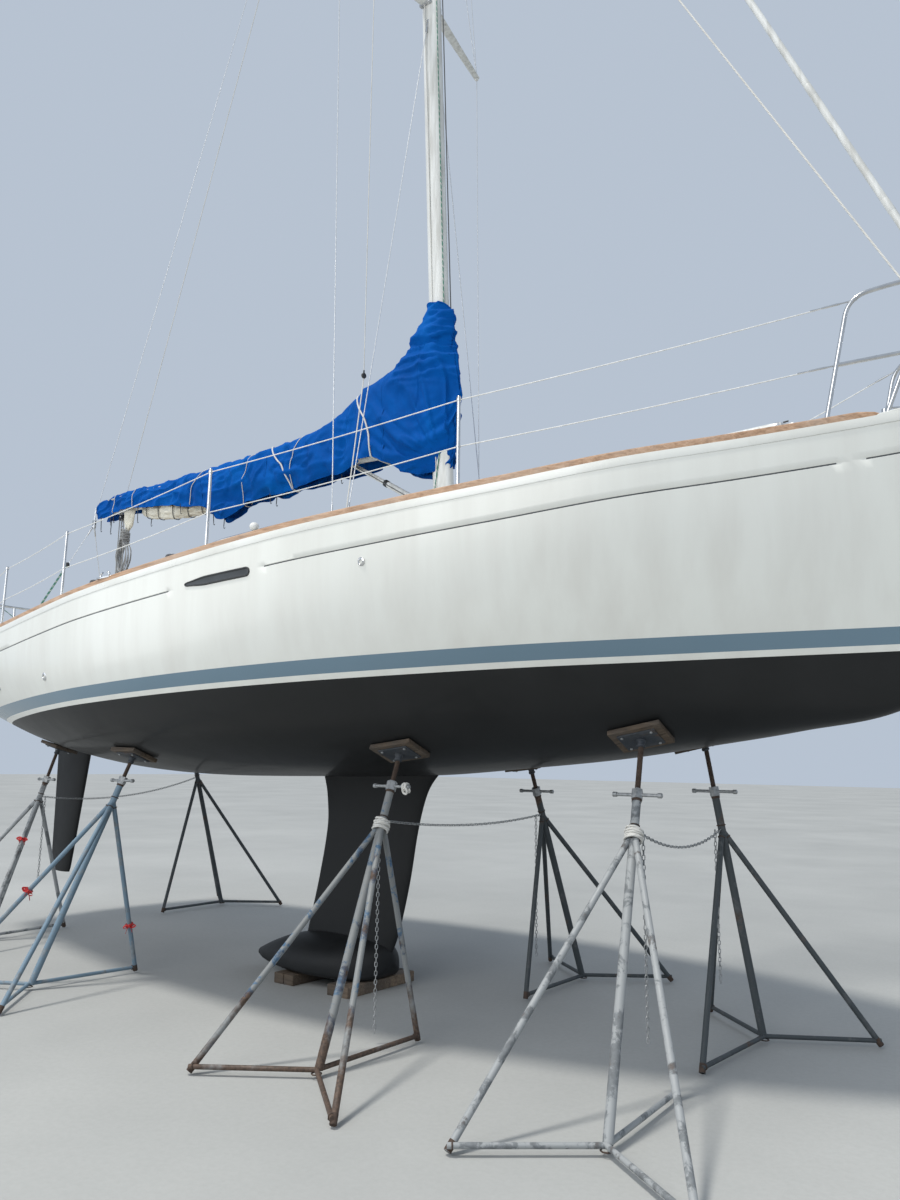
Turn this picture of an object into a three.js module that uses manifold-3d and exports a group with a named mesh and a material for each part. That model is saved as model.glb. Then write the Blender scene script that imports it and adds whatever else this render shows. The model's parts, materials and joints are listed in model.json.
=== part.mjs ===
// Sailing yacht laid up ashore on keel blocks and jack stands.
// Millimetres. +X is towards the bow, +Y to port, +Z up, and the ground is z = 0.
import * as THREE from "three";
import { mergeVertices } from "three/addons/utils/BufferGeometryUtils.js";
import Module from "manifold-3d";

const wasm = await Module();
wasm.setup();

// Driving dimensions
const GAP = 0.4; // left between pieces that touch
const RUNNING_GAP = 0.6; // between a shaft and its bore
const SHEER_RAIL = 45; // toe rail height over the hull's edge
const DECK_THICK = 35;
const DECK_CAMBER = 70;
const MAST_FOOT = [770, 0, 3560];
const MAST_RAKE = 0.049; // aft lean, in radians
const MAST_LENGTH = 12240;
const MAST_SECTION = [190, 122]; // fore-and-aft, athwartships
const MAST_TAPER = 0.62; // section at the head over section at the foot
const GOOSENECK_HEIGHT = 760; // above the mast foot, along the mast
const BOOM_LENGTH = 4760;
const BOOM_SECTION = [150, 96]; // height, width
const BOOM_RISE = 0.09; // radians the boom climbs aft, against the mast's square
const WIRE_R = 4;
const LIFELINE_R = 3.5;
const STANCHION_R = 12.5;
const STANCHION_HEIGHT = 600;
const RAIL_R = 12.5;
const STOCK_R = 32;
const WHEEL_R = 360;
const STAND_PIPE_R = 18;
const STAND_SCREW_R = 16;
const STAND_PAD = [330, 240, 34]; // along the hull, across it, timber thickness
const STAND_PLATE = 10;

// Jack stands. x and y of the middle foot, x and y of the pad on the hull, the heading of
// the inboard foot in degrees, and where the legs meet and the nut sits along the post.
const STANDS = [
  { name: "fore_starboard", foot: [2980, -1560], pad: [2640, -430], turn: 93, apex: 0.74, nut: 0.845 },
  { name: "fore_port", foot: [2950, 560], pad: [2660, 430], turn: -94, apex: 0.71, nut: 0.845 },
  { name: "mid_starboard", foot: [1280, -1690], pad: [1100, -850], turn: 89, apex: 0.775, nut: 0.9 },
  { name: "mid_port", foot: [1250, 1280], pad: [1180, 600], turn: -90, apex: 0.8, nut: 0.91 },
  { name: "aft_starboard", foot: [-1730, -1740], pad: [-1540, -1120], turn: 84, apex: 0.815, nut: 0.91 },
  { name: "stern_starboard", foot: [-3800, -1090], pad: [-3650, -600], turn: 96, apex: 0.755, nut: 0.85 },
  { name: "stern_port", foot: [-3950, 1778], pad: [-3750, 1000], turn: -88, apex: 0.77, nut: 0.87 },
];
// The three feet about the middle one: reach and heading from the inboard foot.
const STAND_FEET = [
  { reach: 850, turn: 0 },
  { reach: 720, turn: 127 },
  { reach: 720, turn: -127 },
];

// Hull sections, from stem to transom.
// x, half-breadth at the sheer, sheer height, bottom height, fullness of the section
const HULL_SECTIONS = [
  { x: 4870, half: 24, sheer: 3690, bottom: 3560, full: 1.25 },
  { x: 4680, half: 140, sheer: 3655, bottom: 3080, full: 1.25 },
  { x: 4450, half: 270, sheer: 3620, bottom: 2330, full: 1.3 },
  { x: 4010, half: 505, sheer: 3545, bottom: 2030, full: 1.45 },
  { x: 3450, half: 805, sheer: 3460, bottom: 1915, full: 1.85 },
  { x: 2860, half: 1105, sheer: 3385, bottom: 1825, full: 2.0 },
  { x: 2260, half: 1335, sheer: 3305, bottom: 1742, full: 2.4 },
  { x: 1540, half: 1535, sheer: 3235, bottom: 1675, full: 2.75 },
  { x: 700, half: 1692, sheer: 3165, bottom: 1610, full: 3.2 },
  { x: -380, half: 1768, sheer: 3075, bottom: 1585, full: 3.9 },
  { x: -1500, half: 1745, sheer: 2995, bottom: 1572, full: 3.9 },
  { x: -2260, half: 1668, sheer: 2935, bottom: 1596, full: 3.5 },
  { x: -3000, half: 1570, sheer: 2878, bottom: 1662, full: 2.9 },
  { x: -3790, half: 1460, sheer: 2820, bottom: 1778, full: 2.35 },
  { x: -4500, half: 1330, sheer: 2775, bottom: 1935, full: 2.0 },
  { x: -5060, half: 1195, sheer: 2745, bottom: 2090, full: 1.8 },
];
const HULL_ROUND = 2.0; // flatness of a section across the bottom
const HULL_STEPS = 12; // facets from keel line to sheer
const TRANSOM_START = -4300; // where the sections begin to lean
const TRANSOM_LEAN = 0.2; // forward run of the transom's top, per unit of height

// Cockpit, lockers and hatches
const SEAT = { x0: -3450, x1: -1060, half: 950, z: 2660 };
const WELL = { x0: -3350, x1: -1060, half: 330, z: 2300 };
const COMPANION = { x0: -1000, x1: -340, half: 300, z: 2480, sill: 2790 };
const LOCKER = { x0: -2400, x1: -1500, y0: 430, y1: 860, deep: 330 };
const ANCHOR_WELL = { x0: 3420, x1: 3980, half0: 250, half1: 130, deep: 280 };
const FORE_HATCH = { x: 1480, side: 520, deep: 90, rim: 30 };
const LID_THICK = 22;
const LID_LAP = 18; // how far a lid laps its opening
const COAMING = { x0: -3560, x1: -990, inner: 955, outer: 1110, high: 225 };
const WINCH = { r: 68, height: 170 };
const WINCH_PLACES = [-1320, -2470];
const PORTLIGHT = { x: 185, z: 2920, length: 650, height: 85, deep: 12 };
const PEDESTAL = { x: -2940, r: 62, top: 2990 };
const WHEEL = { x: -3062, z: 2890 };

// Coachroof plan: x, half-width at the deck, height of its side over the sheer
const ROOF_SECTIONS = [
  { x: -1000, half: 870, side: 300 },
  { x: -300, half: 868, side: 300 },
  { x: 500, half: 800, side: 285 },
  { x: 1100, half: 690, side: 255 },
  { x: 1700, half: 520, side: 190 },
  { x: 2280, half: 300, side: 90 },
  { x: 2560, half: 150, side: 30 },
];
const ROOF_CROWN = 95;
const ROOF_TUMBLE = 0.86; // width at the top of the side over width at the deck

const MATERIALS = {
  gelcoat: new THREE.MeshStandardMaterial({ color: 0xe6e8e2, roughness: 0.25 }),
  antifouling: new THREE.MeshStandardMaterial({ color: 0x1b1d1e, roughness: 0.8 }),
  deck: new THREE.MeshStandardMaterial({ color: 0xd8d9d3, roughness: 0.6 }),
  teak: new THREE.MeshStandardMaterial({ color: 0xa97e5c, roughness: 0.75 }),
  spar: new THREE.MeshStandardMaterial({ color: 0xe4e6e6, roughness: 0.35, metalness: 0.2 }),
  steel: new THREE.MeshStandardMaterial({ color: 0xa8abac, roughness: 0.3, metalness: 1 }),
  canvas: new THREE.MeshStandardMaterial({ color: 0x0b55b5, roughness: 0.9 }),
  sailcloth: new THREE.MeshStandardMaterial({ color: 0xddd9cb, roughness: 0.85 }),
  rope: new THREE.MeshStandardMaterial({ color: 0xbfc0ba, roughness: 0.95 }),
  acrylic: new THREE.MeshStandardMaterial({ color: 0x25292c, roughness: 0.15 }),
  galvanised: new THREE.MeshStandardMaterial({ color: 0x8d979b, roughness: 0.6, metalness: 0.6 }),
  timber: new THREE.MeshStandardMaterial({ color: 0x8b6f4c, roughness: 0.9 }),
};

// Turns a closed geometry into a solid that can be joined and cut.
function solidOf(geometry) {
  const bare = geometry.clone();
  bare.deleteAttribute("normal");
  bare.deleteAttribute("uv");
  const merged = mergeVertices(bare, 1e-3);
  return new wasm.Manifold(
    new wasm.Mesh({
      numProp: 3,
      vertProperties: new Float32Array(merged.attributes.position.array),
      triVerts: new Uint32Array(merged.index.array),
    }),
  );
}

// Turns a solid back into a geometry.
function geometryOf(solid) {
  const mesh = solid.getMesh();
  const points = new Float32Array(mesh.numVert * 3);
  for (let i = 0; i < mesh.numVert; i++) {
    points.set(mesh.vertProperties.subarray(i * mesh.numProp, i * mesh.numProp + 3), i * 3);
  }
  const geometry = new THREE.BufferGeometry();
  geometry.setAttribute("position", new THREE.BufferAttribute(points, 3));
  geometry.setIndex(new THREE.BufferAttribute(mesh.triVerts, 1));
  geometry.computeVertexNormals();
  return geometry;
}

// Carries a solid from the mast's frame to the boat's.
function toBoat(solid) {
  return solidOf(geometryOf(solid).rotateY(-MAST_RAKE).translate(...MAST_FOOT));
}

function join(solids) {
  return solids.reduce((all, next) => all.add(next));
}

const vec = (p) => new THREE.Vector3(...p);

// A closed solid through rings that all have the same number of points.
function loft(rings) {
  const count = rings[0].length;
  const points = rings.flat().flat();
  const faces = [];
  for (let i = 0; i + 1 < rings.length; i++) {
    for (let j = 0; j < count; j++) {
      const a = i * count + j;
      const b = i * count + ((j + 1) % count);
      faces.push(a, b, a + count, b, b + count, a + count);
    }
  }
  const last = (rings.length - 1) * count;
  for (let j = 1; j + 1 < count; j++) {
    faces.push(0, j + 1, j, last, last + j, last + j + 1);
  }
  const geometry = new THREE.BufferGeometry();
  geometry.setAttribute("position", new THREE.Float32BufferAttribute(points, 3));
  geometry.setIndex(faces);
  const solid = solidOf(geometry);
  if (solid.volume() > 0) return solid;
  for (let i = 0; i < faces.length; i += 3) {
    [faces[i + 1], faces[i + 2]] = [faces[i + 2], faces[i + 1]];
  }
  geometry.setIndex(faces);
  return solidOf(geometry);
}

function box(low, high) {
  const size = high.map((v, i) => v - low[i]);
  const shape = new THREE.BoxGeometry(...size);
  shape.translate(...low.map((v, i) => v + size[i] / 2));
  return solidOf(shape);
}

// A round bar between two points, which may taper.
function bar(from, to, r0, r1 = r0, sides = 8) {
  const a = vec(from);
  const run = vec(to).sub(a);
  const shape = new THREE.CylinderGeometry(r1, r0, run.length(), sides, 1);
  shape.translate(0, run.length() / 2, 0);
  const turn = new THREE.Quaternion().setFromUnitVectors(
    new THREE.Vector3(0, 1, 0),
    run.clone().normalize(),
  );
  shape.applyQuaternion(turn);
  shape.translate(a.x, a.y, a.z);
  return solidOf(shape);
}

// A round rod along straight runs, mitred at each bend.
function rod(points, r, sides = 8) {
  const path = points.map(vec);
  const heading = (i) => path[i + 1].clone().sub(path[i]).normalize();
  const first = heading(0);
  const across = Math.abs(first.z) < 0.9 ? [0, 0, 1] : [1, 0, 0];
  const u = vec(across).cross(first).normalize();
  const v = first.clone().cross(u);
  const last = path.length - 1;
  const rings = path.map((p, i) => {
    const before = heading(Math.max(i - 1, 0));
    const after = heading(Math.min(i, last - 1));
    const normal = before.clone().add(after).normalize();
    const ring = [];
    for (let k = 0; k < sides; k++) {
      const angle = (k / sides) * 2 * Math.PI;
      const q = u.clone().multiplyScalar(r * Math.cos(angle));
      q.addScaledVector(v, r * Math.sin(angle));
      q.addScaledVector(before, -q.dot(normal) / before.dot(normal));
      ring.push(q.add(p).toArray());
    }
    if (i > 0) {
      u.addScaledVector(normal, -2 * u.dot(normal));
      v.addScaledVector(normal, -2 * v.dot(normal));
    }
    return ring;
  });
  return loft(rings);
}

function lathe(profile, sides, place, axis = "z") {
  const shape = new THREE.LatheGeometry(
    profile.map(([r, h]) => new THREE.Vector2(r, h)),
    sides,
  );
  if (axis === "z") shape.rotateX(Math.PI / 2);
  if (axis === "x") shape.rotateZ(-Math.PI / 2);
  shape.translate(...place);
  return solidOf(shape);
}

// The value of one column of a table at x, on a smooth curve through its rows.
function column(table, name, x) {
  const up = table[0].x < table[1].x ? 1 : -1;
  let i = 0;
  while (i < table.length - 2 && (table[i + 1].x - x) * up < 0) i++;
  const slope = (k) => {
    const a = table[Math.max(k - 1, 0)];
    const b = table[Math.min(k + 1, table.length - 1)];
    return (b[name] - a[name]) / (b.x - a.x);
  };
  const p = table[i];
  const q = table[i + 1];
  const run = q.x - p.x;
  const t = Math.min(Math.max((x - p.x) / run, 0), 1);
  const rise = q[name] - p[name];
  const m0 = slope(i) * run;
  const m1 = slope(i + 1) * run;
  return p[name] + t * m0 + t * t * (3 * rise - 2 * m0 - m1) + t * t * t * (m0 + m1 - 2 * rise);
}

const sheerZ = (x) => column(HULL_SECTIONS, "sheer", x);
const halfBreadth = (x) => column(HULL_SECTIONS, "half", x);
const bottomZ = (x) => column(HULL_SECTIONS, "bottom", x);

// Height of the hull's underside at x, y.
function hullZ(x, y) {
  const part = Math.min(Math.abs(y) / halfBreadth(x), 1);
  const depth = sheerZ(x) - bottomZ(x);
  const full = column(HULL_SECTIONS, "full", x);
  return sheerZ(x) - depth * Math.pow(1 - Math.pow(part, HULL_ROUND), 1 / full);
}

// Half-width of the hull at x and height z.
function hullY(x, z) {
  const drop = Math.min(Math.max((sheerZ(x) - z) / (sheerZ(x) - bottomZ(x)), 0), 1);
  const full = column(HULL_SECTIONS, "full", x);
  return halfBreadth(x) * Math.pow(1 - Math.pow(drop, full), 1 / HULL_ROUND);
}

// Forward shift of a point of a leaning stern section.
function lean(x, z) {
  const part = Math.max(0, (TRANSOM_START - x) / (TRANSOM_START - HULL_SECTIONS.at(-1).x));
  return part * part * TRANSOM_LEAN * (z - bottomZ(x));
}

// Stations of the hull, closer together at its ends.
function stations() {
  const places = [];
  for (let i = 0; i + 1 < HULL_SECTIONS.length; i++) {
    places.push(HULL_SECTIONS[i].x, (HULL_SECTIONS[i].x + HULL_SECTIONS[i + 1].x) / 2);
  }
  return [...places, HULL_SECTIONS.at(-1).x];
}

function hullRing(x, lift = 0, grow = 0) {
  const half = [];
  for (let i = 0; i <= HULL_STEPS; i++) {
    const angle = (i / HULL_STEPS) * (Math.PI / 2);
    const z = sheerZ(x) - (sheerZ(x) - bottomZ(x)) * Math.pow(Math.cos(angle), 1.25);
    half.push([hullY(x, z), z]);
  }
  const ring = [];
  for (let i = HULL_STEPS; i > 0; i--) ring.push([half[i][0] + grow, half[i][1]]);
  ring.push([0, half[0][1]]);
  for (let i = 1; i <= HULL_STEPS; i++) ring.push([-half[i][0] - grow, half[i][1]]);
  return ring.map(([y, z]) => [x + lean(x, z), y, z + lift]);
}

function hullSolid(lift = 0, grow = 0) {
  return loft(stations().map((x) => hullRing(x, lift, grow)));
}

// Top of the deck at x, y.
function deckZ(x, y) {
  const part = Math.min(Math.abs(y) / Math.max(halfBreadth(x), 1), 1);
  return sheerZ(x) + 4 + DECK_CAMBER * (halfBreadth(x) / 1768) * (1 - part * part);
}

// The deck, or a cutter of its shape that is larger all round.
function deckSlab(grow = 0) {
  const inset = 14 - grow;
  const parts = 8;
  return loft(
    stations()
      .slice(1)
      .map((x) => {
        const half = Math.max(halfBreadth(x) - inset, 8);
        const ring = [];
        for (let i = 0; i <= parts; i++) {
          const y = half * (1 - (2 * i) / parts);
          ring.push([x, y, deckZ(x, y) + grow]);
        }
        ring.push([x, -half, sheerZ(x) - DECK_THICK]);
        ring.push([x, half, sheerZ(x) - DECK_THICK]);
        return ring.map(([px, y, z]) => [px + lean(px, z), y, z]);
      }),
  );
}

// The rebate in the top of the hull that the deck lies in.
function deckRebate() {
  const rim = 13;
  const high = 4200;
  return loft(
    stations()
      .slice(1)
      .map((x) => {
        const half = Math.max(halfBreadth(x) - rim, 9);
        const z = sheerZ(x) - DECK_THICK - GAP;
        const px = x + lean(x, z);
        return [
          [px, half, high],
          [px, half, z],
          [px, -half, z],
          [px, -half, high],
        ];
      }),
  );
}

function sideBox(x0, x1, side, y0, y1, z0, z1) {
  const [low, high] = [side * y0, side * y1].sort((a, b) => a - b);
  return box([x0, low, z0], [x1, high, z1]);
}

const OVERHEAD = 3900; // above every deck piece, where upward cuts end

function cockpitHollow() {
  return join([
    box([SEAT.x0, -SEAT.half, SEAT.z], [SEAT.x1, SEAT.half, OVERHEAD]),
    box([WELL.x0, -WELL.half, WELL.z], [WELL.x1, WELL.half, OVERHEAD]),
    box(
      [COMPANION.x0, -COMPANION.half, COMPANION.z],
      [COMPANION.x1, COMPANION.half, OVERHEAD],
    ),
    box(
      [SEAT.x1 - 10, -COMPANION.half, COMPANION.sill],
      [COMPANION.x0 + 10, COMPANION.half, OVERHEAD],
    ),
  ]);
}

function lockerHollow(side) {
  const { x0, x1, y0, y1, deep } = LOCKER;
  return sideBox(x0, x1, side, y0, y1, SEAT.z - deep, SEAT.z + 10);
}

// A block over the anchor well's plan, wider by grow, between two heights over the deck.
function anchorBlock(grow, low, high) {
  const rows = [
    [ANCHOR_WELL.x0 - grow, ANCHOR_WELL.half0 + grow],
    [ANCHOR_WELL.x1 + grow, ANCHOR_WELL.half1 + grow],
  ];
  return loft(
    rows.map(([x, half]) => {
      const z = deckZ(x, 0);
      return [
        [x, half, z + high],
        [x, half, z + low],
        [x, -half, z + low],
        [x, -half, z + high],
      ];
    }),
  );
}

const ROOF_SIDE = 300; // the tallest side, which the crown is given for

function roofCrown(x) {
  return ROOF_CROWN * (column(ROOF_SECTIONS, "side", x) / ROOF_SIDE);
}

function roofZ(x, y) {
  const part = Math.abs(y) / (column(ROOF_SECTIONS, "half", x) * ROOF_TUMBLE);
  const rise = roofCrown(x) * (1 - Math.min(part, 1) ** 2);
  return sheerZ(x) + column(ROOF_SECTIONS, "side", x) + rise;
}

function coachroofSolid(grow = 0) {
  const parts = 8;
  const steps = 14;
  const first = ROOF_SECTIONS[0].x;
  const run = ROOF_SECTIONS.at(-1).x - first;
  const rings = [];
  for (let k = 0; k <= steps; k++) {
    const x = first + (run * k) / steps;
    const half = column(ROOF_SECTIONS, "half", x) + grow;
    const foot = sheerZ(x) - 20 - grow;
    const ring = [[half, foot], [half, sheerZ(x) + 60]];
    for (let i = 0; i <= parts; i++) {
      const y = half * ROOF_TUMBLE * (1 - (2 * i) / parts);
      ring.push([y, Math.max(roofZ(x, y), sheerZ(x) + 61)]);
    }
    ring.push([-half, sheerZ(x) + 60], [-half, foot]);
    const end = k === 0 ? -grow : k === steps ? grow : 0;
    rings.push(ring.map(([y, z]) => [x + end, y, z]));
  }
  return loft(rings);
}

const boat = new THREE.Group();

function put(name, solid, material, parent = boat) {
  const mesh = new THREE.Mesh(geometryOf(solid), MATERIALS[material].clone());
  mesh.name = name;
  parent.add(mesh);
  return mesh;
}

// The rudder stock's bore, up from the hull's underside.
const STOCK_FOOT = [-4255, 0, 1700];
const STOCK_HEAD = [-4179, 0, 2390];
const bore = bar(STOCK_FOOT, [-4178, 0, 2400], STOCK_R + RUNNING_GAP + 0.5, undefined, 32);

// A pocket for the long oval light in the topsides.
function portlightPocket(side) {
  const half = PORTLIGHT.length / 2 - PORTLIGHT.height / 2;
  const outline = new THREE.Shape();
  outline.absarc(half, 0, PORTLIGHT.height / 2, -Math.PI / 2, Math.PI / 2, false);
  outline.absarc(-half, 0, PORTLIGHT.height / 2, Math.PI / 2, (3 * Math.PI) / 2, false);
  const shape = new THREE.ExtrudeGeometry(outline, {
    depth: 60,
    bevelEnabled: false,
    curveSegments: 8,
  });
  shape.rotateX(Math.PI / 2);
  const face = hullY(PORTLIGHT.x, PORTLIGHT.z) - PORTLIGHT.deep;
  shape.translate(PORTLIGHT.x, side > 0 ? face + 60 : -face, PORTLIGHT.z);
  return solidOf(shape);
}

const hollows = join([
  cockpitHollow(),
  lockerHollow(1),
  lockerHollow(-1),
  anchorBlock(0, -ANCHOR_WELL.deep, 200),
]);
put(
  "hull",
  hullSolid()
    .subtract(deckRebate())
    .subtract(hollows)
    .subtract(bore)
    .subtract(join([portlightPocket(1), portlightPocket(-1)])),
  "gelcoat",
);
put("deck", deckSlab().subtract(hollows).subtract(coachroofSolid(GAP)), "deck");

// Coachroof with its sliding hatch, washboard and fore hatch
const hatchLow = roofZ(FORE_HATCH.x - FORE_HATCH.side / 2, 0);
const hatchHigh = roofZ(FORE_HATCH.x + FORE_HATCH.side / 2, 0);
const FORE_HATCH_TOP = Math.max(hatchLow, hatchHigh) + 16;
function foreHatchBlock(inset, low, high) {
  const half = FORE_HATCH.side / 2 - inset;
  return box([FORE_HATCH.x - half, -half, low], [FORE_HATCH.x + half, half, high]);
}
const SLIDE_RUN = 560; // travel of the sliding hatch
const SLIDE_LENGTH = 700;
const SLIDE_HALF = 345;
const RUNNER = { y: 318, half: 9 };
const slideStart = [COMPANION.x0 - 30, roofZ(COMPANION.x0, 0)];
const slideSlope = (roofZ(COMPANION.x1 + SLIDE_RUN, 0) - roofZ(COMPANION.x0, 0)) /
  (COMPANION.x1 + SLIDE_RUN - COMPANION.x0);
const SLIDE_LIFT = 34;
// A block over the roof that follows the hatch's slope.
function slopedBlock(x0, x1, y0, y1, low, high) {
  const rings = [x0, x1].map((x) => {
    const z = slideStart[1] + slideSlope * (x - slideStart[0]);
    return [
      [x, y1, z + high],
      [x, y1, z + low],
      [x, y0, z + low],
      [x, y0, z + high],
    ];
  });
  return loft(rings);
}
const mastStep = toBoat(box([-130, -95, -90], [130, 95, -GAP]));
const runnerEnd = COMPANION.x1 + SLIDE_RUN + 60;
const runners = [1, -1].map((side) => {
  const ys = [side * (RUNNER.y - RUNNER.half), side * (RUNNER.y + RUNNER.half)];
  const [y0, y1] = ys.sort((a, b) => a - b);
  return slopedBlock(COMPANION.x0 + 2, runnerEnd, y0, y1, -60, SLIDE_LIFT);
});
put(
  "coachroof",
  join([
    coachroofSolid(),
    mastStep,
    ...runners,
    foreHatchBlock(0, FORE_HATCH_TOP - 120, FORE_HATCH_TOP),
  ])
    .subtract(hollows)
    .subtract(foreHatchBlock(FORE_HATCH.rim, FORE_HATCH_TOP - FORE_HATCH.deep, OVERHEAD)),
  "gelcoat",
);
put(
  "companionway_hatch",
  slopedBlock(
    slideStart[0],
    slideStart[0] + SLIDE_LENGTH,
    -SLIDE_HALF,
    SLIDE_HALF,
    SLIDE_LIFT + GAP,
    SLIDE_LIFT + GAP + 30,
  ),
  "acrylic",
);
put(
  "washboard",
  box(
    [COMPANION.x0 - 40, -COMPANION.half + GAP, COMPANION.sill + GAP],
    [COMPANION.x0 - 16, COMPANION.half - GAP, slideStart[1] + 4],
  ),
  "teak",
);
put(
  "fore_hatch_lid",
  foreHatchBlock(4, FORE_HATCH_TOP + GAP, FORE_HATCH_TOP + GAP + LID_THICK),
  "acrylic",
);

// Lids of the anchor well and the seat lockers
const LID_SEAT = 0.8; // over the deck's crown
put("anchor_locker_lid", anchorBlock(LID_LAP, LID_SEAT, LID_SEAT + LID_THICK), "deck");
for (const [name, side] of [["port", 1], ["starboard", -1]]) {
  put(
    `seat_locker_lid_${name}`,
    sideBox(
      LOCKER.x0 - LID_LAP,
      LOCKER.x1 + LID_LAP,
      side,
      LOCKER.y0 - LID_LAP,
      LOCKER.y1 + LID_LAP,
      SEAT.z + GAP,
      SEAT.z + GAP + LID_THICK,
    ),
    "teak",
  );
}

// Coamings, each with its two winches
function winch(x, y, z) {
  const { r, height } = WINCH;
  const profile = [
    [0, -30],
    [r, -30],
    [r, 18],
    [r * 0.78, 34],
    [r * 0.72, height * 0.55],
    [r * 0.86, height * 0.74],
    [r * 0.96, height * 0.8],
    [r * 0.96, height * 0.93],
    [r * 0.6, height],
    [0, height],
  ];
  return lathe(profile, 16, [x, y, z]);
}
const coamingTop = (x) => sheerZ(x) + COAMING.high;
for (const [name, side] of [["port", 1], ["starboard", -1]]) {
  const steps = 6;
  const rings = [];
  for (let k = 0; k <= steps; k++) {
    const x = COAMING.x0 + ((COAMING.x1 - COAMING.x0) * k) / steps;
    const top = coamingTop(x);
    const drop = k === 0 ? 95 : 0;
    rings.push([
      [x, side * COAMING.inner, sheerZ(x)],
      [x, side * COAMING.outer, sheerZ(x)],
      [x, side * (COAMING.outer - 22), top - 22 - drop],
      [x, side * (COAMING.outer - 42), top - drop],
      [x, side * (COAMING.inner + 24), top - drop],
      [x, side * (COAMING.inner + 6), top - 20 - drop],
    ]);
  }
  const middle = side * (COAMING.inner + COAMING.outer) / 2;
  const winches = WINCH_PLACES.map((x) => winch(x, middle, coamingTop(x)));
  put(
    `coaming_${name}`,
    join([loft(rings), ...winches]).subtract(deckSlab(GAP)),
    "gelcoat",
  );
}

// Teak toe rails
const RAIL_SPAN = { x0: -4930, x1: 4100, steps: 34, wide: 28, inset: 6 };
for (const [name, side] of [["port", 1], ["starboard", -1]]) {
  const rings = [];
  for (let k = 0; k <= RAIL_SPAN.steps; k++) {
    const x = RAIL_SPAN.x0 + ((RAIL_SPAN.x1 - RAIL_SPAN.x0) * k) / RAIL_SPAN.steps;
    const outer = halfBreadth(x) - RAIL_SPAN.inset;
    const low = sheerZ(x) + 2;
    const high = sheerZ(x) + SHEER_RAIL;
    const px = x + lean(x, low);
    rings.push([
      [px, side * outer, low],
      [px, side * (outer - 3), high],
      [px, side * (outer - RAIL_SPAN.wide + 3), high],
      [px, side * (outer - RAIL_SPAN.wide), low],
    ]);
  }
  put(`toe_rail_${name}`, loft(rings).subtract(deckSlab(GAP)), "teak");
}

// Keel: a fin on a flat-soled bulb
// z, leading edge, trailing edge, half-thickness
const FIN_SECTIONS = [
  { z: 230, fore: 305, aft: -625, half: 62 },
  { z: 420, fore: 388, aft: -575, half: 56 },
  { z: 800, fore: 488, aft: -480, half: 58 },
  { z: 1200, fore: 562, aft: -410, half: 62 },
  { z: 1440, fore: 632, aft: -428, half: 68 },
  { z: 1560, fore: 700, aft: -460, half: 78 },
  { z: 1720, fore: 860, aft: -520, half: 100 },
];
const FOIL = [
  [0, 0],
  [0.03, 0.42],
  [0.1, 0.76],
  [0.28, 1],
  [0.5, 0.88],
  [0.78, 0.44],
  [1, 0.05],
];
function foilRing(fore, aft, half, z) {
  const chord = aft - fore;
  const near = FOIL.slice(1).map(([u, v]) => [fore + chord * u, half * v, z]);
  const far = FOIL.slice(1).map(([u, v]) => [fore + chord * u, -half * v, z]);
  return [[fore, 0, z], ...near, ...far.reverse()];
}
// x, sole, top, half-width
const BULB_SECTIONS = [
  { x: 335, low: 200, high: 270, half: 20 },
  { x: 300, low: 130, high: 320, half: 110 },
  { x: 220, low: 84, high: 345, half: 205 },
  { x: 100, low: 80, high: 360, half: 290 },
  { x: -150, low: 80, high: 365, half: 355 },
  { x: -420, low: 80, high: 355, half: 355 },
  { x: -700, low: 80, high: 310, half: 275 },
  { x: -950, low: 85, high: 225, half: 165 },
  { x: -1150, low: 92, high: 140, half: 40 },
];
const BULB_WAIST = 0.3; // height of the widest line in the section
const BULB_BILGE = 0.4; // below 1 squares the lower half of the section
const bulb = loft(
  BULB_SECTIONS.map(({ x, low, high, half }) => {
    const ring = [];
    const parts = 16;
    const waist = low + BULB_WAIST * (high - low);
    for (let i = 0; i < parts; i++) {
      const angle = ((i + 0.5) / parts) * 2 * Math.PI;
      const down = Math.cos(angle) / Math.cos(Math.PI / parts);
      const power = down > 0 ? BULB_BILGE : 1;
      const wide = Math.sign(Math.sin(angle)) * Math.abs(Math.sin(angle)) ** power;
      const reach = Math.sign(down) * Math.abs(down) ** power;
      ring.push([x, half * wide, waist - (down > 0 ? waist - low : high - waist) * reach]);
    }
    return ring;
  }),
);
const fin = loft(FIN_SECTIONS.map((s) => foilRing(s.fore, s.aft, s.half, s.z)));
put("keel", fin.add(bulb).subtract(hullSolid(-GAP)), "antifouling");

// Rudder, hung on its stock
const BLADE_SECTIONS = [
  { z: 500, fore: -4325, aft: -4665, half: 34 },
  { z: 560, fore: -4305, aft: -4690, half: 40 },
  { z: 1200, fore: -4190, aft: -4720, half: 50 },
  { z: 2100, fore: -4030, aft: -4765, half: 56 },
];
const BLADE_GAP = 24;
const blade = loft(BLADE_SECTIONS.map((s) => foilRing(s.fore, s.aft, s.half, s.z)));
put(
  "rudder",
  blade
    .subtract(hullSolid(-BLADE_GAP))
    .add(bar([-4277, 0, 1500], STOCK_HEAD, STOCK_R, undefined, 32)),
  "antifouling",
);

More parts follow.
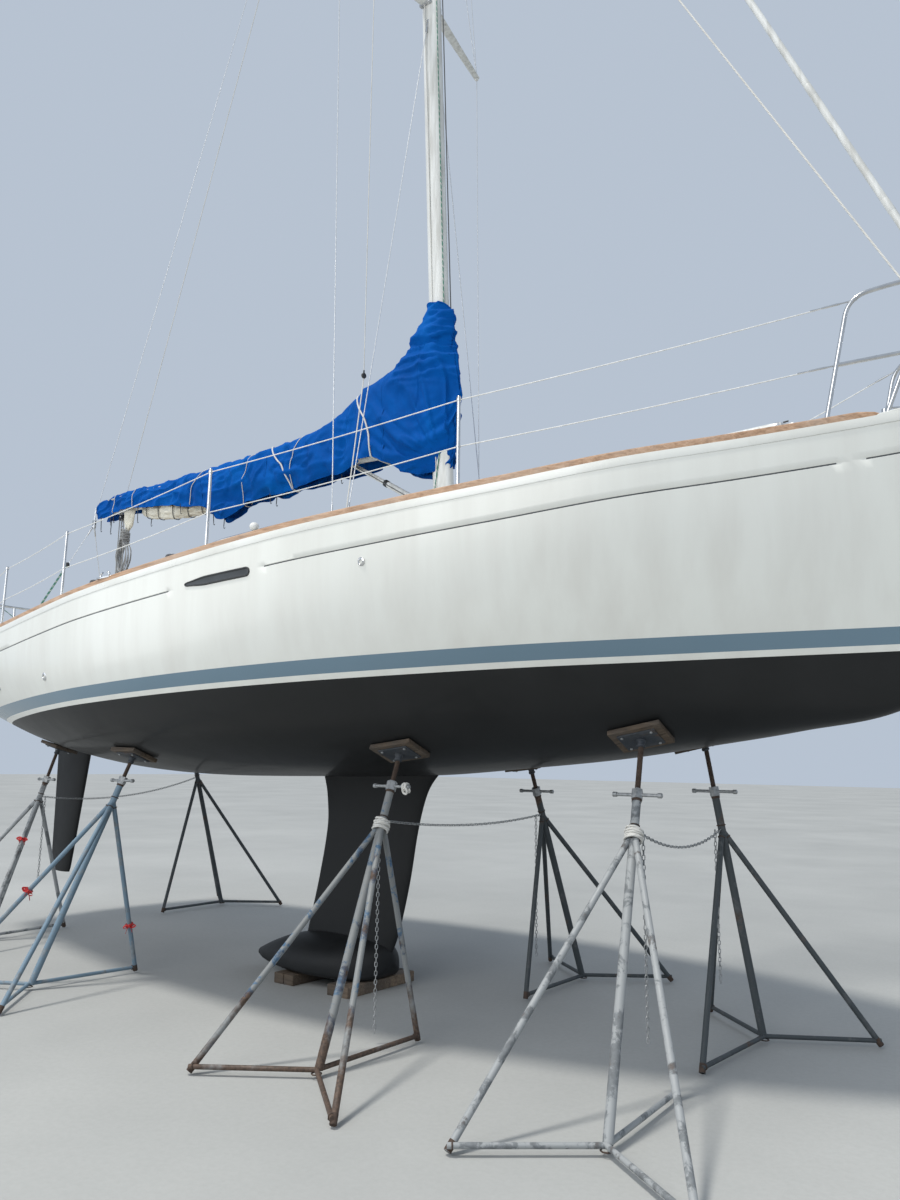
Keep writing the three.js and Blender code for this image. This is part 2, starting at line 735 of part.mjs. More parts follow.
// Steering pedestal and wheel
const WHEEL_RIM = 12;
put(
  "steering_pedestal",
  join([
    lathe(
      [
        [0, WELL.z + GAP],
        [PEDESTAL.r + 28, WELL.z + GAP],
        [PEDESTAL.r + 28, WELL.z + 20],
        [PEDESTAL.r, WELL.z + 40],
        [PEDESTAL.r - 8, PEDESTAL.top - 40],
        [PEDESTAL.r + 22, PEDESTAL.top],
        [PEDESTAL.r + 14, PEDESTAL.top + 50],
        [30, PEDESTAL.top + 84],
        [0, PEDESTAL.top + 88],
      ],
      16,
      [PEDESTAL.x, 0, 0],
    ),
    bar([PEDESTAL.x, 0, WHEEL.z], [WHEEL.x + 26, 0, WHEEL.z], 30, 30, 16),
  ]),
  "gelcoat",
);
const rim = new THREE.TorusGeometry(WHEEL_R, WHEEL_RIM, 6, 36);
rim.rotateY(Math.PI / 2);
rim.translate(WHEEL.x, 0, WHEEL.z);
const spokes = [0, 1, 2, 3, 4].map((k) => {
  const angle = (k / 5) * 2 * Math.PI + Math.PI / 2;
  const tip = [WHEEL.x, WHEEL_R * Math.cos(angle), WHEEL.z + WHEEL_R * Math.sin(angle)];
  return bar([WHEEL.x, 0, WHEEL.z], tip, 8, 8, 6);
});
const hub = bar([WHEEL.x + 26 - GAP, 0, WHEEL.z], [WHEEL.x - 30, 0, WHEEL.z], 38, 30, 16);
put("steering_wheel", join([solidOf(rim), ...spokes, hub]), "steel");

// Mainsheet track across the after deck
const TRACK = { x: -3850, half: 560, low: 2895, high: 2925 };
put(
  "mainsheet_track",
  join([
    box([TRACK.x - 22, -TRACK.half, TRACK.low], [TRACK.x + 22, TRACK.half, TRACK.high]),
    box([TRACK.x - 30, -TRACK.half, 2800], [TRACK.x + 30, -TRACK.half + 60, TRACK.high - 4]),
    box([TRACK.x - 30, TRACK.half - 60, 2800], [TRACK.x + 30, TRACK.half, TRACK.high - 4]),
    box([TRACK.x - 45, -45, TRACK.low + 4], [TRACK.x + 45, 45, TRACK.high + 22]),
  ]).subtract(deckSlab(GAP)),
  "steel",
);

// Rig: the mast's own frame, with z up the mast and x = 0 at its middle
const rig = new THREE.Group();
rig.position.set(...MAST_FOOT);
rig.rotation.y = -MAST_RAKE;
boat.add(rig);

const mastSize = (h) => {
  const start = 0.75 * MAST_LENGTH;
  const part = Math.max(0, (h - start) / (MAST_LENGTH - start));
  return 1 - (1 - MAST_TAPER) * part;
};
function mastSolid(grow = 0) {
  const sides = 12;
  return loft(
    [0, 0.75 * MAST_LENGTH, MAST_LENGTH].map((h) => {
      const ring = [];
      for (let i = 0; i < sides; i++) {
        const angle = (i / sides) * 2 * Math.PI;
        ring.push([
          ((MAST_SECTION[0] / 2) * mastSize(h) + grow) * Math.cos(angle),
          ((MAST_SECTION[1] / 2) * mastSize(h) + grow) * Math.sin(angle),
          h,
        ]);
      }
      return ring;
    }),
  );
}
// A point of the mast's frame in the boat's frame.
function fromMast(x, y, h) {
  const sin = Math.sin(MAST_RAKE);
  const cos = Math.cos(MAST_RAKE);
  return [MAST_FOOT[0] + x * cos - h * sin, y, MAST_FOOT[2] + x * sin + h * cos];
}
const PIVOT_X = -MAST_SECTION[0] / 2 - 28; // the line that boom and vang turn about
const PIN_R = 8;
const VANG_HEEL = 190;
const LUG = { half: 24, thick: 12, reach: 24 };
function lugs(h, gap) {
  return [-1, 1].map((side) => {
    const mid = h + side * (gap / 2 + LUG.thick / 2);
    return box(
      [PIVOT_X - LUG.reach, -LUG.half, mid - LUG.thick / 2],
      [-MAST_SECTION[0] / 2 + 20, LUG.half, mid + LUG.thick / 2],
    );
  });
}
function pin(h, gap) {
  const end = gap / 2 + LUG.thick;
  return bar([PIVOT_X, 0, h - end], [PIVOT_X, 0, h + end], PIN_R, PIN_R, 16);
}
const TONGUE_GAP = 70;
const HEEL_GAP = 40;
const crane = box(
  [-170, -22, MAST_LENGTH - 70],
  [MAST_SECTION[0] / 2 - 25, 22, MAST_LENGTH + 15],
);
put(
  "mast",
  join([
    mastSolid(),
    crane,
    box([-120, -85, 0], [120, 85, 22]),
    ...lugs(GOOSENECK_HEIGHT, TONGUE_GAP),
    pin(GOOSENECK_HEIGHT, TONGUE_GAP),
    ...lugs(VANG_HEEL, HEEL_GAP),
    pin(VANG_HEEL, HEEL_GAP),
  ]),
  "spar",
  rig,
);

// Boom and vang, turning about the pins
const boomHalf = [BOOM_SECTION[0] / 2, BOOM_SECTION[1] / 2];
function boomRing(along, grow = 0) {
  const sides = 12;
  const ring = [];
  for (let i = 0; i < sides; i++) {
    const angle = ((i + 0.5) / sides) * 2 * Math.PI;
    const c = Math.cos(angle);
    const s = Math.sin(angle);
    const round = 0.72;
    const up = (boomHalf[0] + grow) * Math.sign(c) * Math.abs(c) ** round;
    const across = (boomHalf[1] + grow) * Math.sign(s) * Math.abs(s) ** round;
    ring.push([
      PIVOT_X - along * Math.cos(BOOM_RISE),
      across,
      GOOSENECK_HEIGHT + along * Math.sin(BOOM_RISE) + up,
    ]);
  }
  return ring;
}
function boomCore(grow, from = 60, to = BOOM_LENGTH) {
  return loft([boomRing(from, grow), boomRing(to, grow)]);
}
function eye(h, gap, reach) {
  const half = gap / 2 - 2;
  const block = box([PIVOT_X - reach, -14, h - half], [PIVOT_X + 16, 14, h + half]);
  return block.subtract(
    bar([PIVOT_X, 0, h - 60], [PIVOT_X, 0, h + 60], PIN_R + RUNNING_GAP, undefined, 24),
  );
}
put("boom", boomCore(0).add(eye(GOOSENECK_HEIGHT, TONGUE_GAP, 90)), "spar", rig);
const VANG_REACH = 900;
const vangTop = [
  PIVOT_X - VANG_REACH,
  0,
  GOOSENECK_HEIGHT + VANG_REACH * BOOM_RISE - boomHalf[0] + 12,
];
const vangFoot = [PIVOT_X - 62, 0, VANG_HEEL + 22];
const vangMiddle = vangFoot.map((v, i) => v + (vangTop[i] - v) * 0.52);
put(
  "vang",
  join([
    bar(vangFoot, vangMiddle, 27, 27, 12),
    bar(vangMiddle, vangTop, 20, 20, 12),
    eye(VANG_HEEL, HEEL_GAP, 84),
  ]).subtract(boomCore(GAP)),
  "spar",
  rig,
);

// Spreaders: height on the mast, reach, sweep aft, chord
const SPREADERS = [
  { name: "lower", h: 4906, reach: 970, sweep: 200, chord: 95 },
  { name: "upper", h: 8450, reach: 700, sweep: 145, chord: 80 },
];
const SPREADER_LIFT = 0.04; // rise of a spreader over its reach
const BRACKET = { high: 60, thick: 9 };
const mastCut = toBoat(mastSolid(GAP));

// Standing rigging
const FORESTAY_H = 10903;
const CHAIN = { cap: 450, lower: 560, y: 920 };
const TURNBUCKLE_R = 9;
const WIRE_SIDES = 6;
const chainplate = (x, y) =>
  bar([x, y, sheerZ(x) - 10], [x, y, deckZ(x, y) + 60], TURNBUCKLE_R + 3);
const capRoute = (side) => {
  const tips = SPREADERS.map((s) =>
    fromMast(-s.sweep, side * s.reach, s.h + s.reach * SPREADER_LIFT),
  );
  const foot = [CHAIN.cap, side * CHAIN.y, deckZ(CHAIN.cap, CHAIN.y) + 30];
  return [foot, ...tips, fromMast(0, side * 40, FORESTAY_H)];
};
for (const [name, side] of [["port", 1], ["starboard", -1]]) {
  const cap = capRoute(side);
  put(
    `cap_shroud_${name}`,
    join([
      rod(cap, WIRE_R, WIRE_SIDES),
      bar(cap[1], fromMast(0, side * 40, SPREADERS[1].h - 60), WIRE_R, WIRE_R, WIRE_SIDES),
      chainplate(CHAIN.cap, side * CHAIN.y),
    ])
      .subtract(mastCut)
      .subtract(deckSlab(GAP)),
    "steel",
  );
  const foot = [CHAIN.lower, side * CHAIN.y, deckZ(CHAIN.lower, CHAIN.y) + 30];
  put(
    `lower_shroud_${name}`,
    join([
      bar(foot, fromMast(0, side * 40, SPREADERS[0].h - 190), WIRE_R, WIRE_R, WIRE_SIDES),
      chainplate(CHAIN.lower, side * CHAIN.y),
    ])
      .subtract(mastCut)
      .subtract(deckSlab(GAP)),
    "steel",
  );
}
const TIP_OVER = 14; // how far a spreader reaches past the wire in its tip
const wireCut = join(
  [1, -1].flatMap((side) => {
    const cap = capRoute(side);
    const inner = fromMast(0, side * 40, SPREADERS[1].h - 60);
    return [rod(cap, WIRE_R + GAP, WIRE_SIDES), rod([cap[1], inner], WIRE_R + GAP, WIRE_SIDES)];
  }),
);
for (const { name, h, reach, sweep, chord } of SPREADERS) {
  const arms = [1, -1].map((side) =>
    loft(
      [20, reach + TIP_OVER].map((y, k) => {
        const wide = (chord / 2) * (k === 0 ? 1 : 0.6);
        const x = -sweep * (y / reach);
        const z = h + y * SPREADER_LIFT;
        const thick = 13;
        return [
          [x + wide, side * y, z],
          [x + wide * 0.5, side * y, z + thick],
          [x - wide * 0.5, side * y, z + thick],
          [x - wide, side * y, z],
          [x - wide * 0.5, side * y, z - thick],
          [x + wide * 0.5, side * y, z - thick],
        ];
      }),
    ),
  );
  const { high, thick } = BRACKET;
  const band = box([-200, -200, h - high / 2], [200, 200, h + high / 2]);
  const bracket = mastSolid(thick).intersect(band);
  put(
    `spreaders_${name}`,
    toBoat(join([bracket, ...arms]).subtract(mastSolid(GAP))).subtract(wireCut),
    "spar",
  );
}

// Bow fitting, furled forestay and backstay
const STEMHEAD = { x0: 4600, x1: 5022, half: 42, top: 3732, roller: 38 };
put(
  "stemhead",
  join([
    box([STEMHEAD.x0, -STEMHEAD.half, 3640], [STEMHEAD.x1 - 20, STEMHEAD.half, STEMHEAD.top]),
    bar(
      [STEMHEAD.x1, -STEMHEAD.half, STEMHEAD.top - 20],
      [STEMHEAD.x1, STEMHEAD.half, STEMHEAD.top - 20],
      STEMHEAD.roller,
      undefined,
      16,
    ),
  ])
    .subtract(hullSolid(GAP, GAP))
    .subtract(deckSlab(GAP)),
  "steel",
);
const TACK = [4650, 0, STEMHEAD.top + 4];
const STAY_HEAD = fromMast(60, 0, FORESTAY_H);
const along = (a, b, part) => a.map((v, i) => v + (b[i] - v) * part);
const onStay = (part) => along(TACK, STAY_HEAD, part);
const DRUM = { from: 0.012, to: 0.024, r: 75 };
const FOIL_R = 23;
put(
  "forestay_furler",
  join([
    bar(TACK, STAY_HEAD, 9, 9, 8),
    bar(onStay(DRUM.from), onStay(DRUM.to), DRUM.r, undefined, 16),
    bar(onStay(0.02), onStay(0.965), FOIL_R, undefined, 10),
  ]).subtract(mastCut),
  "spar",
);
const BRIDLE = [-4420, 0, 4380];
const QUARTER = { x: -4880, y: 600 };
const quarterZ = deckZ(QUARTER.x, QUARTER.y);
put(
  "backstay",
  join([
    bar(fromMast(-150, 0, MAST_LENGTH - 73), BRIDLE, WIRE_R, WIRE_R, 6),
    box([BRIDLE[0] - 24, -12, BRIDLE[2] - 50], [BRIDLE[0] + 24, 12, BRIDLE[2] + 40]),
    ...[1, -1].map((side) =>
      join([
        bar(BRIDLE, [QUARTER.x, side * QUARTER.y, quarterZ + 40], WIRE_R, WIRE_R, 6),
        bar(
          [QUARTER.x, side * QUARTER.y, quarterZ - 40],
          [QUARTER.x, side * QUARTER.y, quarterZ + 60],
          12,
        ),
      ]),
    ),
  ]).subtract(deckSlab(GAP)),
  "steel",
);

// Mainsheet
const SHEET = { x: TRACK.x, low: TRACK.high + 70, high: 4362, block: 36, r: 6 };
const boomCut = toBoat(boomCore(GAP));
const falls = [[16, 12], [16, -12], [-16, 12], [-16, -12]].map(([dx, dy]) =>
  bar([SHEET.x + dx, dy, SHEET.low], [SHEET.x + dx, dy, SHEET.high], SHEET.r, SHEET.r, 6),
);
const blocks = [SHEET.low, SHEET.high].map((z) =>
  bar([SHEET.x, -22, z], [SHEET.x, 22, z], SHEET.block, undefined, 12),
);
put(
  "mainsheet",
  join([
    ...falls,
    ...blocks,
    box([SHEET.x - 10, -10, TRACK.high + 22 + GAP], [SHEET.x + 10, 10, SHEET.low]),
    box([SHEET.x - 10, -10, SHEET.high], [SHEET.x + 10, 10, SHEET.high + 90]),
  ]).subtract(boomCut),
  "rope",
);

const boomPoint = (reach, up) => [
  PIVOT_X - reach * Math.cos(BOOM_RISE),
  0,
  GOOSENECK_HEIGHT + reach * Math.sin(BOOM_RISE) + up,
];
// Sail cover over the boom, and the part of it laced round the mast
// distance along the boom, height over its axis, depth under it, half-width
const COVER_SECTIONS = [
  { x: 4790, over: 107, under: 108, half: 72 },
  { x: 4330, over: 143, under: 86, half: 86 },
  { x: 3950, over: 157, under: 74, half: 97 },
  { x: 3380, over: 175, under: 147, half: 105 },
  { x: 2830, over: 198, under: 210, half: 110 },
  { x: 2660, over: 206, under: 345, half: 112 },
  { x: 2400, over: 220, under: 300, half: 114 },
  { x: 2200, over: 233, under: 238, half: 117 },
  { x: 1560, over: 290, under: 192, half: 124 },
  { x: 980, over: 406, under: 138, half: 132 },
  { x: 680, over: 560, under: 74, half: 138 },
  { x: 330, over: 722, under: 166, half: 140 },
  { x: 110, over: 960, under: 245, half: 136 },
];
// height up the mast, aft reach, forward reach, half-width
const BOOT_SECTIONS = [
  { x: 530, aft: 330, fore: 150, half: 140 },
  { x: 900, aft: 350, fore: 160, half: 142 },
  { x: 1250, aft: 290, fore: 165, half: 130 },
  { x: 1600, aft: 200, fore: 135, half: 105 },
  { x: 1850, aft: 140, fore: 110, half: 84 },
  { x: 1950, aft: 126, fore: 106, half: 78 },
];
const COVER_PARTS = 14;
const ringAngles = Array.from(
  { length: COVER_PARTS },
  (_, i) => ((i + 0.5) / COVER_PARTS) * 2 * Math.PI,
);
const coverBody = loft(
  COVER_SECTIONS.map(({ x, over, under, half }) => {
    const [px, , h] = boomPoint(x, 0);
    const middle = (over - under) / 2;
    const tall = (over + under) / 2;
    return ringAngles.map((a) => {
      const wide = 1 - 0.35 * Math.max(Math.cos(a), 0);
      return [px, half * wide * Math.sin(a), h + middle + tall * Math.cos(a) * 1.02];
    });
  }),
);
const coverBoot = loft(
  BOOT_SECTIONS.map(({ x: h, aft, fore, half }) =>
    ringAngles.map((a) => [
      (fore - aft) / 2 + ((fore + aft) / 2) * Math.cos(a),
      half * Math.sin(a),
      h,
    ]),
  ),
);
const SWING_R = 225; // the cover on the boom starts this far from the line it turns about
const SWING_GAP = 9;
const hingeColumn = (r) => bar([PIVOT_X, 0, 300], [PIVOT_X, 0, 2300], r, r, 40);
const coverAll = coverBody.add(coverBoot);
const ahead = (x) => box([x, -400, 200], [x + 900, 400, 2400]);
const vangCut = bar(along(vangFoot, vangTop, 0.4), vangTop, 32, 32, 12);
const SHEET_REACH = 4468;
const [sheetX, , sheetH] = boomPoint(SHEET_REACH, 0);
const sheetSlot = box([sheetX - 22, -16, sheetH - 170], [sheetX + 22, 16, sheetH]);
const cuts = join([boomCore(4, 0, BOOM_LENGTH + 200), vangCut, sheetSlot]);
put(
  "sail_cover",
  coverAll.subtract(hingeColumn(SWING_R)).subtract(ahead(PIVOT_X - 12)).subtract(cuts),
  "canvas",
  rig,
);
const BOOT_LOW = 880;
put(
  "sail_cover_boot",
  coverAll
    .intersect(hingeColumn(SWING_R - SWING_GAP).add(ahead(PIVOT_X + 12)))
    .subtract(box([-900, -400, 0], [400, 400, BOOT_LOW]))
    .subtract(mastSolid(1)),
  "canvas",
  rig,
);
// A fold of the sail that hangs below the cover: distance along the boom, top, bottom, half-width
const SAIL_FOLD = [
  { x: 2850, top: -150, low: -277, half: 34 },
  { x: 3050, top: -130, low: -277, half: 44 },
  { x: 3350, top: -100, low: -273, half: 48 },
  { x: 3700, top: -60, low: -238, half: 46 },
  { x: 3900, top: -40, low: -205, half: 38 },
  { x: 4020, top: -40, low: -150, half: 26 },
];
put(
  "sail_bundle",
  loft(
    SAIL_FOLD.map(({ x, top, low, half }) => {
      const [px, , h] = boomPoint(x, 0);
      return ringAngles.map((a) => [
        px,
        half * Math.sin(a) - 12,
        h + (top + low) / 2 + ((top - low) / 2) * Math.cos(a),
      ]);
    }),
  ).subtract(coverBody.translate([0, 0, -0.4])),
  "sailcloth",
  rig,
);

// Pulpit, pushpit, stanchions and lifelines
const mirrored = (points, side) => points.map(([x, y, z]) => [x, side * y, z]);
const onDeck = ([x, y]) => [x, y, deckZ(x, y) - 12];
const PULPIT = {
  top: [[3990, 548, 4230], [4240, 455, 4285], [4560, 290, 4320], [4850, 130, 4335]],
  middle: [[3905, 548, 3858], [4240, 398, 3905], [4600, 205, 3960], [4800, 102, 3985]],
  legs: [
    { foot: [3828, 548], head: [3990, 548, 4230] },
    { foot: [4100, 400], head: [4400, 372, 4303] },
    { foot: [4740, 62], head: [4850, 130, 4335] },
  ],
};
const PUSHPIT = {
  top: [[-4150, 1300, 3385], [-4700, 1180, 3370], [-4890, 1070, 3368], [-4965, 880, 3368]],
  middle: [[-4138, 1303, 3085], [-4682, 1184, 3075], [-4872, 1068, 3074], [-4940, 880, 3074]],
  legs: [
    { foot: [-4125, 1308], head: [-4150, 1300, 3385] },
    { foot: [-4662, 1188], head: [-4700, 1180, 3370] },
    { foot: [-4905, 560], head: [-4965, 560, 3368] },
  ],
};
function railRoutes({ top, middle, legs }, joined) {
  const round = (points) => [...mirrored(points, 1), ...mirrored(points, -1).reverse()];
  const lower = joined ? [round(middle)] : [1, -1].map((side) => mirrored(middle, side));
  const posts = [1, -1].flatMap((side) =>
    legs.map(({ foot, head }) => mirrored([onDeck(foot), head], side)),
  );
  return [round(top), ...lower, ...posts];
}
const railWork = (routes, grow = 0) =>
  join(routes.map((points) => rod(points, RAIL_R + grow)));
const pulpitRoutes = railRoutes(PULPIT, false);
const pushpitRoutes = railRoutes(PUSHPIT, true);
put("pulpit", railWork(pulpitRoutes).subtract(deckSlab(GAP)), "steel");
put("pushpit", railWork(pushpitRoutes).subtract(deckSlab(GAP)), "steel");

const STANCHIONS = [1955, 10, -1950, -3300];
const INBOARD = 58; // stanchion feet, in from the hull's edge
const LIFELINES = [
  { level: "upper", up: 580, bow: PULPIT.top[0], stern: PUSHPIT.top[0], drop: 25 },
  { level: "lower", up: 285, bow: PULPIT.middle[0], stern: PUSHPIT.middle[0], drop: 0 },
];
const railCut = railWork([...pulpitRoutes, ...pushpitRoutes], GAP);
for (const [name, side] of [["port", 1], ["starboard", -1]]) {
  const feet = STANCHIONS.map((x) => [x, side * (halfBreadth(x) - INBOARD)]);
  const routes = LIFELINES.map(({ up, bow, stern, drop }) => {
    const ends = mirrored([bow, stern], side).map(([x, y, z]) => [x, y, z - drop]);
    const posts = feet.map(([x, y]) => [x, y, deckZ(x, y) + up]);
    const reach = (from, to) => along(from, to, (RAIL_R - 2) / vec(from).distanceTo(vec(to)));
    return [reach(ends[0], posts[0]), ...posts, reach(ends[1], posts.at(-1))];
  });
  const holes = join(routes.map((route) => rod(route, LIFELINE_R + GAP, WIRE_SIDES)));
  feet.forEach(([x, y], k) => {
    const z = deckZ(x, y);
    put(
      `stanchion_${k + 1}_${name}`,
      join([
        bar([x, y, z - 10], [x, y, z + STANCHION_HEIGHT], STANCHION_R, STANCHION_R - 2),
        bar([x, y, z - 10], [x, y, z + 45], 21, 18),
      ])
        .subtract(deckSlab(GAP))
        .subtract(holes),
      "steel",
    );
  });
  LIFELINES.forEach(({ level }, k) => {
    const line = rod(routes[k], LIFELINE_R, WIRE_SIDES).subtract(railCut);
    put(`lifeline_${level}_${name}`, line, "rope");
  });
}

// Spinnaker pole stowed on the foredeck
const POLE = { from: [3700, -505], to: [330, -1290], r: 36, up: 76 };
const poleEnds = [POLE.from, POLE.to].map(([x, y]) => [x, y, deckZ(x, y) + POLE.up]);
const poleChocks = [0.2, 0.8].map((part) => {
  const p = along(...poleEnds, part);
  return box([p[0] - 30, p[1] - 34, p[2] - 130], [p[0] + 30, p[1] + 34, p[2] - 6]);
});
put(
  "spinnaker_pole",
  join([
    bar(along(...poleEnds, 0.03), along(...poleEnds, 0.97), POLE.r, undefined, 12),
    bar(...poleEnds, 20, 20, 8),
    ...poleChocks,
  ]).subtract(deckSlab(GAP)),
  "spar",
);

// Keel blocks and jack stands
const SOLE_Z = 80; // the bulb's sole over the ground
const BLOCKS = [
  { name: "fore", x: 130, half: 105 },
  { name: "aft", x: -455, half: 105 },
];
const BLOCK_REACH = 380; // each way from the centre line
for (const { name, x, half } of BLOCKS) {
  const timber = box([x - half, -BLOCK_REACH, 0], [x + half, BLOCK_REACH, SOLE_Z - GAP]);
  put(`keel_block_${name}`, timber, "timber");
}
const underground = box([-9000, -9000, -900], [9000, 9000, 0]);
function stand({ foot: [x, y], pad: [padX, padY], turn, apex, nut }) {
  const padZ = hullZ(padX, padY);
  const step = 20;
  const out = new THREE.Vector3(
    (hullZ(padX + step, padY) - hullZ(padX - step, padY)) / (2 * step),
    (hullZ(padX, padY + step) - hullZ(padX, padY - step)) / (2 * step),
    -1,
  ).normalize();
  const [long, wide, thick] = STAND_PAD;
  const sink = 10;
  const frame = new THREE.Matrix4();
  const foreward = new THREE.Vector3(1, 0, 0).addScaledVector(out, -out.x).normalize();
  frame.makeBasis(foreward, out.clone().cross(foreward), out);
  frame.setPosition(padX, padY, padZ);
  const plate = (l, w, from, to) => {
    const shape = new THREE.BoxGeometry(l, w, to - from);
    shape.translate(0, 0, (from + to) / 2);
    return solidOf(shape.applyMatrix4(frame));
  };
  const under = STAND_PLATE + thick;
  const swivel = new THREE.Vector3(padX, padY, padZ).addScaledVector(out, under + 34).toArray();
  const foot = [x, y, 0];
  const collar = along(foot, swivel, apex);
  const sunk = (p) => along(collar, [p[0], p[1], 0], 1.06);
  const heading = (turn * Math.PI) / 180;
  const feet = STAND_FEET.map((f) => {
    const angle = heading + (f.turn * Math.PI) / 180;
    return [x + f.reach * Math.cos(angle), y + f.reach * Math.sin(angle), 0];
  });
  const lift = (p) => [p[0], p[1], 46];
  const onPost = (part) => along(foot, swivel, part);
  const handleAt = onPost(nut);
  return join([
    plate(long, wide, -sink, thick),
    plate(long * 0.72, wide * 0.72, thick - 1, under),
    bar(along(swivel, [padX, padY, padZ], 0.9), swivel, 26, 22),
    bar(swivel, collar, STAND_SCREW_R),
    bar(onPost(nut - 0.01), sunk(foot), STAND_PIPE_R + 6),
    ...feet.map((p) => bar(collar, sunk(p), STAND_PIPE_R)),
    ...feet.map((p) => bar(lift(foot), lift(p), STAND_PIPE_R - 4, undefined, 6)),
    bar(
      [handleAt[0] - 150, handleAt[1], handleAt[2]],
      [handleAt[0] + 150, handleAt[1], handleAt[2]],
      10,
      10,
      6,
    ),
    bar(onPost(nut - 0.02), onPost(nut + 0.02), 34),
  ])
    .subtract(hullSolid(-GAP))
    .subtract(underground);
}
for (const row of STANDS) put(`jack_stand_${row.name}`, stand(row), "galvanised");

export default boat;
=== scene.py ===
"""Looks of a cruising sailing yacht laid up ashore on keel blocks and jack stands.

Metres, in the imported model's frame: +X to the bow, +Y to port, +Z up, the ground at z = 0.
"""
import json
import math

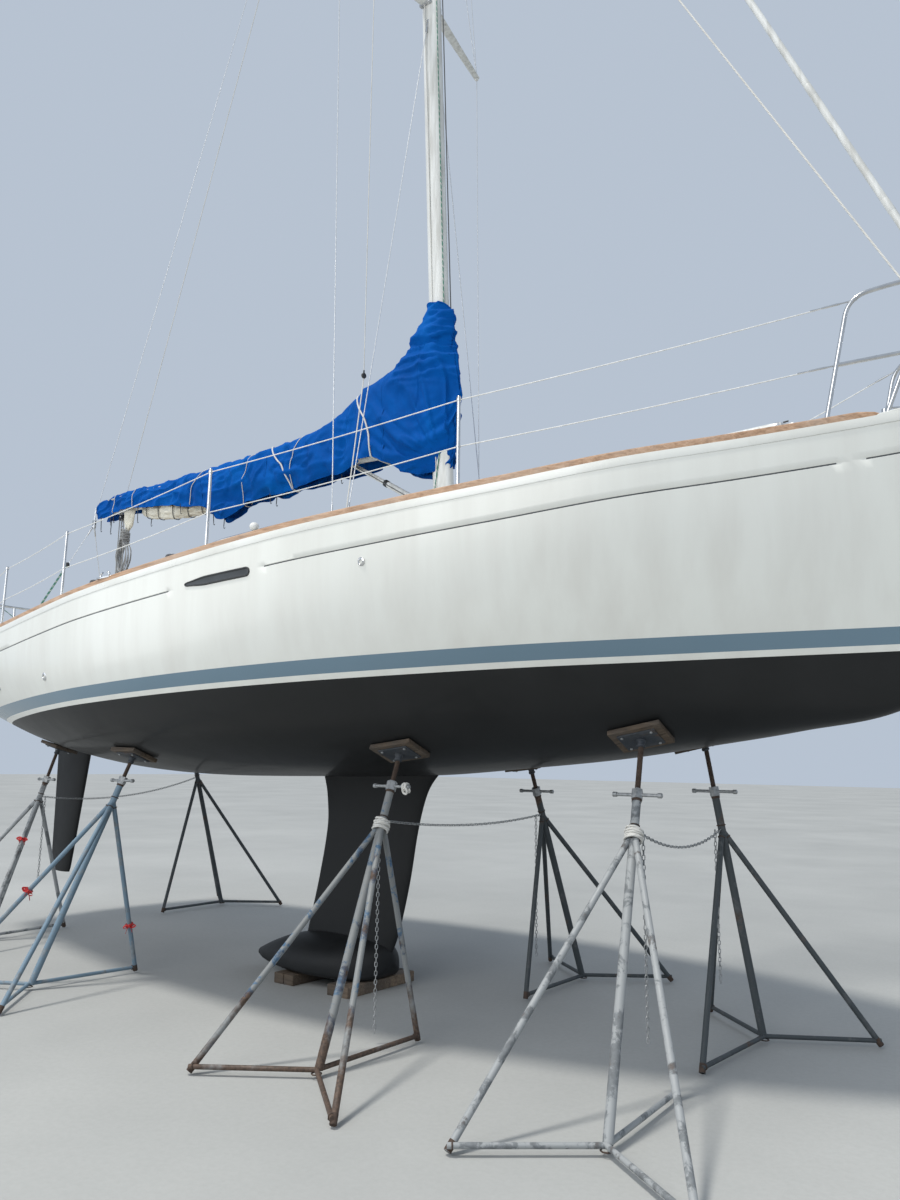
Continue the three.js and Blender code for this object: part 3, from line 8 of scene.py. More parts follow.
import bpy
import bmesh
from mathutils import Matrix, Vector, noise
from mathutils.bvhtree import BVHTree
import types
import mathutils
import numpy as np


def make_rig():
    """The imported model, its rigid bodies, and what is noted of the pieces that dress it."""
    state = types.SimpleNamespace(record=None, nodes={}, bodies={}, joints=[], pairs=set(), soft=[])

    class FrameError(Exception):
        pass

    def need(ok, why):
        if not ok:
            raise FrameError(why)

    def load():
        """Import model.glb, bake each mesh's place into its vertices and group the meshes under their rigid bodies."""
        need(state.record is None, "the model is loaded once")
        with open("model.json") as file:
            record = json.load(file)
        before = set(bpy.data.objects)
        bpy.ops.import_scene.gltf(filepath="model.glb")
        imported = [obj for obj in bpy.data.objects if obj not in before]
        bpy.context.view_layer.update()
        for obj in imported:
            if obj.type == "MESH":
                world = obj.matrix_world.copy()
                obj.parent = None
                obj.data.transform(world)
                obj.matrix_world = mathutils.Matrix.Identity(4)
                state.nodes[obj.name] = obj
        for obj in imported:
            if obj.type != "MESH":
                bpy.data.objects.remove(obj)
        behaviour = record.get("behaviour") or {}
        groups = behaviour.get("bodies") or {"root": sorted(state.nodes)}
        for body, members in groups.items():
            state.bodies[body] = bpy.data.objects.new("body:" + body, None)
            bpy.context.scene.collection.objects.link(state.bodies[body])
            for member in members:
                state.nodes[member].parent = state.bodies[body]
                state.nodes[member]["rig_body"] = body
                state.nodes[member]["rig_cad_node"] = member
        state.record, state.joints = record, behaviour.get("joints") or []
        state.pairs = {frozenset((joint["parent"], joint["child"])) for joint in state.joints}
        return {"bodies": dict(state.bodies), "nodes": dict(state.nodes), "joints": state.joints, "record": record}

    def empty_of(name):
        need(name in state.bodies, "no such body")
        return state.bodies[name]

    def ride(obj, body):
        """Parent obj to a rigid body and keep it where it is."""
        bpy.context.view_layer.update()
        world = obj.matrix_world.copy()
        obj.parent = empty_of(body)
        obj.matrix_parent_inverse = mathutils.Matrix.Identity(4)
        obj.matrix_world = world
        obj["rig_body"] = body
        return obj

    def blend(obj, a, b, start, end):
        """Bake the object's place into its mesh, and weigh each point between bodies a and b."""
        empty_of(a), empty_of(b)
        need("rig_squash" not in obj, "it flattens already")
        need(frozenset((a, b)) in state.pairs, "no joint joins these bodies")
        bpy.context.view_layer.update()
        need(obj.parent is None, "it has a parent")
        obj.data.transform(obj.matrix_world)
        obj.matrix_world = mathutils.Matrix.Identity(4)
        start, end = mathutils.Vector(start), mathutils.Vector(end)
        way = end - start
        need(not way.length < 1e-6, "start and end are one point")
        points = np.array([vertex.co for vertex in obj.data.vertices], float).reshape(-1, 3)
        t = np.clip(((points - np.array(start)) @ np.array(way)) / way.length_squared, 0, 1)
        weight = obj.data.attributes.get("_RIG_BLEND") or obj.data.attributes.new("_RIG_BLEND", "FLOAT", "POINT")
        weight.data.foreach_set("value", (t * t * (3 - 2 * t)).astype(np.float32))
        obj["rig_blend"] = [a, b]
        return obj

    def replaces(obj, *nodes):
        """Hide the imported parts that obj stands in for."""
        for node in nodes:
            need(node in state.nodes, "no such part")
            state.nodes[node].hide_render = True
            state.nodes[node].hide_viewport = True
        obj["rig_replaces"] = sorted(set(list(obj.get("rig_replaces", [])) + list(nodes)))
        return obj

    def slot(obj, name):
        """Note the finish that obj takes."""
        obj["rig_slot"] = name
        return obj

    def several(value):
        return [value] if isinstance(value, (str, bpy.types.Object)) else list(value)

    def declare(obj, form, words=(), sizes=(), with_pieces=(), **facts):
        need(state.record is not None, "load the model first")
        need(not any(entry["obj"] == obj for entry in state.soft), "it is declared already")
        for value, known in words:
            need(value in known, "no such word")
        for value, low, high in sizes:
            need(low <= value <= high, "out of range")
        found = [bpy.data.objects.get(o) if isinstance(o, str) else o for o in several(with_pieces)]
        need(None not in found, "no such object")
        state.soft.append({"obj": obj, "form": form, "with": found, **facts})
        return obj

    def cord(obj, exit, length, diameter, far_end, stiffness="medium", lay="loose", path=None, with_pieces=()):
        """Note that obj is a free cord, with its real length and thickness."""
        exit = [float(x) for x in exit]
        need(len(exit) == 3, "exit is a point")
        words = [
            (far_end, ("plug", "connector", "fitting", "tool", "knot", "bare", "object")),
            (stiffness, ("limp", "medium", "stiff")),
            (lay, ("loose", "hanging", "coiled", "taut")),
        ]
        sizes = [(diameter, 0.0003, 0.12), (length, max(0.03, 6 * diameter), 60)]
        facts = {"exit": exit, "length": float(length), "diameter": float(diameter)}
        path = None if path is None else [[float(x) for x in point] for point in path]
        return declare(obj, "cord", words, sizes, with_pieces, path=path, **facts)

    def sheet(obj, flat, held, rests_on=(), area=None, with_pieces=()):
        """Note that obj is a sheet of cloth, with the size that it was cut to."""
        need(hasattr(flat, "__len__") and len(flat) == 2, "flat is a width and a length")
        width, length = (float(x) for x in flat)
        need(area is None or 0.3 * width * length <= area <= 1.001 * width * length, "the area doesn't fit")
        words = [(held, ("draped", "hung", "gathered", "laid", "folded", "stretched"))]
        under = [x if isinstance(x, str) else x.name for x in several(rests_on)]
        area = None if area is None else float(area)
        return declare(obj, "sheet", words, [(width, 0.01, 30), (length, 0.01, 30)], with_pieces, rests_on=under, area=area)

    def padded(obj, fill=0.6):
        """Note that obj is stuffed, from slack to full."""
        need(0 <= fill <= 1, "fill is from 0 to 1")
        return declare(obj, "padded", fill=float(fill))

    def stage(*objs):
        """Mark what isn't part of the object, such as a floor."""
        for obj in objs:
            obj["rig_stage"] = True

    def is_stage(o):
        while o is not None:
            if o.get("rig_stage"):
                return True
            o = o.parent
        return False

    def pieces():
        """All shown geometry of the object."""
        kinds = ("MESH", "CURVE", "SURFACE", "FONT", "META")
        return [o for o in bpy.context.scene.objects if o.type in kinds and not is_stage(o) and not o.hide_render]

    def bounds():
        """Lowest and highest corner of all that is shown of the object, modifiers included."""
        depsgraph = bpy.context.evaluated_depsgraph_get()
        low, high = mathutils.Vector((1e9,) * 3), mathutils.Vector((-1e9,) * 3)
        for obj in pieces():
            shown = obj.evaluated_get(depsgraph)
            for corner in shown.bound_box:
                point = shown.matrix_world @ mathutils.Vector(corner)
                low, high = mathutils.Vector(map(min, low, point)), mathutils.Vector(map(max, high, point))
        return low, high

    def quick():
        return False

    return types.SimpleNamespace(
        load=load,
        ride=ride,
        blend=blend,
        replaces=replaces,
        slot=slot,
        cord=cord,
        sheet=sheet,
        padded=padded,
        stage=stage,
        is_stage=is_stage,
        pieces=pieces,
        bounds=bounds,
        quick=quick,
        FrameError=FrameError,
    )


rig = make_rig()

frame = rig.load()
cad_box = [list(corner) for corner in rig.bounds()]

# Camera, as the photograph was taken
CAMERA_PLACE = Vector((5.09, -5.44, 1.70))
CAMERA_HEADING = math.atan2(0.788, -0.616)
CAMERA_PITCH = math.radians(10.3)
CAMERA_ROLL = math.radians(0.8)
CAMERA_LENS = 27.03

SKY_STRENGTH = 0.68
SUN_STRENGTH = 2.3
KEY_POWER = 850
FILL_POWER = 230

# Driving dimensions of the boat
TOE_RAIL_HEIGHT = 0.045
COAMING_HEIGHT = 0.225
DECK_CAMBER = 0.070
MAST_FOOT = Vector((0.770, 0, 3.560))
MAST_RAKE = 0.049
MAST_LENGTH = 12.240
MAST_SECTION = (0.190, 0.122)
MAST_TAPER = 0.62
GOOSENECK_HEIGHT = 0.760
VANG_HEIGHT = 0.190
PIVOT_X = -0.123
BOOM_LENGTH = 4.760
BOOM_SECTION = (0.150, 0.096)
BOOM_RISE = 0.09
WIRE_R = 0.004
RAIL_R = 0.0125
TRANSOM_START = -4.300
TRANSOM_LEAN = 0.2
WATERLINE = 2.178  # of the paint, over the ground, at x = 0
WATERLINE_SLOPE = 0.035
WHITE_LINE = 0.035
BOOT_BAND = 0.125
COVE_DROP = 0.220
SIDES = (("port", 1), ("starboard", -1))

# x, half-breadth at the sheer, sheer height, bottom height, fullness of the section
HULL_SECTIONS = [
    (4.870, 0.024, 3.690, 3.560, 1.25),
    (4.680, 0.140, 3.655, 3.080, 1.25),
    (4.450, 0.270, 3.620, 2.330, 1.30),
    (4.010, 0.505, 3.545, 2.030, 1.45),
    (3.450, 0.805, 3.460, 1.915, 1.85),
    (2.860, 1.105, 3.385, 1.825, 2.00),
    (2.260, 1.335, 3.305, 1.742, 2.40),
    (1.540, 1.535, 3.235, 1.675, 2.75),
    (0.700, 1.692, 3.165, 1.610, 3.20),
    (-0.380, 1.768, 3.075, 1.585, 3.90),
    (-1.500, 1.745, 2.995, 1.572, 3.90),
    (-2.260, 1.668, 2.935, 1.596, 3.50),
    (-3.000, 1.570, 2.878, 1.662, 2.90),
    (-3.790, 1.460, 2.820, 1.778, 2.35),
    (-4.500, 1.330, 2.775, 1.935, 2.00),
    (-5.060, 1.195, 2.745, 2.090, 1.80),
]
# x, half-width at the deck, height of the side over the sheer
ROOF_SECTIONS = [
    (-1.000, 0.870, 0.300),
    (-0.300, 0.868, 0.300),
    (0.500, 0.800, 0.285),
    (1.100, 0.690, 0.255),
    (1.700, 0.520, 0.190),
    (2.280, 0.300, 0.090),
    (2.560, 0.150, 0.030),
]
ROOF_CROWN = 0.095
ROOF_TUMBLE = 0.86

SEAT = dict(x0=-3.450, x1=-1.060, half=0.950, z=2.660)
WELL = dict(x0=-3.350, x1=-1.060, half=0.330, z=2.300)
COMPANION = dict(x0=-1.000, x1=-0.340, half=0.300, z=2.480, sill=2.790)
LOCKER = dict(x0=-2.400, x1=-1.500, y0=0.430, y1=0.860, deep=0.330)
ANCHOR_WELL = dict(x0=3.420, x1=3.980, half0=0.250, half1=0.130, deep=0.280)
WINCH_PLACES = (-1.320, -2.470)


def column(table, k, x):
    """Column k of a table at x, on a smooth curve through its rows."""
    up = 1 if table[0][0] < table[1][0] else -1
    i = 0
    while i < len(table) - 2 and (table[i + 1][0] - x) * up < 0:
        i += 1

    def slope(j):
        a, b = table[max(j - 1, 0)], table[min(j + 1, len(table) - 1)]
        return (b[k] - a[k]) / (b[0] - a[0])

    p, q = table[i], table[i + 1]
    run = q[0] - p[0]
    t = min(max((x - p[0]) / run, 0), 1)
    rise, m0, m1 = q[k] - p[k], slope(i) * run, slope(i + 1) * run
    return p[k] + t * m0 + t * t * (3 * rise - 2 * m0 - m1) + t ** 3 * (m0 + m1 - 2 * rise)


def half_breadth(x):
    return column(HULL_SECTIONS, 1, x)


def sheer_z(x):
    return column(HULL_SECTIONS, 2, x)


def bottom_z(x):
    return column(HULL_SECTIONS, 3, x)


def hull_y(x, z):
    """Half-width of the hull at x and height z."""
    drop = min(max((sheer_z(x) - z) / (sheer_z(x) - bottom_z(x)), 0), 1)
    return half_breadth(x) * (1 - drop ** column(HULL_SECTIONS, 4, x)) ** 0.5


def hull_z(x, y):
    """Height of the hull's underside at x, y."""
    part = min(abs(y) / half_breadth(x), 1)
    depth = sheer_z(x) - bottom_z(x)
    return sheer_z(x) - depth * (1 - part ** 2) ** (1 / column(HULL_SECTIONS, 4, x))


def lean(x, z):
    part = max(0, (TRANSOM_START - x) / (TRANSOM_START - HULL_SECTIONS[-1][0]))
    return part * part * TRANSOM_LEAN * (z - bottom_z(x))


def deck_z(x, y):
    half = half_breadth(x)
    part = min(abs(y) / max(half, 0.001), 1)
    return sheer_z(x) + 0.004 + DECK_CAMBER * (half / 1.768) * (1 - part * part)


def roof_z(x, y):
    side = column(ROOF_SECTIONS, 2, x)
    part = abs(y) / (column(ROOF_SECTIONS, 1, x) * ROOF_TUMBLE)
    return sheer_z(x) + side + ROOF_CROWN * side / 0.3 * (1 - min(part, 1) ** 2)


def from_mast(x, y, h):
    """A point of the mast's frame, h up the mast, in the boat's frame."""
    s, c = math.sin(MAST_RAKE), math.cos(MAST_RAKE)
    return MAST_FOOT + Vector((x * c - h * s, y, x * s + h * c))


def from_boom(reach, across, up):
    """A point beside the boom's axis, in the boat's frame."""
    c, s = math.cos(BOOM_RISE), math.sin(BOOM_RISE)
    return from_mast(PIVOT_X - reach * c, across, GOOSENECK_HEIGHT + reach * s + up)


def mast_matrix():
    return Matrix.Translation(MAST_FOOT) @ Matrix.Rotation(-MAST_RAKE, 4, "Y")


def mix(a, b, t):
    return a + (b - a) * t


def smooth(t):
    t = min(max(t, 0), 1)
    return t * t * (3 - 2 * t)


# Shapes

def steps(a, b, n):
    return [a + (b - a) * i / n for i in range(n + 1)]


def around(n):
    """The angles of n points round a circle."""
    return [2 * math.pi * k / n for k in range(n)]


def crosswise(run):
    """Two directions square to a run and to each other."""
    side = run.orthogonal().normalized()
    return side, run.cross(side)


def upward(height):
    return Vector((0, 0, height))


def both_sides(half):
    """A line given on one side, carried over to the other."""
    return half + [Vector((p.x, -p.y, p.z)) for p in half[::-1]]


def curve(points, per=8, closed=False):
    """A smooth line through points, per pieces to each span."""
    pts = [Vector(p) for p in points]
    n = len(pts)
    spans = n if closed else n - 1
    line = []
    for i in range(spans):
        a, b, c, d = (
            pts[(i + k) % n] if closed else pts[min(max(i + k, 0), n - 1)] for k in (-1, 0, 1, 2)
        )
        for j in range(per):
            t = j / per
            line.append(0.5 * (
                2 * b + (c - a) * t + (2 * a - 5 * b + 4 * c - d) * t * t
                + (3 * b - a - 3 * c + d) * t ** 3
            ))
    return line if closed else line + [pts[-1]]


def rounded(points, radius, per=6):
    """A line of straight runs with its corners rounded."""
    pts = [Vector(p) for p in points]
    line = [pts[0]]
    for a, b, c in zip(pts, pts[1:], pts[2:]):
        u, v = (a - b), (c - b)
        cut = min(radius, u.length * 0.45, v.length * 0.45)
        start, end = b + u.normalized() * cut, b + v.normalized() * cut
        for t in steps(0, 1, per):
            line.append(start * (1 - t) ** 2 + b * 2 * t * (1 - t) + end * t * t)
    return line + [pts[-1]]


def reface(mesh, merge=0.0, outward=True):
    """Joins points that lie closer than merge and turns the faces outward."""
    bm = bmesh.new()
    bm.from_mesh(mesh)
    if merge:
        bmesh.ops.remove_doubles(bm, verts=bm.verts, dist=merge)
    if outward:
        bmesh.ops.recalc_face_normals(bm, faces=bm.faces)
    bm.to_mesh(mesh)
    bm.free()


class Shape:
    """Gathers the faces of one piece, which may have several materials."""

    def __init__(self):
        self.verts, self.faces, self.slots, self.uvs = [], [], [], []

    def add(self, verts, faces, slot=0, uvs=None):
        start = len(self.verts)
        self.verts += [tuple(v) for v in verts]
        self.faces += [tuple(start + i for i in f) for f in faces]
        self.slots += [slot] * len(faces) if isinstance(slot, int) else slot
        self.uvs += uvs or [[(0, 0)] * len(f) for f in faces]

    def tube(self, path, radius, sides=10, slot=0, closed=False, flat=1):
        """A round or oval rod along a path; radius may be a number or one for each point."""
        pts = [Vector(p) for p in path]
        n = len(pts)
        radii = radius if isinstance(radius, (list, tuple)) else [radius] * n
        side = None
        verts, lengths, length = [], [], 0
        for i, p in enumerate(pts):
            before = pts[i - 1] if i or closed else p
            after = pts[(i + 1) % n] if i + 1 < n or closed else p
            run = (after - before).normalized()
            if side is None:
                side = run.orthogonal()
            side = (side - run * side.dot(run)).normalized()
            other = run.cross(side)
            length += (p - before).length if i else 0
            lengths.append(length)
            for a in around(sides):
                verts.append(p + radii[i] * (side * math.cos(a) + other * (math.sin(a) * flat)))
        faces, uvs = [], []
        for i in range(n if closed else n - 1):
            j = (i + 1) % n
            for k in range(sides):
                m = (k + 1) % sides
                faces.append((i * sides + k, i * sides + m, j * sides + m, j * sides + k))
                u0, u1, v0, v1 = k / sides, (k + 1) / sides, lengths[i], lengths[j]
                uvs.append([(u0, v0), (u1, v0), (u1, v1), (u0, v1)])
        if not closed:
            faces += [tuple(range(sides))[::-1], tuple((n - 1) * sides + k for k in range(sides))]
            uvs += [[(0, 0)] * sides] * 2
        self.add(verts, faces, slot, uvs)

    def lathe(self, profile, base, axis=(0, 0, 1), sides=20, slot=0):
        """Turns a profile of (radius, height) about an axis that leaves base."""
        turn = upward(1).rotation_difference(Vector(axis))
        verts = []
        for r, h in profile:
            for a in around(sides):
                spot = Vector((r * math.cos(a), r * math.sin(a), h))
                verts.append(Vector(base) + turn @ spot)
        rows = len(profile)
        faces = [
            (i * sides + k, i * sides + (k + 1) % sides, (i + 1) * sides + (k + 1) % sides,
             (i + 1) * sides + k)
            for i in range(rows - 1) for k in range(sides)
        ]
        faces += [tuple(range(sides))[::-1], tuple((rows - 1) * sides + k for k in range(sides))]
        self.add(verts, faces, slot)

    def box(self, low, high, bevel=0.003, slot=0, place=None, rounds=2):
        """A block between opposite corners with rounded edges, moved by a matrix where given."""
        bm = bmesh.new()
        size = [abs(b - a) for a, b in zip(low, high)]
        middle = [(a + b) / 2 for a, b in zip(low, high)]
        bmesh.ops.create_cube(bm, size=1, matrix=Matrix.LocRotScale(middle, None, size))
        width = min(bevel, min(size) * 0.45)
        bmesh.ops.bevel(bm, geom=bm.edges[:], offset=width, segments=rounds, affect="EDGES",
                        profile=0.6)
        bm.verts.index_update()
        verts = [place @ v.co if place else v.co.copy() for v in bm.verts]
        self.add(verts, [[v.index for v in f.verts] for f in bm.faces], slot)
        bm.free()

    def loft(self, rings, slot=0, closed=True, caps=True):
        """A skin through rings, or through open rows where closed is false."""
        n = len(rings[0])
        verts = [p for ring in rings for p in ring]
        faces = []
        for i in range(len(rings) - 1):
            for k in range(n if closed else n - 1):
                m = (k + 1) % n
                faces.append((i * n + k, i * n + m, (i + 1) * n + m, (i + 1) * n + k))
        if closed and caps:
            last = (len(rings) - 1) * n
            faces += [tuple(range(n))[::-1], tuple(last + k for k in range(n))]
        self.add(verts, faces, slot)

    def build(self, name, body, materials, replaces=(), slot=None, angle=38, outward=True):
        mesh = bpy.data.meshes.new(name)
        mesh.from_pydata(self.verts, [], self.faces)
        layer = mesh.uv_layers.new(name="run")
        for face, uvs in zip(mesh.polygons, self.uvs):
            for corner, uv in zip(face.loop_indices, uvs):
                layer.data[corner].uv = uv
        for material in materials:
            mesh.materials.append(material)
        mesh.polygons.foreach_set("material_index", self.slots)
        if outward:
            reface(mesh)
        shade(mesh, angle)
        piece = bpy.data.objects.new(name, mesh)
        bpy.context.scene.collection.objects.link(piece)
        if body:
            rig.ride(piece, body)
        if replaces:
            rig.replaces(piece, *replaces)
        if slot:
            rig.slot(piece, slot)
        return piece


def shade(mesh, angle=38):
    """Smooth faces, with an edge wherever they turn by more than an angle in degrees."""
    mesh.shade_smooth()
    mesh.set_sharp_from_angle(angle=math.radians(angle))


def cut(piece, cutters, bevel):
    """Cuts closed shapes out of a piece and rounds what is left."""
    for k, shape in enumerate(cutters):
        tool = shape.build(f"cutter_{k}", None, [])
        modifier = piece.modifiers.new("cut", "BOOLEAN")
        modifier.object, modifier.operation, modifier.solver = tool, "DIFFERENCE", "EXACT"
        apply(piece)
        bpy.data.objects.remove(tool)
    modifier = piece.modifiers.new("bevel", "BEVEL")
    modifier.width, modifier.segments, modifier.limit_method = bevel, 3, "ANGLE"
    modifier.angle_limit = math.radians(40)
    apply(piece)
    shade(piece.data)


def apply(piece):
    """Puts a piece's modifiers into its mesh."""
    graph = bpy.context.evaluated_depsgraph_get()
    graph.update()
    mesh = bpy.data.meshes.new_from_object(piece.evaluated_get(graph))
    piece.modifiers.clear()
    piece.data = mesh


# Materials

class Net:
    """A short way to write a material's nodes."""

    def __init__(self, name, rough=0.5, metal=0.0, **uniform):
        self.material = bpy.data.materials.new(name)
        self.material.use_nodes = True
        self.tree = self.material.node_tree
        self.shader = self.tree.nodes["Principled BSDF"]
        self.shader.inputs["Roughness"].default_value = rough
        self.shader.inputs["Metallic"].default_value = metal
        for key, value in uniform.items():
            self.shader.inputs[key.replace("_", " ")].default_value = value

    def node(self, kind, settings=None, **inputs):
        made = self.tree.nodes.new("ShaderNode" + kind)
        for key, value in (settings or {}).items():
            setattr(made, key, value)
        for key, value in inputs.items():
            self.put(made.inputs[int(key[1:]) if key[0] == "_" else key], value)
        return made

    def put(self, socket, value):
        if isinstance(value, bpy.types.NodeSocket):
            self.tree.links.new(value, socket)
        else:
            socket.default_value = value

    def coords(self, scale=(1, 1, 1), turn=(0, 0, 0)):
        mapping = self.node("Mapping", Vector=self.node("TexCoord").outputs["Object"])
        mapping.inputs["Scale"].default_value = scale
        mapping.inputs["Rotation"].default_value = turn
        return mapping.outputs[0]

    def noise(self, scale, detail=4, rough=0.55, where=None, distortion=0):
        made = self.node("TexNoise", Scale=scale, Detail=detail, Roughness=rough,
                         Distortion=distortion)
        self.put(made.inputs["Vector"], where or self.coords())
        return made.outputs["Fac"]

    def wave(self, scale, where=None, direction="X"):
        made = self.node("TexWave", {"bands_direction": direction}, Scale=scale)
        self.put(made.inputs["Vector"], where or self.coords())
        return made.outputs["Fac"]

    def cells(self, scale):
        made = self.node("TexVoronoi", Scale=scale)
        self.put(made.inputs["Vector"], self.coords())
        return made.outputs["Distance"]

    def math(self, operation, a, b=0.0):
        return self.node("Math", {"operation": operation}, _0=a, _1=b).outputs[0]

    def ramp(self, fac, stops):
        made = self.node("ValToRGB")
        while len(made.color_ramp.elements) < len(stops):
            made.color_ramp.elements.new(0.5)
        for element, (place, color) in zip(made.color_ramp.elements, stops):
            element.position = place
            element.color = (*color, 1)
        self.put(made.inputs[0], fac)
        return made.outputs[0]

    def gray(self, fac, stops):
        return self.ramp(fac, [(p, (v, v, v)) for p, v in stops])

    def mix(self, fac, a, b):
        made = self.node("Mix", {"data_type": "RGBA"})
        self.put(made.inputs[0], fac)
        self.put(made.inputs[6], (*a, 1) if isinstance(a, tuple) else a)
        self.put(made.inputs[7], (*b, 1) if isinstance(b, tuple) else b)
        return made.outputs[2]

    def color(self, value):
        self.put(self.shader.inputs["Base Color"], value)
        return self

    def rough(self, value):
        self.put(self.shader.inputs["Roughness"], value)
        return self

    def bump(self, *layers):
        """Layers of (height, strength, distance), the coarsest first."""
        normal = None
        for height, strength, distance in layers:
            made = self.node("Bump", Strength=strength, Distance=distance, Height=height)
            if normal:
                self.put(made.inputs["Normal"], normal)
            normal = made.outputs[0]
        self.put(self.shader.inputs["Normal"], normal)
        return self


def height_over_waterline(net):
    split = net.node("SeparateXYZ", _0=net.node("TexCoord").outputs["Object"])
    slope = net.math("MULTIPLY", split.outputs[0], WATERLINE_SLOPE)
    level = net.math("SUBTRACT", split.outputs[2], slope)
    return net.math("SUBTRACT", level, WATERLINE)


def hull_paint():
    net = Net("hull_paint", Coat_Weight=0.12, Coat_Roughness=0.12, Specular_IOR_Level=0.3)
    level = height_over_waterline(net)
    streaks = net.noise(2.4, 5, where=net.coords(scale=(2.5, 2.5, 0.22)))
    broad = net.noise(0.5, 3)
    white = net.ramp(streaks, [(0.30, (0.72, 0.72, 0.67)), (0.62, (0.78, 0.79, 0.74))])
    white = net.mix(net.gray(broad, [(0.35, 0.0), (0.7, 0.5)]), white, (0.80, 0.81, 0.77))
    patches = net.noise(1.6, 7, 0.62)
    black = net.ramp(patches, [(0.3, (0.005, 0.006, 0.0065)), (0.72, (0.014, 0.015, 0.016))])
    rolled = net.noise(150, 3)
    over_black = net.math("GREATER_THAN", level, 0.0)
    over_white = net.math("GREATER_THAN", level, WHITE_LINE)
    over_band = net.math("GREATER_THAN", level, BOOT_BAND)
    band = net.ramp(broad, [(0.3, (0.145, 0.225, 0.285)), (0.7, (0.175, 0.260, 0.325))])
    paint = net.mix(over_black, black, white)
    paint = net.mix(over_white, paint, band)
    paint = net.mix(over_band, paint, white)
    gloss = net.gray(streaks, [(0.3, 0.26), (0.7, 0.17)])
    matt = net.gray(patches, [(0.3, 0.50), (0.7, 0.66)])
    height = net.math("MULTIPLY", rolled, net.math("SUBTRACT", 1.0, over_black))
    net.color(paint).rough(net.mix(over_black, matt, gloss))
    return net.bump((net.noise(0.9, 2), 0.15, 0.004), (height, 0.3, 0.0006)).material


def gelcoat():
    net = Net("gelcoat", Coat_Weight=0.2, Coat_Roughness=0.1)
    dirt = net.noise(1.7, 6, 0.6)
    net.color(net.ramp(dirt, [(0.3, (0.66, 0.66, 0.61)), (0.55, (0.76, 0.77, 0.73))]))
    net.rough(net.gray(dirt, [(0.3, 0.36), (0.6, 0.2)]))
    return net.bump((net.noise(3.0, 2), 0.12, 0.002), (net.noise(420, 2), 0.1, 0.0002)).material


def cove_line():
    net = Net("cove_line", rough=0.4)
    wear = net.noise(40, 4)
    net.color(net.ramp(wear, [(0.3, (0.055, 0.06, 0.065)), (0.75, (0.12, 0.125, 0.13))]))
    return net.bump((wear, 0.2, 0.0004)).material


def nonskid():
    net = Net("nonskid_deck", rough=0.6)
    dirt = net.noise(2.2, 7, 0.62)
    net.color(net.ramp(dirt, [(0.3, (0.48, 0.48, 0.45)), (0.62, (0.66, 0.66, 0.62))]))
    pips = net.cells(190)
    return net.bump((net.noise(4, 2), 0.15, 0.003), (pips, 0.8, 0.0012)).material


def teak(name="teak", along="X", tone=1.0):
    net = Net(name)
    scale = {"X": (1.5, 26, 26), "Y": (26, 1.5, 26), "Z": (26, 26, 1.5)}[along]
    grain = net.noise(2.2, 8, 0.65, where=net.coords(scale=scale), distortion=0.6)
    fine = net.noise(9.0, 4, 0.5, where=net.coords(scale=scale))
    stain = net.noise(3.1, 5)
    wood = net.ramp(grain, [
        (0.28, (0.20 * tone, 0.115 * tone, 0.065 * tone)),
        (0.48, (0.40 * tone, 0.245 * tone, 0.15 * tone)),
        (0.70, (0.56 * tone, 0.38 * tone, 0.26 * tone)),
    ])
    weathered = net.gray(stain, [(0.45, 0.0), (0.75, 0.55)])
    net.color(net.mix(weathered, wood, (0.44 * tone, 0.37 * tone, 0.31 * tone)))
    net.rough(net.gray(fine, [(0.3, 0.62), (0.7, 0.82)]))
    return net.bump((grain, 0.35, 0.0012), (fine, 0.4, 0.0006)).material


def coated_spar():
    net = Net("coated_spar", Coat_Weight=0.15, Coat_Roughness=0.2)
    streaks = net.noise(5, 6, where=net.coords(scale=(6, 6, 0.5)))
    chalk = net.noise(1.4, 5)
    paint = net.ramp(streaks, [(0.28, (0.50, 0.50, 0.47)), (0.6, (0.74, 0.75, 0.73))])
    net.color(net.mix(net.gray(chalk, [(0.5, 0.0), (0.8, 0.35)]), paint, (0.62, 0.62, 0.58)))
    net.rough(net.gray(streaks, [(0.3, 0.5), (0.7, 0.3)]))
    return net.bump((net.noise(160, 3), 0.15, 0.0003)).material


def alloy():
    net = Net("anodised_alloy", metal=0.85)
    brushed = net.noise(14, 5, where=net.coords(scale=(1, 9, 9)))
    net.color(net.ramp(brushed, [(0.3, (0.42, 0.43, 0.44)), (0.7, (0.60, 0.61, 0.62))]))
    net.rough(net.gray(brushed, [(0.3, 0.42), (0.7, 0.3)]))
    return net.bump((brushed, 0.1, 0.0002)).material


def stainless():
    net = Net("stainless", metal=1.0)
    smears = net.noise(9, 6, 0.6)
    tea = net.noise(26, 5, 0.7)
    metal = net.ramp(smears, [(0.3, (0.50, 0.51, 0.52)), (0.7, (0.70, 0.70, 0.70))])
    net.color(net.mix(net.gray(tea, [(0.62, 0.0), (0.78, 0.45)]), metal, (0.42, 0.31, 0.21)))
    net.rough(net.gray(smears, [(0.3, 0.26), (0.7, 0.14)]))
    return net.bump((net.noise(300, 2), 0.06, 0.0002)).material


def strands(net, turns, pitch):
    """The ridges of laid strands, from the run of the piece's own length."""
    split = net.node("SeparateXYZ", _0=net.node("TexCoord").outputs["UV"])
    around = net.math("MULTIPLY", split.outputs[0], turns)
    along = net.math("DIVIDE", split.outputs[1], pitch)
    phase = net.math("MULTIPLY", net.math("ADD", around, along), 2 * math.pi)
    return net.math("ABSOLUTE", net.math("SINE", net.math("DIVIDE", phase, 2.0)))


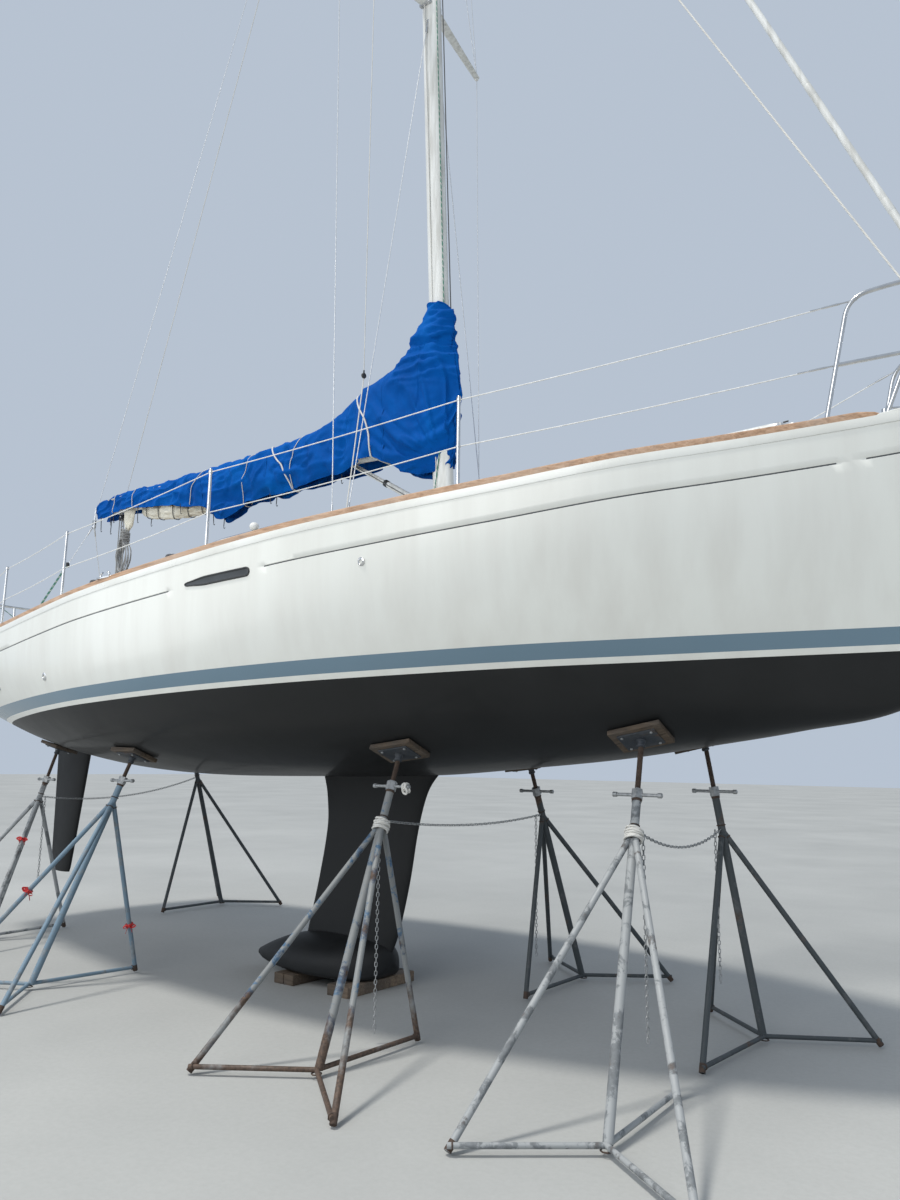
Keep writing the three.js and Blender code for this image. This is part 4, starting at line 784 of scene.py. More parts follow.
def wire():
    net = Net("wire_rope", metal=0.6)
    lay = strands(net, 7, 0.05)
    # Painted shade: the colour is darker in the grooves between the strands and lighter on their crowns.
    metal = net.ramp(lay, [(0.0, (0.34, 0.34, 0.34)), (0.5, (0.80, 0.81, 0.82))])
    net.color(metal).rough(net.gray(net.noise(30, 3), [(0.3, 0.42), (0.7, 0.28)]))
    return net.bump((lay, 0.7, 0.0006)).material


def rope(name, light, dark, fleck=None):
    net = Net(name, Sheen_Weight=0.25, Sheen_Roughness=0.6)
    lay = strands(net, 3, 0.045)
    fuzz = net.noise(420, 3)
    # Painted shade: the colour runs from dark in the grooves between strands to light on their crowns; dark is also
    # the colour of the dirt patches below.
    color = net.ramp(lay, [(0.0, dark), (0.45, light)])
    if fleck:
        marks = net.math("GREATER_THAN", strands(net, 1, 0.06), 0.93)
        color = net.mix(marks, color, fleck)
    color = net.mix(net.gray(net.noise(11, 4), [(0.4, 0.0), (0.8, 0.4)]), color, dark)
    net.color(color).rough(net.gray(fuzz, [(0.3, 0.78), (0.7, 0.95)]))
    return net.bump((lay, 0.8, 0.0012), (fuzz, 0.5, 0.0004)).material


def canvas(name="blue_canvas", tone=1.0):
    net = Net(name, Sheen_Weight=0.01, Specular_IOR_Level=0.06)
    warp = net.wave(62, where=net.coords(), direction="X")
    weft = net.wave(62, where=net.coords(), direction="Z")
    weave = net.math("MULTIPLY", warp, weft)
    slub = net.noise(75, 4, where=net.coords(scale=(0.5, 1, 2.2)))
    faded = net.noise(2.3, 5, 0.6)
    blue = net.ramp(faded, [
        (0.30, (0.0, 0.062 * tone, 0.28 * tone)),
        (0.55, (0.0, 0.092 * tone, 0.39 * tone)),
        (0.78, (0.001 * tone, 0.130 * tone, 0.48 * tone)),
    ])
    # Painted shade: the gaps of the weave are blended towards this darker blue.
    dark = (0.0, 0.040 * tone, 0.20 * tone)
    net.color(net.mix(net.gray(weave, [(0.0, 0.32), (0.5, 0.0)]), blue, dark))
    net.rough(net.gray(slub, [(0.3, 0.72), (0.7, 0.86)]))
    puckers = net.noise(13, 4, where=net.coords(scale=(1, 1, 0.6)))
    return net.bump((puckers, 0.3, 0.006), (slub, 0.25, 0.0008), (weave, 0.5, 0.0006)).material


def webbing():
    net = Net("black_webbing", Sheen_Weight=0.2)
    ribs = net.wave(90, where=net.coords(turn=(0, 0, 0.5)))
    # Painted shade: the colour is darker in the valleys between the ribs.
    net.color(net.ramp(ribs, [(0.2, (0.02, 0.022, 0.026)), (0.9, (0.054, 0.0584, 0.0672))]))
    net.rough(net.gray(net.noise(50, 3), [(0.3, 0.6), (0.7, 0.85)]))
    return net.bump((ribs, 0.6, 0.0008)).material


def sailcloth():
    net = Net("sailcloth", Sheen_Weight=0.1)
    weave = net.math("MULTIPLY", net.wave(80), net.wave(80, direction="Z"))
    stain = net.noise(5.5, 6, 0.6)
    net.color(net.ramp(stain, [(0.3, (0.50, 0.46, 0.36)), (0.62, (0.72, 0.69, 0.58))]))
    net.rough(net.gray(stain, [(0.3, 0.75), (0.7, 0.6)]))
    creases = net.noise(16, 5, where=net.coords(scale=(1, 1, 2.4)), distortion=1.2)
    return net.bump((creases, 0.5, 0.008), (weave, 0.3, 0.0004)).material


def smoked():
    net = Net("smoked_acrylic", Coat_Weight=0.12, Coat_Roughness=0.04, Specular_IOR_Level=0.35)
    haze = net.noise(7, 5)
    net.color(net.ramp(haze, [(0.3, (0.010, 0.013, 0.015)), (0.75, (0.028, 0.034, 0.038))]))
    net.rough(net.gray(net.noise(60, 6, 0.7), [(0.4, 0.07), (0.75, 0.22)]))
    return net.bump((net.noise(2.0, 1), 0.1, 0.001)).material


def stand_steel(name, paint, under, chips=0.5, rust=0.5, foot=0.0):
    """Painted pipe, chipped to what is under it, and rusting, most of all near the ground."""
    net = Net(name)
    wear = net.noise(7, 9, 0.72, distortion=0.4)
    blotch = net.noise(3.6, 6, 0.6)
    darker = tuple(c * 0.6 for c in under)
    bare = net.ramp(net.noise(34, 5), [(0.3, darker), (0.7, under)])
    base = net.mix(net.gray(wear, [(chips, 0.0), (chips + 0.05, 1.0)]), paint, bare)
    brown = net.ramp(net.noise(60, 6), [
        (0.3, (0.036, 0.024, 0.018)),
        (0.7, (0.125, 0.080, 0.055)),
    ])
    height = net.node("SeparateXYZ", _0=net.node("TexCoord").outputs["Object"]).outputs[2]
    low = net.math("MULTIPLY", net.gray(height, [(0.02, foot), (0.50, 0.0)]), 0.20)
    both = net.math("ADD", net.math("MULTIPLY", wear, blotch), low)
    rusted = net.gray(both, [(0.37 - 0.14 * rust, 0.0), (0.45 - 0.12 * rust, 1.0)])
    net.color(net.mix(rusted, base, brown))
    net.rough(net.gray(wear, [(0.35, 0.45), (0.65, 0.8)]))
    return net.bump((blotch, 0.12, 0.002), (wear, 0.55, 0.0012)).material


def rust():
    net = Net("rust")
    crust = net.noise(38, 8, 0.7)
    net.color(net.ramp(crust, [(0.3, (0.030, 0.021, 0.017)), (0.7, (0.100, 0.066, 0.048))]))
    net.rough(net.gray(crust, [(0.3, 0.8), (0.7, 0.95)]))
    return net.bump((crust, 0.7, 0.0015)).material


def zinc():
    net = Net("galvanised_steel", metal=0.55)
    spangle = net.cells(46)
    net.color(net.ramp(spangle, [(0.1, (0.24, 0.255, 0.26)), (0.8, (0.40, 0.41, 0.415))]))
    net.rough(net.gray(net.noise(30, 4), [(0.3, 0.4), (0.7, 0.62)]))
    return net.bump((net.noise(80, 4), 0.25, 0.0006)).material


def timber(name="pad_timber", tone=1.0):
    net = Net(name)
    grain = net.noise(3, 8, 0.6, where=net.coords(scale=(2, 22, 22)), distortion=0.8)
    grime = net.noise(6, 6, 0.62)
    wood = net.ramp(grain, [
        (0.3, (0.12 * tone, 0.08 * tone, 0.05 * tone)),
        (0.7, (0.34 * tone, 0.25 * tone, 0.17 * tone)),
    ])
    net.color(net.mix(net.gray(grime, [(0.4, 0.0), (0.7, 0.75)]), wood, (0.07, 0.065, 0.06)))
    net.rough(net.gray(grime, [(0.3, 0.8), (0.7, 0.95)]))
    return net.bump((grain, 0.6, 0.002), (grime, 0.3, 0.001)).material


def plastic(name="black_plastic", color=(0.016, 0.017, 0.018), rough=0.42):
    net = Net(name)
    scuffs = net.noise(46, 7, 0.7)
    paler = tuple(min(1, c * 1.9 + 0.012) for c in color)
    net.color(net.ramp(scuffs, [(0.45, color), (0.75, paler)]))
    net.rough(net.gray(scuffs, [(0.3, rough), (0.7, min(1, rough + 0.22))]))
    return net.bump((net.noise(600, 2), 0.2, 0.0002)).material


def antifouling():
    net = Net("antifouling", rough=0.6, Specular_IOR_Level=0.3)
    patches = net.noise(2.2, 8, 0.65)
    net.color(net.ramp(patches, [
        (0.28, (0.005, 0.006, 0.0065)),
        (0.6, (0.013, 0.014, 0.015)),
        (0.8, (0.026, 0.027, 0.028)),
    ]))
    net.rough(net.gray(patches, [(0.3, 0.5), (0.7, 0.72)]))
    return net.bump((net.noise(3, 3), 0.2, 0.004), (net.noise(150, 3), 0.35, 0.0006)).material


def concrete():
    net = Net("pale_floor")
    cloud = net.noise(0.35, 7, 0.6)
    speck = net.noise(30, 6, 0.7)
    pale = net.ramp(cloud, [(0.3, (0.35, 0.355, 0.345)), (0.7, (0.43, 0.435, 0.42))])
    net.color(net.mix(net.gray(speck, [(0.4, 0.0), (0.75, 0.25)]), pale, (0.30, 0.30, 0.29)))
    net.rough(net.gray(speck, [(0.3, 0.75), (0.7, 0.9)]))
    return net.bump((cloud, 0.1, 0.01), (speck, 0.25, 0.002)).material


PAINT = {
    "hull": hull_paint(),
    "gelcoat": gelcoat(),
    "cove": cove_line(),
    "deck": nonskid(),
    "teak": teak(),
    "teak_across": teak("teak_across", "Y"),
    "teak_upright": teak("teak_upright", "Z", 1.1),
    "spar": coated_spar(),
    "alloy": alloy(),
    "steel": stainless(),
    "wire": wire(),
    "canvas": canvas(),
    "canvas_dark": canvas("blue_canvas_seam", 0.7),
    "webbing": webbing(),
    "sail": sailcloth(),
    "white_rope": rope("white_rope", (0.70, 0.69, 0.65), (0.36, 0.35, 0.32)),
    "grey_rope": rope("grey_rope", (0.34, 0.345, 0.34), (0.13, 0.13, 0.13)),
    "dark_rope": rope("dark_rope", (0.10, 0.105, 0.11), (0.03, 0.03, 0.033)),
    "green_rope": rope("green_rope", (0.03, 0.20, 0.13), (0.01, 0.08, 0.05), (0.5, 0.5, 0.46)),
    "blue_rope": rope("blue_rope", (0.60, 0.60, 0.58), (0.30, 0.30, 0.29), (0.02, 0.07, 0.35)),
    "smoked": smoked(),
    "blue_stand": stand_steel("blue_stand", (0.150, 0.225, 0.290), (0.24, 0.28, 0.31), 0.52, 0.28),
    "worn_stand": stand_steel("worn_stand", (0.205, 0.215, 0.215), (0.07, 0.15, 0.25), 0.52, 0.62,
                              1.0),
    "pale_stand": stand_steel("pale_stand", (0.31, 0.325, 0.33), (0.20, 0.215, 0.225), 0.50, 0.36,
                              0.15),
    "dark_stand": stand_steel("dark_stand", (0.05, 0.06, 0.065), (0.10, 0.11, 0.115), 0.54, 0.4),
    "plate_steel": stand_steel("plate_steel", (0.028, 0.035, 0.045), (0.055, 0.062, 0.072), 0.5, 0.4),
    "rust": rust(),
    "zinc": zinc(),
    "timber": timber(tone=0.4),
    "block": timber("block_timber", 0.4),
    "pale_block": timber("pale_timber", 0.95),
    "black": plastic(),
    "white_plastic": plastic("white_plastic", (0.66, 0.66, 0.63), 0.32),
    "red_tape": plastic("red_tape", (0.42, 0.02, 0.02), 0.5),
    "antifouling": antifouling(),
    "floor": concrete(),
}


def paints(*names):
    return [PAINT[name] for name in names]


# Camera, floor and light

def make_camera():
    data = bpy.data.cameras.new("photo_view")
    data.sensor_width = 36
    data.lens = CAMERA_LENS
    data.clip_end = 400
    camera = bpy.data.objects.new("photo_view", data)
    bpy.context.scene.collection.objects.link(camera)
    upright = Matrix.Rotation(CAMERA_HEADING - math.pi / 2, 4, "Z")
    raised = Matrix.Rotation(math.pi / 2 + CAMERA_PITCH, 4, "X")
    rolled = Matrix.Rotation(CAMERA_ROLL, 4, "Z")
    camera.matrix_world = Matrix.Translation(CAMERA_PLACE) @ upright @ raised @ rolled
    bpy.context.scene.camera = camera


def area_light(name, place, target, size, power, color):
    data = bpy.data.lights.new(name, "AREA")
    data.size, data.energy, data.color = size, power, color
    lamp = bpy.data.objects.new(name, data)
    bpy.context.scene.collection.objects.link(lamp)
    lamp.location = place
    lamp.rotation_euler = (Vector(target) - Vector(place)).to_track_quat("-Z", "Y").to_euler()


def make_studio():
    floor = Shape()
    floor.add([(-90, -90, 0), (90, -90, 0), (90, 90, 0), (-90, 90, 0)], [(0, 1, 2, 3)])
    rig.stage(floor.build("floor", None, paints("floor"), outward=False))
    world = bpy.data.worlds.new("studio")
    world.use_nodes = True
    sky = world.node_tree.nodes["Background"]
    sky.inputs["Color"].default_value = (0.70, 0.80, 0.94, 1)
    sky.inputs["Strength"].default_value = SKY_STRENGTH
    bpy.context.scene.world = world
    bpy.context.scene.view_settings.view_transform = "Standard"
    data = bpy.data.lights.new("soft_sun", "SUN")
    data.energy, data.angle, data.color = SUN_STRENGTH, math.radians(7), (1.0, 0.97, 0.91)
    lamp = bpy.data.objects.new("soft_sun", data)
    bpy.context.scene.collection.objects.link(lamp)
    lamp.rotation_euler = Vector((0.20, 0.30, -1.0)).to_track_quat("-Z", "Y").to_euler()
    area_light("key", (2, -14, 9), (0, 0, 3), 9, KEY_POWER, (1.0, 0.98, 0.95))
    area_light("fill", (-9, -9, 5), (-3, 0, 3), 8, FILL_POWER, (0.93, 0.96, 1.0))


make_camera()
make_studio()


# Hull and deck

COVE_SPANS = [(-4.98, -0.27), (0.62, 3.90), (4.00, 4.60)]
BELOW_COVE = 34  # strips of the skin from the keel line to the cove
PORTLIGHT = dict(x0=-0.115, z0=2.888, x1=0.512, z1=2.921, half=0.033)


def cove_depth(x):
    return 0.0035 if any(a < x < b for a, b in COVE_SPANS) else 0.0


def hull_rows(x):
    """One side's (height, inset) from the keel line to the sheer, the cove's rows among them."""
    top, depth = sheer_z(x), sheer_z(x) - bottom_z(x)
    cove = top - min(COVE_DROP, 0.45 * depth)
    wide = min(0.007, 0.02 * depth)
    turn = math.acos(min(1, ((top - cove + wide) / depth) ** 0.8))
    rows = [(top - depth * math.cos(a) ** 1.25, 0) for a in steps(0, turn, BELOW_COVE)]
    rows += [(cove + wide * k, cove_depth(x)) for k in (-0.6, 0.6)]
    return rows + [(z, 0) for z in steps(cove + wide, top, 6)]


def make_hull():
    skin = Shape()
    stations = steps(HULL_SECTIONS[0][0], HULL_SECTIONS[-1][0], 300)
    rings = []
    for x in stations:
        side = [(x + lean(x, z), max(hull_y(x, z) - dent, 0), z) for z, dent in hull_rows(x)]
        far = [(px, -y, z) for px, y, z in side]
        rings.append(side[:0:-1] + far)
    skin.loft(rings, closed=False)
    width = len(rings[0]) - 1
    cove_row = len(hull_rows(0)) - 2 - BELOW_COVE
    for i, x in enumerate(stations[:-1]):
        if cove_depth(x) and cove_depth(stations[i + 1]):
            for k in (cove_row - 1, width - cove_row):
                skin.slots[i * width + k] = 1
    skin.add(rings[-1], [tuple(range(width + 1))])
    skin.build("hull_skin", "boat", paints("hull", "cove"), ["hull"], "gelcoat", 50)


def oval(length, r, parts=16):
    """A long oval of half-width r about a straight middle line."""
    turn = [math.pi * (k / parts - 0.5) for k in range(parts)]
    right = [(length + r * math.cos(a), r * math.sin(a)) for a in turn]
    top = [(length * (1 - 2 * k / parts), r) for k in range(parts)]
    half = right + top
    return half + [(-u, -v) for u, v in half]


def make_portlights():
    for name, side in SIDES:
        light = Shape()
        run, rise = PORTLIGHT["x1"] - PORTLIGHT["x0"], PORTLIGHT["z1"] - PORTLIGHT["z0"]
        tilt = math.atan2(rise, run)
        length = math.hypot(run, rise) / 2 - PORTLIGHT["half"]
        middle = ((PORTLIGHT["x0"] + PORTLIGHT["x1"]) / 2, (PORTLIGHT["z0"] + PORTLIGHT["z1"]) / 2)

        def outline(r, proud):
            ring = []
            for u, v in oval(length, r):
                v *= mix(0.45, 1, smooth((u + length + r) / (0.8 * length)))
                x = middle[0] + u * math.cos(tilt) - v * math.sin(tilt)
                z = middle[1] + u * math.sin(tilt) + v * math.cos(tilt)
                ring.append((x, side * (hull_y(x, z) + proud), z))
            return ring

        half = PORTLIGHT["half"]
        bezel = [(half, -0.002), (half, 0.004), (half - 0.003, 0.007), (half - 0.010, 0.007),
                 (half - 0.013, 0.004)]
        light.loft([outline(r, proud) for r, proud in bezel], caps=False)
        glass = [(half - 0.0128, 0.0038), (half - 0.016, 0.0028), (half - 0.028, 0.0026), (0, 0.0026)]
        light.loft([outline(r, proud) for r, proud in glass], slot=1, caps=False)
        light.build(f"portlight_{name}", "boat", paints("black", "smoked"), slot="acrylic")


def make_through_hulls():
    for name, side in SIDES:
        fitting = Shape()
        for x, z, r in ((1.37, 2.90, 0.016), (-3.3, 2.34, 0.022), (-2.1, 2.36, 0.02)):
            y = hull_y(x, z)
            axis = Vector((0, side, -0.15)).normalized()
            profile = [(r * 1.7, -0.006), (r * 1.7, 0.003), (r * 1.3, 0.007), (r, 0.008),
                       (r * 0.8, 0.004), (r * 0.8, -0.02)]
            fitting.lathe(profile, (x, side * y, z), axis, 24)
        fitting.build(f"through_hulls_{name}", "boat", paints("steel"), slot="steel")


def deck_solid():
    """The deck as a closed slab."""
    rings = []
    for x in steps(4.775, -5.060, 150):
        half = max(half_breadth(x) - 0.014, 0.008)
        ring = [(x, y, deck_z(x, y)) for y in steps(half, -half, 32)]
        ring += [(x, -half, sheer_z(x) - 0.035), (x, half, sheer_z(x) - 0.035)]
        rings.append([(px + lean(px, z), y, z) for px, y, z in ring])
    return rings


def anchor_well_rings(grow, low, high):
    rings = []
    for x, half in ((ANCHOR_WELL["x0"] - grow, ANCHOR_WELL["half0"] + grow),
                    (ANCHOR_WELL["x1"] + grow, ANCHOR_WELL["half1"] + grow)):
        z = deck_z(x, 0)
        rings.append([(x, half, z + high), (x, half, z + low), (x, -half, z + low),
                      (x, -half, z + high)])
    return rings


def block(low, high, bevel=0.0):
    shape = Shape()
    shape.box(low, high, bevel or 0.001, rounds=3 if bevel else 1)
    return shape


def make_deck():
    deck = Shape()
    deck.loft(deck_solid())
    piece = deck.build("deck_moulding", "boat", paints("gelcoat"), ["deck"], "deck")
    well = Shape()
    well.loft(anchor_well_rings(0, -0.4, 0.2))
    cut(piece, [
        block((SEAT["x0"], -SEAT["half"], 2.4), (SEAT["x1"], SEAT["half"], 3.6)),
        block((-1.07, -COMPANION["half"], 2.4), (COMPANION["x1"], COMPANION["half"], 3.9)),
        well,
    ], bevel=0.006)


NONSKID_LIFT = 0.0022


def nonskid_patch(panels, x0, x1, inner, outer, side, corner=0.05):
    """A textured panel of deck between two edges, with rounded corners."""
    rows = []
    for x in steps(x0, x1, max(6, int(abs(x1 - x0) / 0.03))):
        reach = min(abs(x - x0), abs(x - x1))
        pull = corner - math.sqrt(corner ** 2 - (corner - reach) ** 2) if reach < corner else 0
        a, b = inner(x) + pull, outer(x) - pull
        row = [(x, side * y) for y in steps(a, max(b, a + 0.002), 14)]
        rows.append([(px, y, deck_z(px, y) + NONSKID_LIFT) for px, y in row])
    panels.loft(rows, closed=False)


def make_nonskid():
    panels = Shape()
    edge = lambda x: half_breadth(x) - 0.11
    house = lambda x: column(ROOF_SECTIONS, 1, x) + 0.045
    coaming = lambda x: 1.150
    middle = lambda x: 0.012
    for side in (1, -1):
        for x0, x1 in ((-0.95, 0.30), (0.36, 1.42), (1.48, 2.52)):
            nonskid_patch(panels, x0, x1, house, edge, side)
        for x0, x1 in ((-3.50, -2.36), (-2.30, -1.04)):
            nonskid_patch(panels, x0, x1, coaming, edge, side)
        nonskid_patch(panels, 2.62, 3.33, middle, edge, side)
        nonskid_patch(panels, 3.38, 4.02, lambda x: 0.31 - 0.2 * (x - 3.38), edge, side, 0.03)
        nonskid_patch(panels, 4.05, 4.52, middle, lambda x: edge(x) + 0.03, side, 0.03)
        nonskid_patch(panels, -3.74, -3.60, middle, lambda x: 0.93, side, 0.02)
        nonskid_patch(panels, -4.80, -3.96, lambda x: 0.02, lambda x: edge(x) - 0.02, side, 0.05)
    panels.build("nonskid_panels", "boat", paints("deck"), slot="deck")


def terrace(shape, xs, ys, level):
    """Flat floors, one to each cell of a plan, with walls wherever two of them differ."""
    def face(points):
        shape.add(points, [(0, 1, 2, 3)])

    def height(i, j):
        if 0 <= i < len(xs) - 1 and 0 <= j < len(ys) - 1:
            return level((xs[i] + xs[i + 1]) / 2, (ys[j] + ys[j + 1]) / 2)
        return None

    for i in range(-1, len(xs) - 1):
        for j in range(-1, len(ys) - 1):
            here = height(i, j)
            if here is not None:
                x0, x1, y0, y1 = xs[i], xs[i + 1], ys[j], ys[j + 1]
                face([(x0, y0, here), (x1, y0, here), (x1, y1, here), (x0, y1, here)])
            for di, dj in ((1, 0), (0, 1)):
                there = height(i + di, j + dj)
                if here == there:
                    continue
                if di:
                    a, b = (xs[i + 1], ys[j]), (xs[i + 1], ys[j + 1])
                    if j < 0:
                        continue
                else:
                    a, b = (xs[i], ys[j + 1]), (xs[i + 1], ys[j + 1])
                    if i < 0:
                        continue
                tops = [deck_z(*p) - 0.001 if None in (here, there) else max(here, there)
                        for p in (a, b)]
                low = min(v for v in (here, there) if v is not None)
                face([(*a, low), (*b, low), (*b, tops[1]), (*a, tops[0])])


def make_cockpit():
    xs = [SEAT["x0"], WELL["x0"], LOCKER["x0"], LOCKER["x1"], SEAT["x1"], COMPANION["x0"],
          COMPANION["x1"]]
    half, seat, hatch = WELL["half"], SEAT["half"], COMPANION["half"]
    ys = [-seat, -LOCKER["y1"], -LOCKER["y0"], -half, -hatch, hatch, half, LOCKER["y0"],
          LOCKER["y1"], seat]

    def level(x, y):
        if x > SEAT["x1"]:
            low = COMPANION["sill"] if x < COMPANION["x0"] else COMPANION["z"]
            return low if abs(y) < hatch else None
        if abs(y) < half and x > WELL["x0"]:
            return WELL["z"]
        in_locker = LOCKER["x0"] < x < LOCKER["x1"] and LOCKER["y0"] < abs(y) < LOCKER["y1"]
        return SEAT["z"] - LOCKER["deep"] if in_locker else SEAT["z"]

    tub = Shape()
    terrace(tub, xs, ys, level)
    (a, b, c, d), (e, f, g, h) = anchor_well_rings(0, -ANCHOR_WELL["deep"], -0.002)
    for wall in ([b, c, g, f], [a, b, f, e], [d, c, g, h], [a, b, c, d], [e, f, g, h]):
        tub.add(wall, [(0, 1, 2, 3)])
    piece = tub.build("cockpit_moulding", "boat", paints("gelcoat"), slot="gelcoat")
    reface(piece.data, 0.0005, outward=False)
    modifier = piece.modifiers.new("bevel", "BEVEL")
    modifier.width, modifier.segments, modifier.limit_method = 0.016, 4, "ANGLE"
    apply(piece)
    shade(piece.data, 50)


def slats(shape, x0, x1, y0, y1, z, wide=0.047, gap=0.005, thick=0.009):
    """Planks laid along x, with open seams."""
    y0, y1 = sorted((y0, y1))
    count = max(1, round((y1 - y0 + gap) / (wide + gap)))
    pitch = (y1 - y0 + gap) / count
    for k in range(count):
        y = y0 + k * pitch
        shape.box((x0, y, z), (x1, y + pitch - gap, z + thick), 0.0025)


def make_cockpit_teak():
    planks = Shape()
    z = SEAT["z"] + 0.0005
    for side in (1, -1):
        inner, outer = side * 0.352, side * 0.925
        slats(planks, -3.42, LOCKER["x0"] - 0.024, inner, outer, z)
        slats(planks, LOCKER["x1"] + 0.024, -1.085, inner, outer, z)
        for y0, y1 in ((side * 0.884, outer), (inner, side * 0.406)):
            slats(planks, LOCKER["x0"] - 0.02, LOCKER["x1"] + 0.02, y0, y1, z)
    floor = WELL["z"] + 0.001
    slats(planks, -3.32, -3.05, -0.3, 0.3, floor, 0.032, 0.014, 0.014)
    slats(planks, -2.83, -1.09, -0.3, 0.3, floor, 0.032, 0.014, 0.014)
    for x in steps(-3.28, -1.13, 12):
        if not -3.06 < x < -2.82:
            planks.box((x, -0.3, floor), (x + 0.03, 0.3, floor + 0.008), 0.002)
    planks.build("cockpit_teak", "boat", paints("teak"), slot="teak")


def make_locker_lids():
    for name, side in SIDES:
        lid = Shape()
        y0, y1 = sorted((side * (LOCKER["y0"] - 0.018), side * (LOCKER["y1"] + 0.018)))
        x0, x1, z = LOCKER["x0"] - 0.018, LOCKER["x1"] + 0.018, SEAT["z"] + 0.0005
        lid.box((x0, y0, z), (x1, y1, z + 0.011), 0.003, 1)
        slats(lid, x0 + 0.004, x1 - 0.004, y0 + 0.004, y1 - 0.004, z + 0.011, thick=0.010)
        lid.box((-1.985, side * 0.445 - 0.014, z + 0.0115), (-1.915, side * 0.445 + 0.014, z + 0.0225),
                0.003, 2)
        lid.build(f"locker_lid_{name}", f"locker_{name}_body",
                  paints("teak", "white_plastic", "steel"), [f"seat_locker_lid_{name}"], "teak")
        hinges = Shape()
        for x in (-2.25, -1.65):
            y = side * (LOCKER["y1"] + 0.018)
            hinges.tube([(x - 0.035, y, z + 0.010), (x + 0.035, y, z + 0.010)], 0.005, 12)
            hinges.box((x - 0.032, y, z - 0.0005), (x + 0.032, y + side * 0.026, z + 0.009), 0.002)
        hinges.build(f"locker_hinges_{name}", "boat", paints("steel"), slot="steel")


# Coachroof, coamings and deck fittings

FORE_HATCH_X = 1.480
HATCH_HALF = 0.260
HATCH_TOP = 3.5459
SLIDE_LIFT = 0.0345  # underside of the sliding hatch over the roof


def roof_rings():
    rings = []
    for x in steps(-1.000, 2.560, 90):
        half, low = column(ROOF_SECTIONS, 1, x), sheer_z(x)
        ring = [(half, low - 0.02), (half, low + 0.03)]
        edge = half * ROOF_TUMBLE
        foot_y, foot_z = half - 0.002, low + 0.06
        top_z = max(roof_z(x, edge), low + 0.061)
        for t in steps(0.12, 0.8, 4):
            ring.append((mix(foot_y, edge, t), mix(foot_z, top_z, t)))
        for y in steps(edge * 0.985, -edge * 0.985, 40):
            ring.append((y, max(roof_z(x, y), low + 0.061)))
        ring = ring + [(-y, z) for y, z in ring[5::-1]]
        rings.append([(x, y, z) for y, z in ring])
    return rings


def make_coachroof():
    roof = Shape()
    roof.loft(roof_rings())
    piece = roof.build("coachroof_moulding", "boat", paints("gelcoat"), ["coachroof"], "gelcoat")
    hatch = HATCH_HALF - 0.03
    cut(piece, [
        block((-1.2, -COMPANION["half"], 2.4), (COMPANION["x1"], COMPANION["half"], 3.9), 0.012),
        block((FORE_HATCH_X - hatch, -hatch, HATCH_TOP - 0.09),
              (FORE_HATCH_X + hatch, hatch, 3.9), 0.01),
    ], bevel=0.012)
    frame_work = Shape()
    outer, inner, top = HATCH_HALF, HATCH_HALF - 0.028, HATCH_TOP
    profile = [(outer + 0.012, top - 0.034), (outer, top - 0.026), (outer, top - 0.002),
               (outer - 0.004, top), (inner, top), (inner, top - 0.06)]
    frame_work.loft([round_square(FORE_HATCH_X, r, z, 0.07) for r, z in profile], caps=False)
    frame_work.build("fore_hatch_frame", "boat", paints("alloy"), slot="spar")
    base = Shape()
    base.box((-0.13, -0.095, -0.10), (0.13, 0.095, -0.0005), 0.012, place=mast_matrix())
    base.box((-0.20, -0.15, -0.062), (0.20, 0.15, -0.026), 0.014, place=mast_matrix())
    base.build("mast_step", "boat", paints("gelcoat"), slot="gelcoat")


def round_square(x, half, z, corner, per=8):
    ring = []
    for k, (sx, sy) in enumerate(((1, 1), (-1, 1), (-1, -1), (1, -1))):
        for t in steps(0, 1, per):
            a = (k + t) * math.pi / 2
            reach = half - corner
            ring.append((x + sx * reach + corner * math.cos(a),
                         sy * reach + corner * math.sin(a), z))
    return ring


def make_fore_hatch():
    lid = Shape()
    z = HATCH_TOP + 0.0005
    half = HATCH_HALF - 0.004
    rim = [(half - 0.003, z), (half, z + 0.004), (half, z + 0.014), (half - 0.006, z + 0.0195),
           (half - 0.034, z + 0.0195), (half - 0.037, z + 0.016)]
    lid.loft([round_square(FORE_HATCH_X, r, h, 0.065) for r, h in rim], caps=False)
    lid.add(round_square(FORE_HATCH_X, half - 0.003, z, 0.065), [tuple(range(36))])
    pane = [(half - 0.0372, z + 0.0158), (half - 0.05, z + 0.0172), (half - 0.16, z + 0.0195),
            (half - 0.2, z + 0.020)]
    lid.loft([round_square(FORE_HATCH_X, r, h, 0.05) for r, h in pane], slot=1, caps=False)
    lid.add(round_square(FORE_HATCH_X, half - 0.2, z + 0.020, 0.05), [tuple(range(36))], 1)
    for y in (-0.15, 0.15):
        lid.box((FORE_HATCH_X - 0.212, y - 0.02, z + 0.0165),
                (FORE_HATCH_X - 0.168, y + 0.02, z + 0.0215), 0.003, 2)
    lid.build("fore_hatch_window", "fore_hatch_body", paints("alloy", "smoked", "black"),
              ["fore_hatch_lid"], "acrylic")
    hinges = Shape()
    for y in (-0.16, 0.16):
        x = FORE_HATCH_X + half
        hinges.tube([(x + 0.004, y - 0.03, z), (x + 0.004, y + 0.03, z)], 0.0062, 14)
        hinges.box((x + 0.002, y - 0.028, z - 0.026), (x + 0.012, y + 0.028, z), 0.002)
    hinges.build("fore_hatch_hinges", "boat", paints("alloy"), slot="spar")


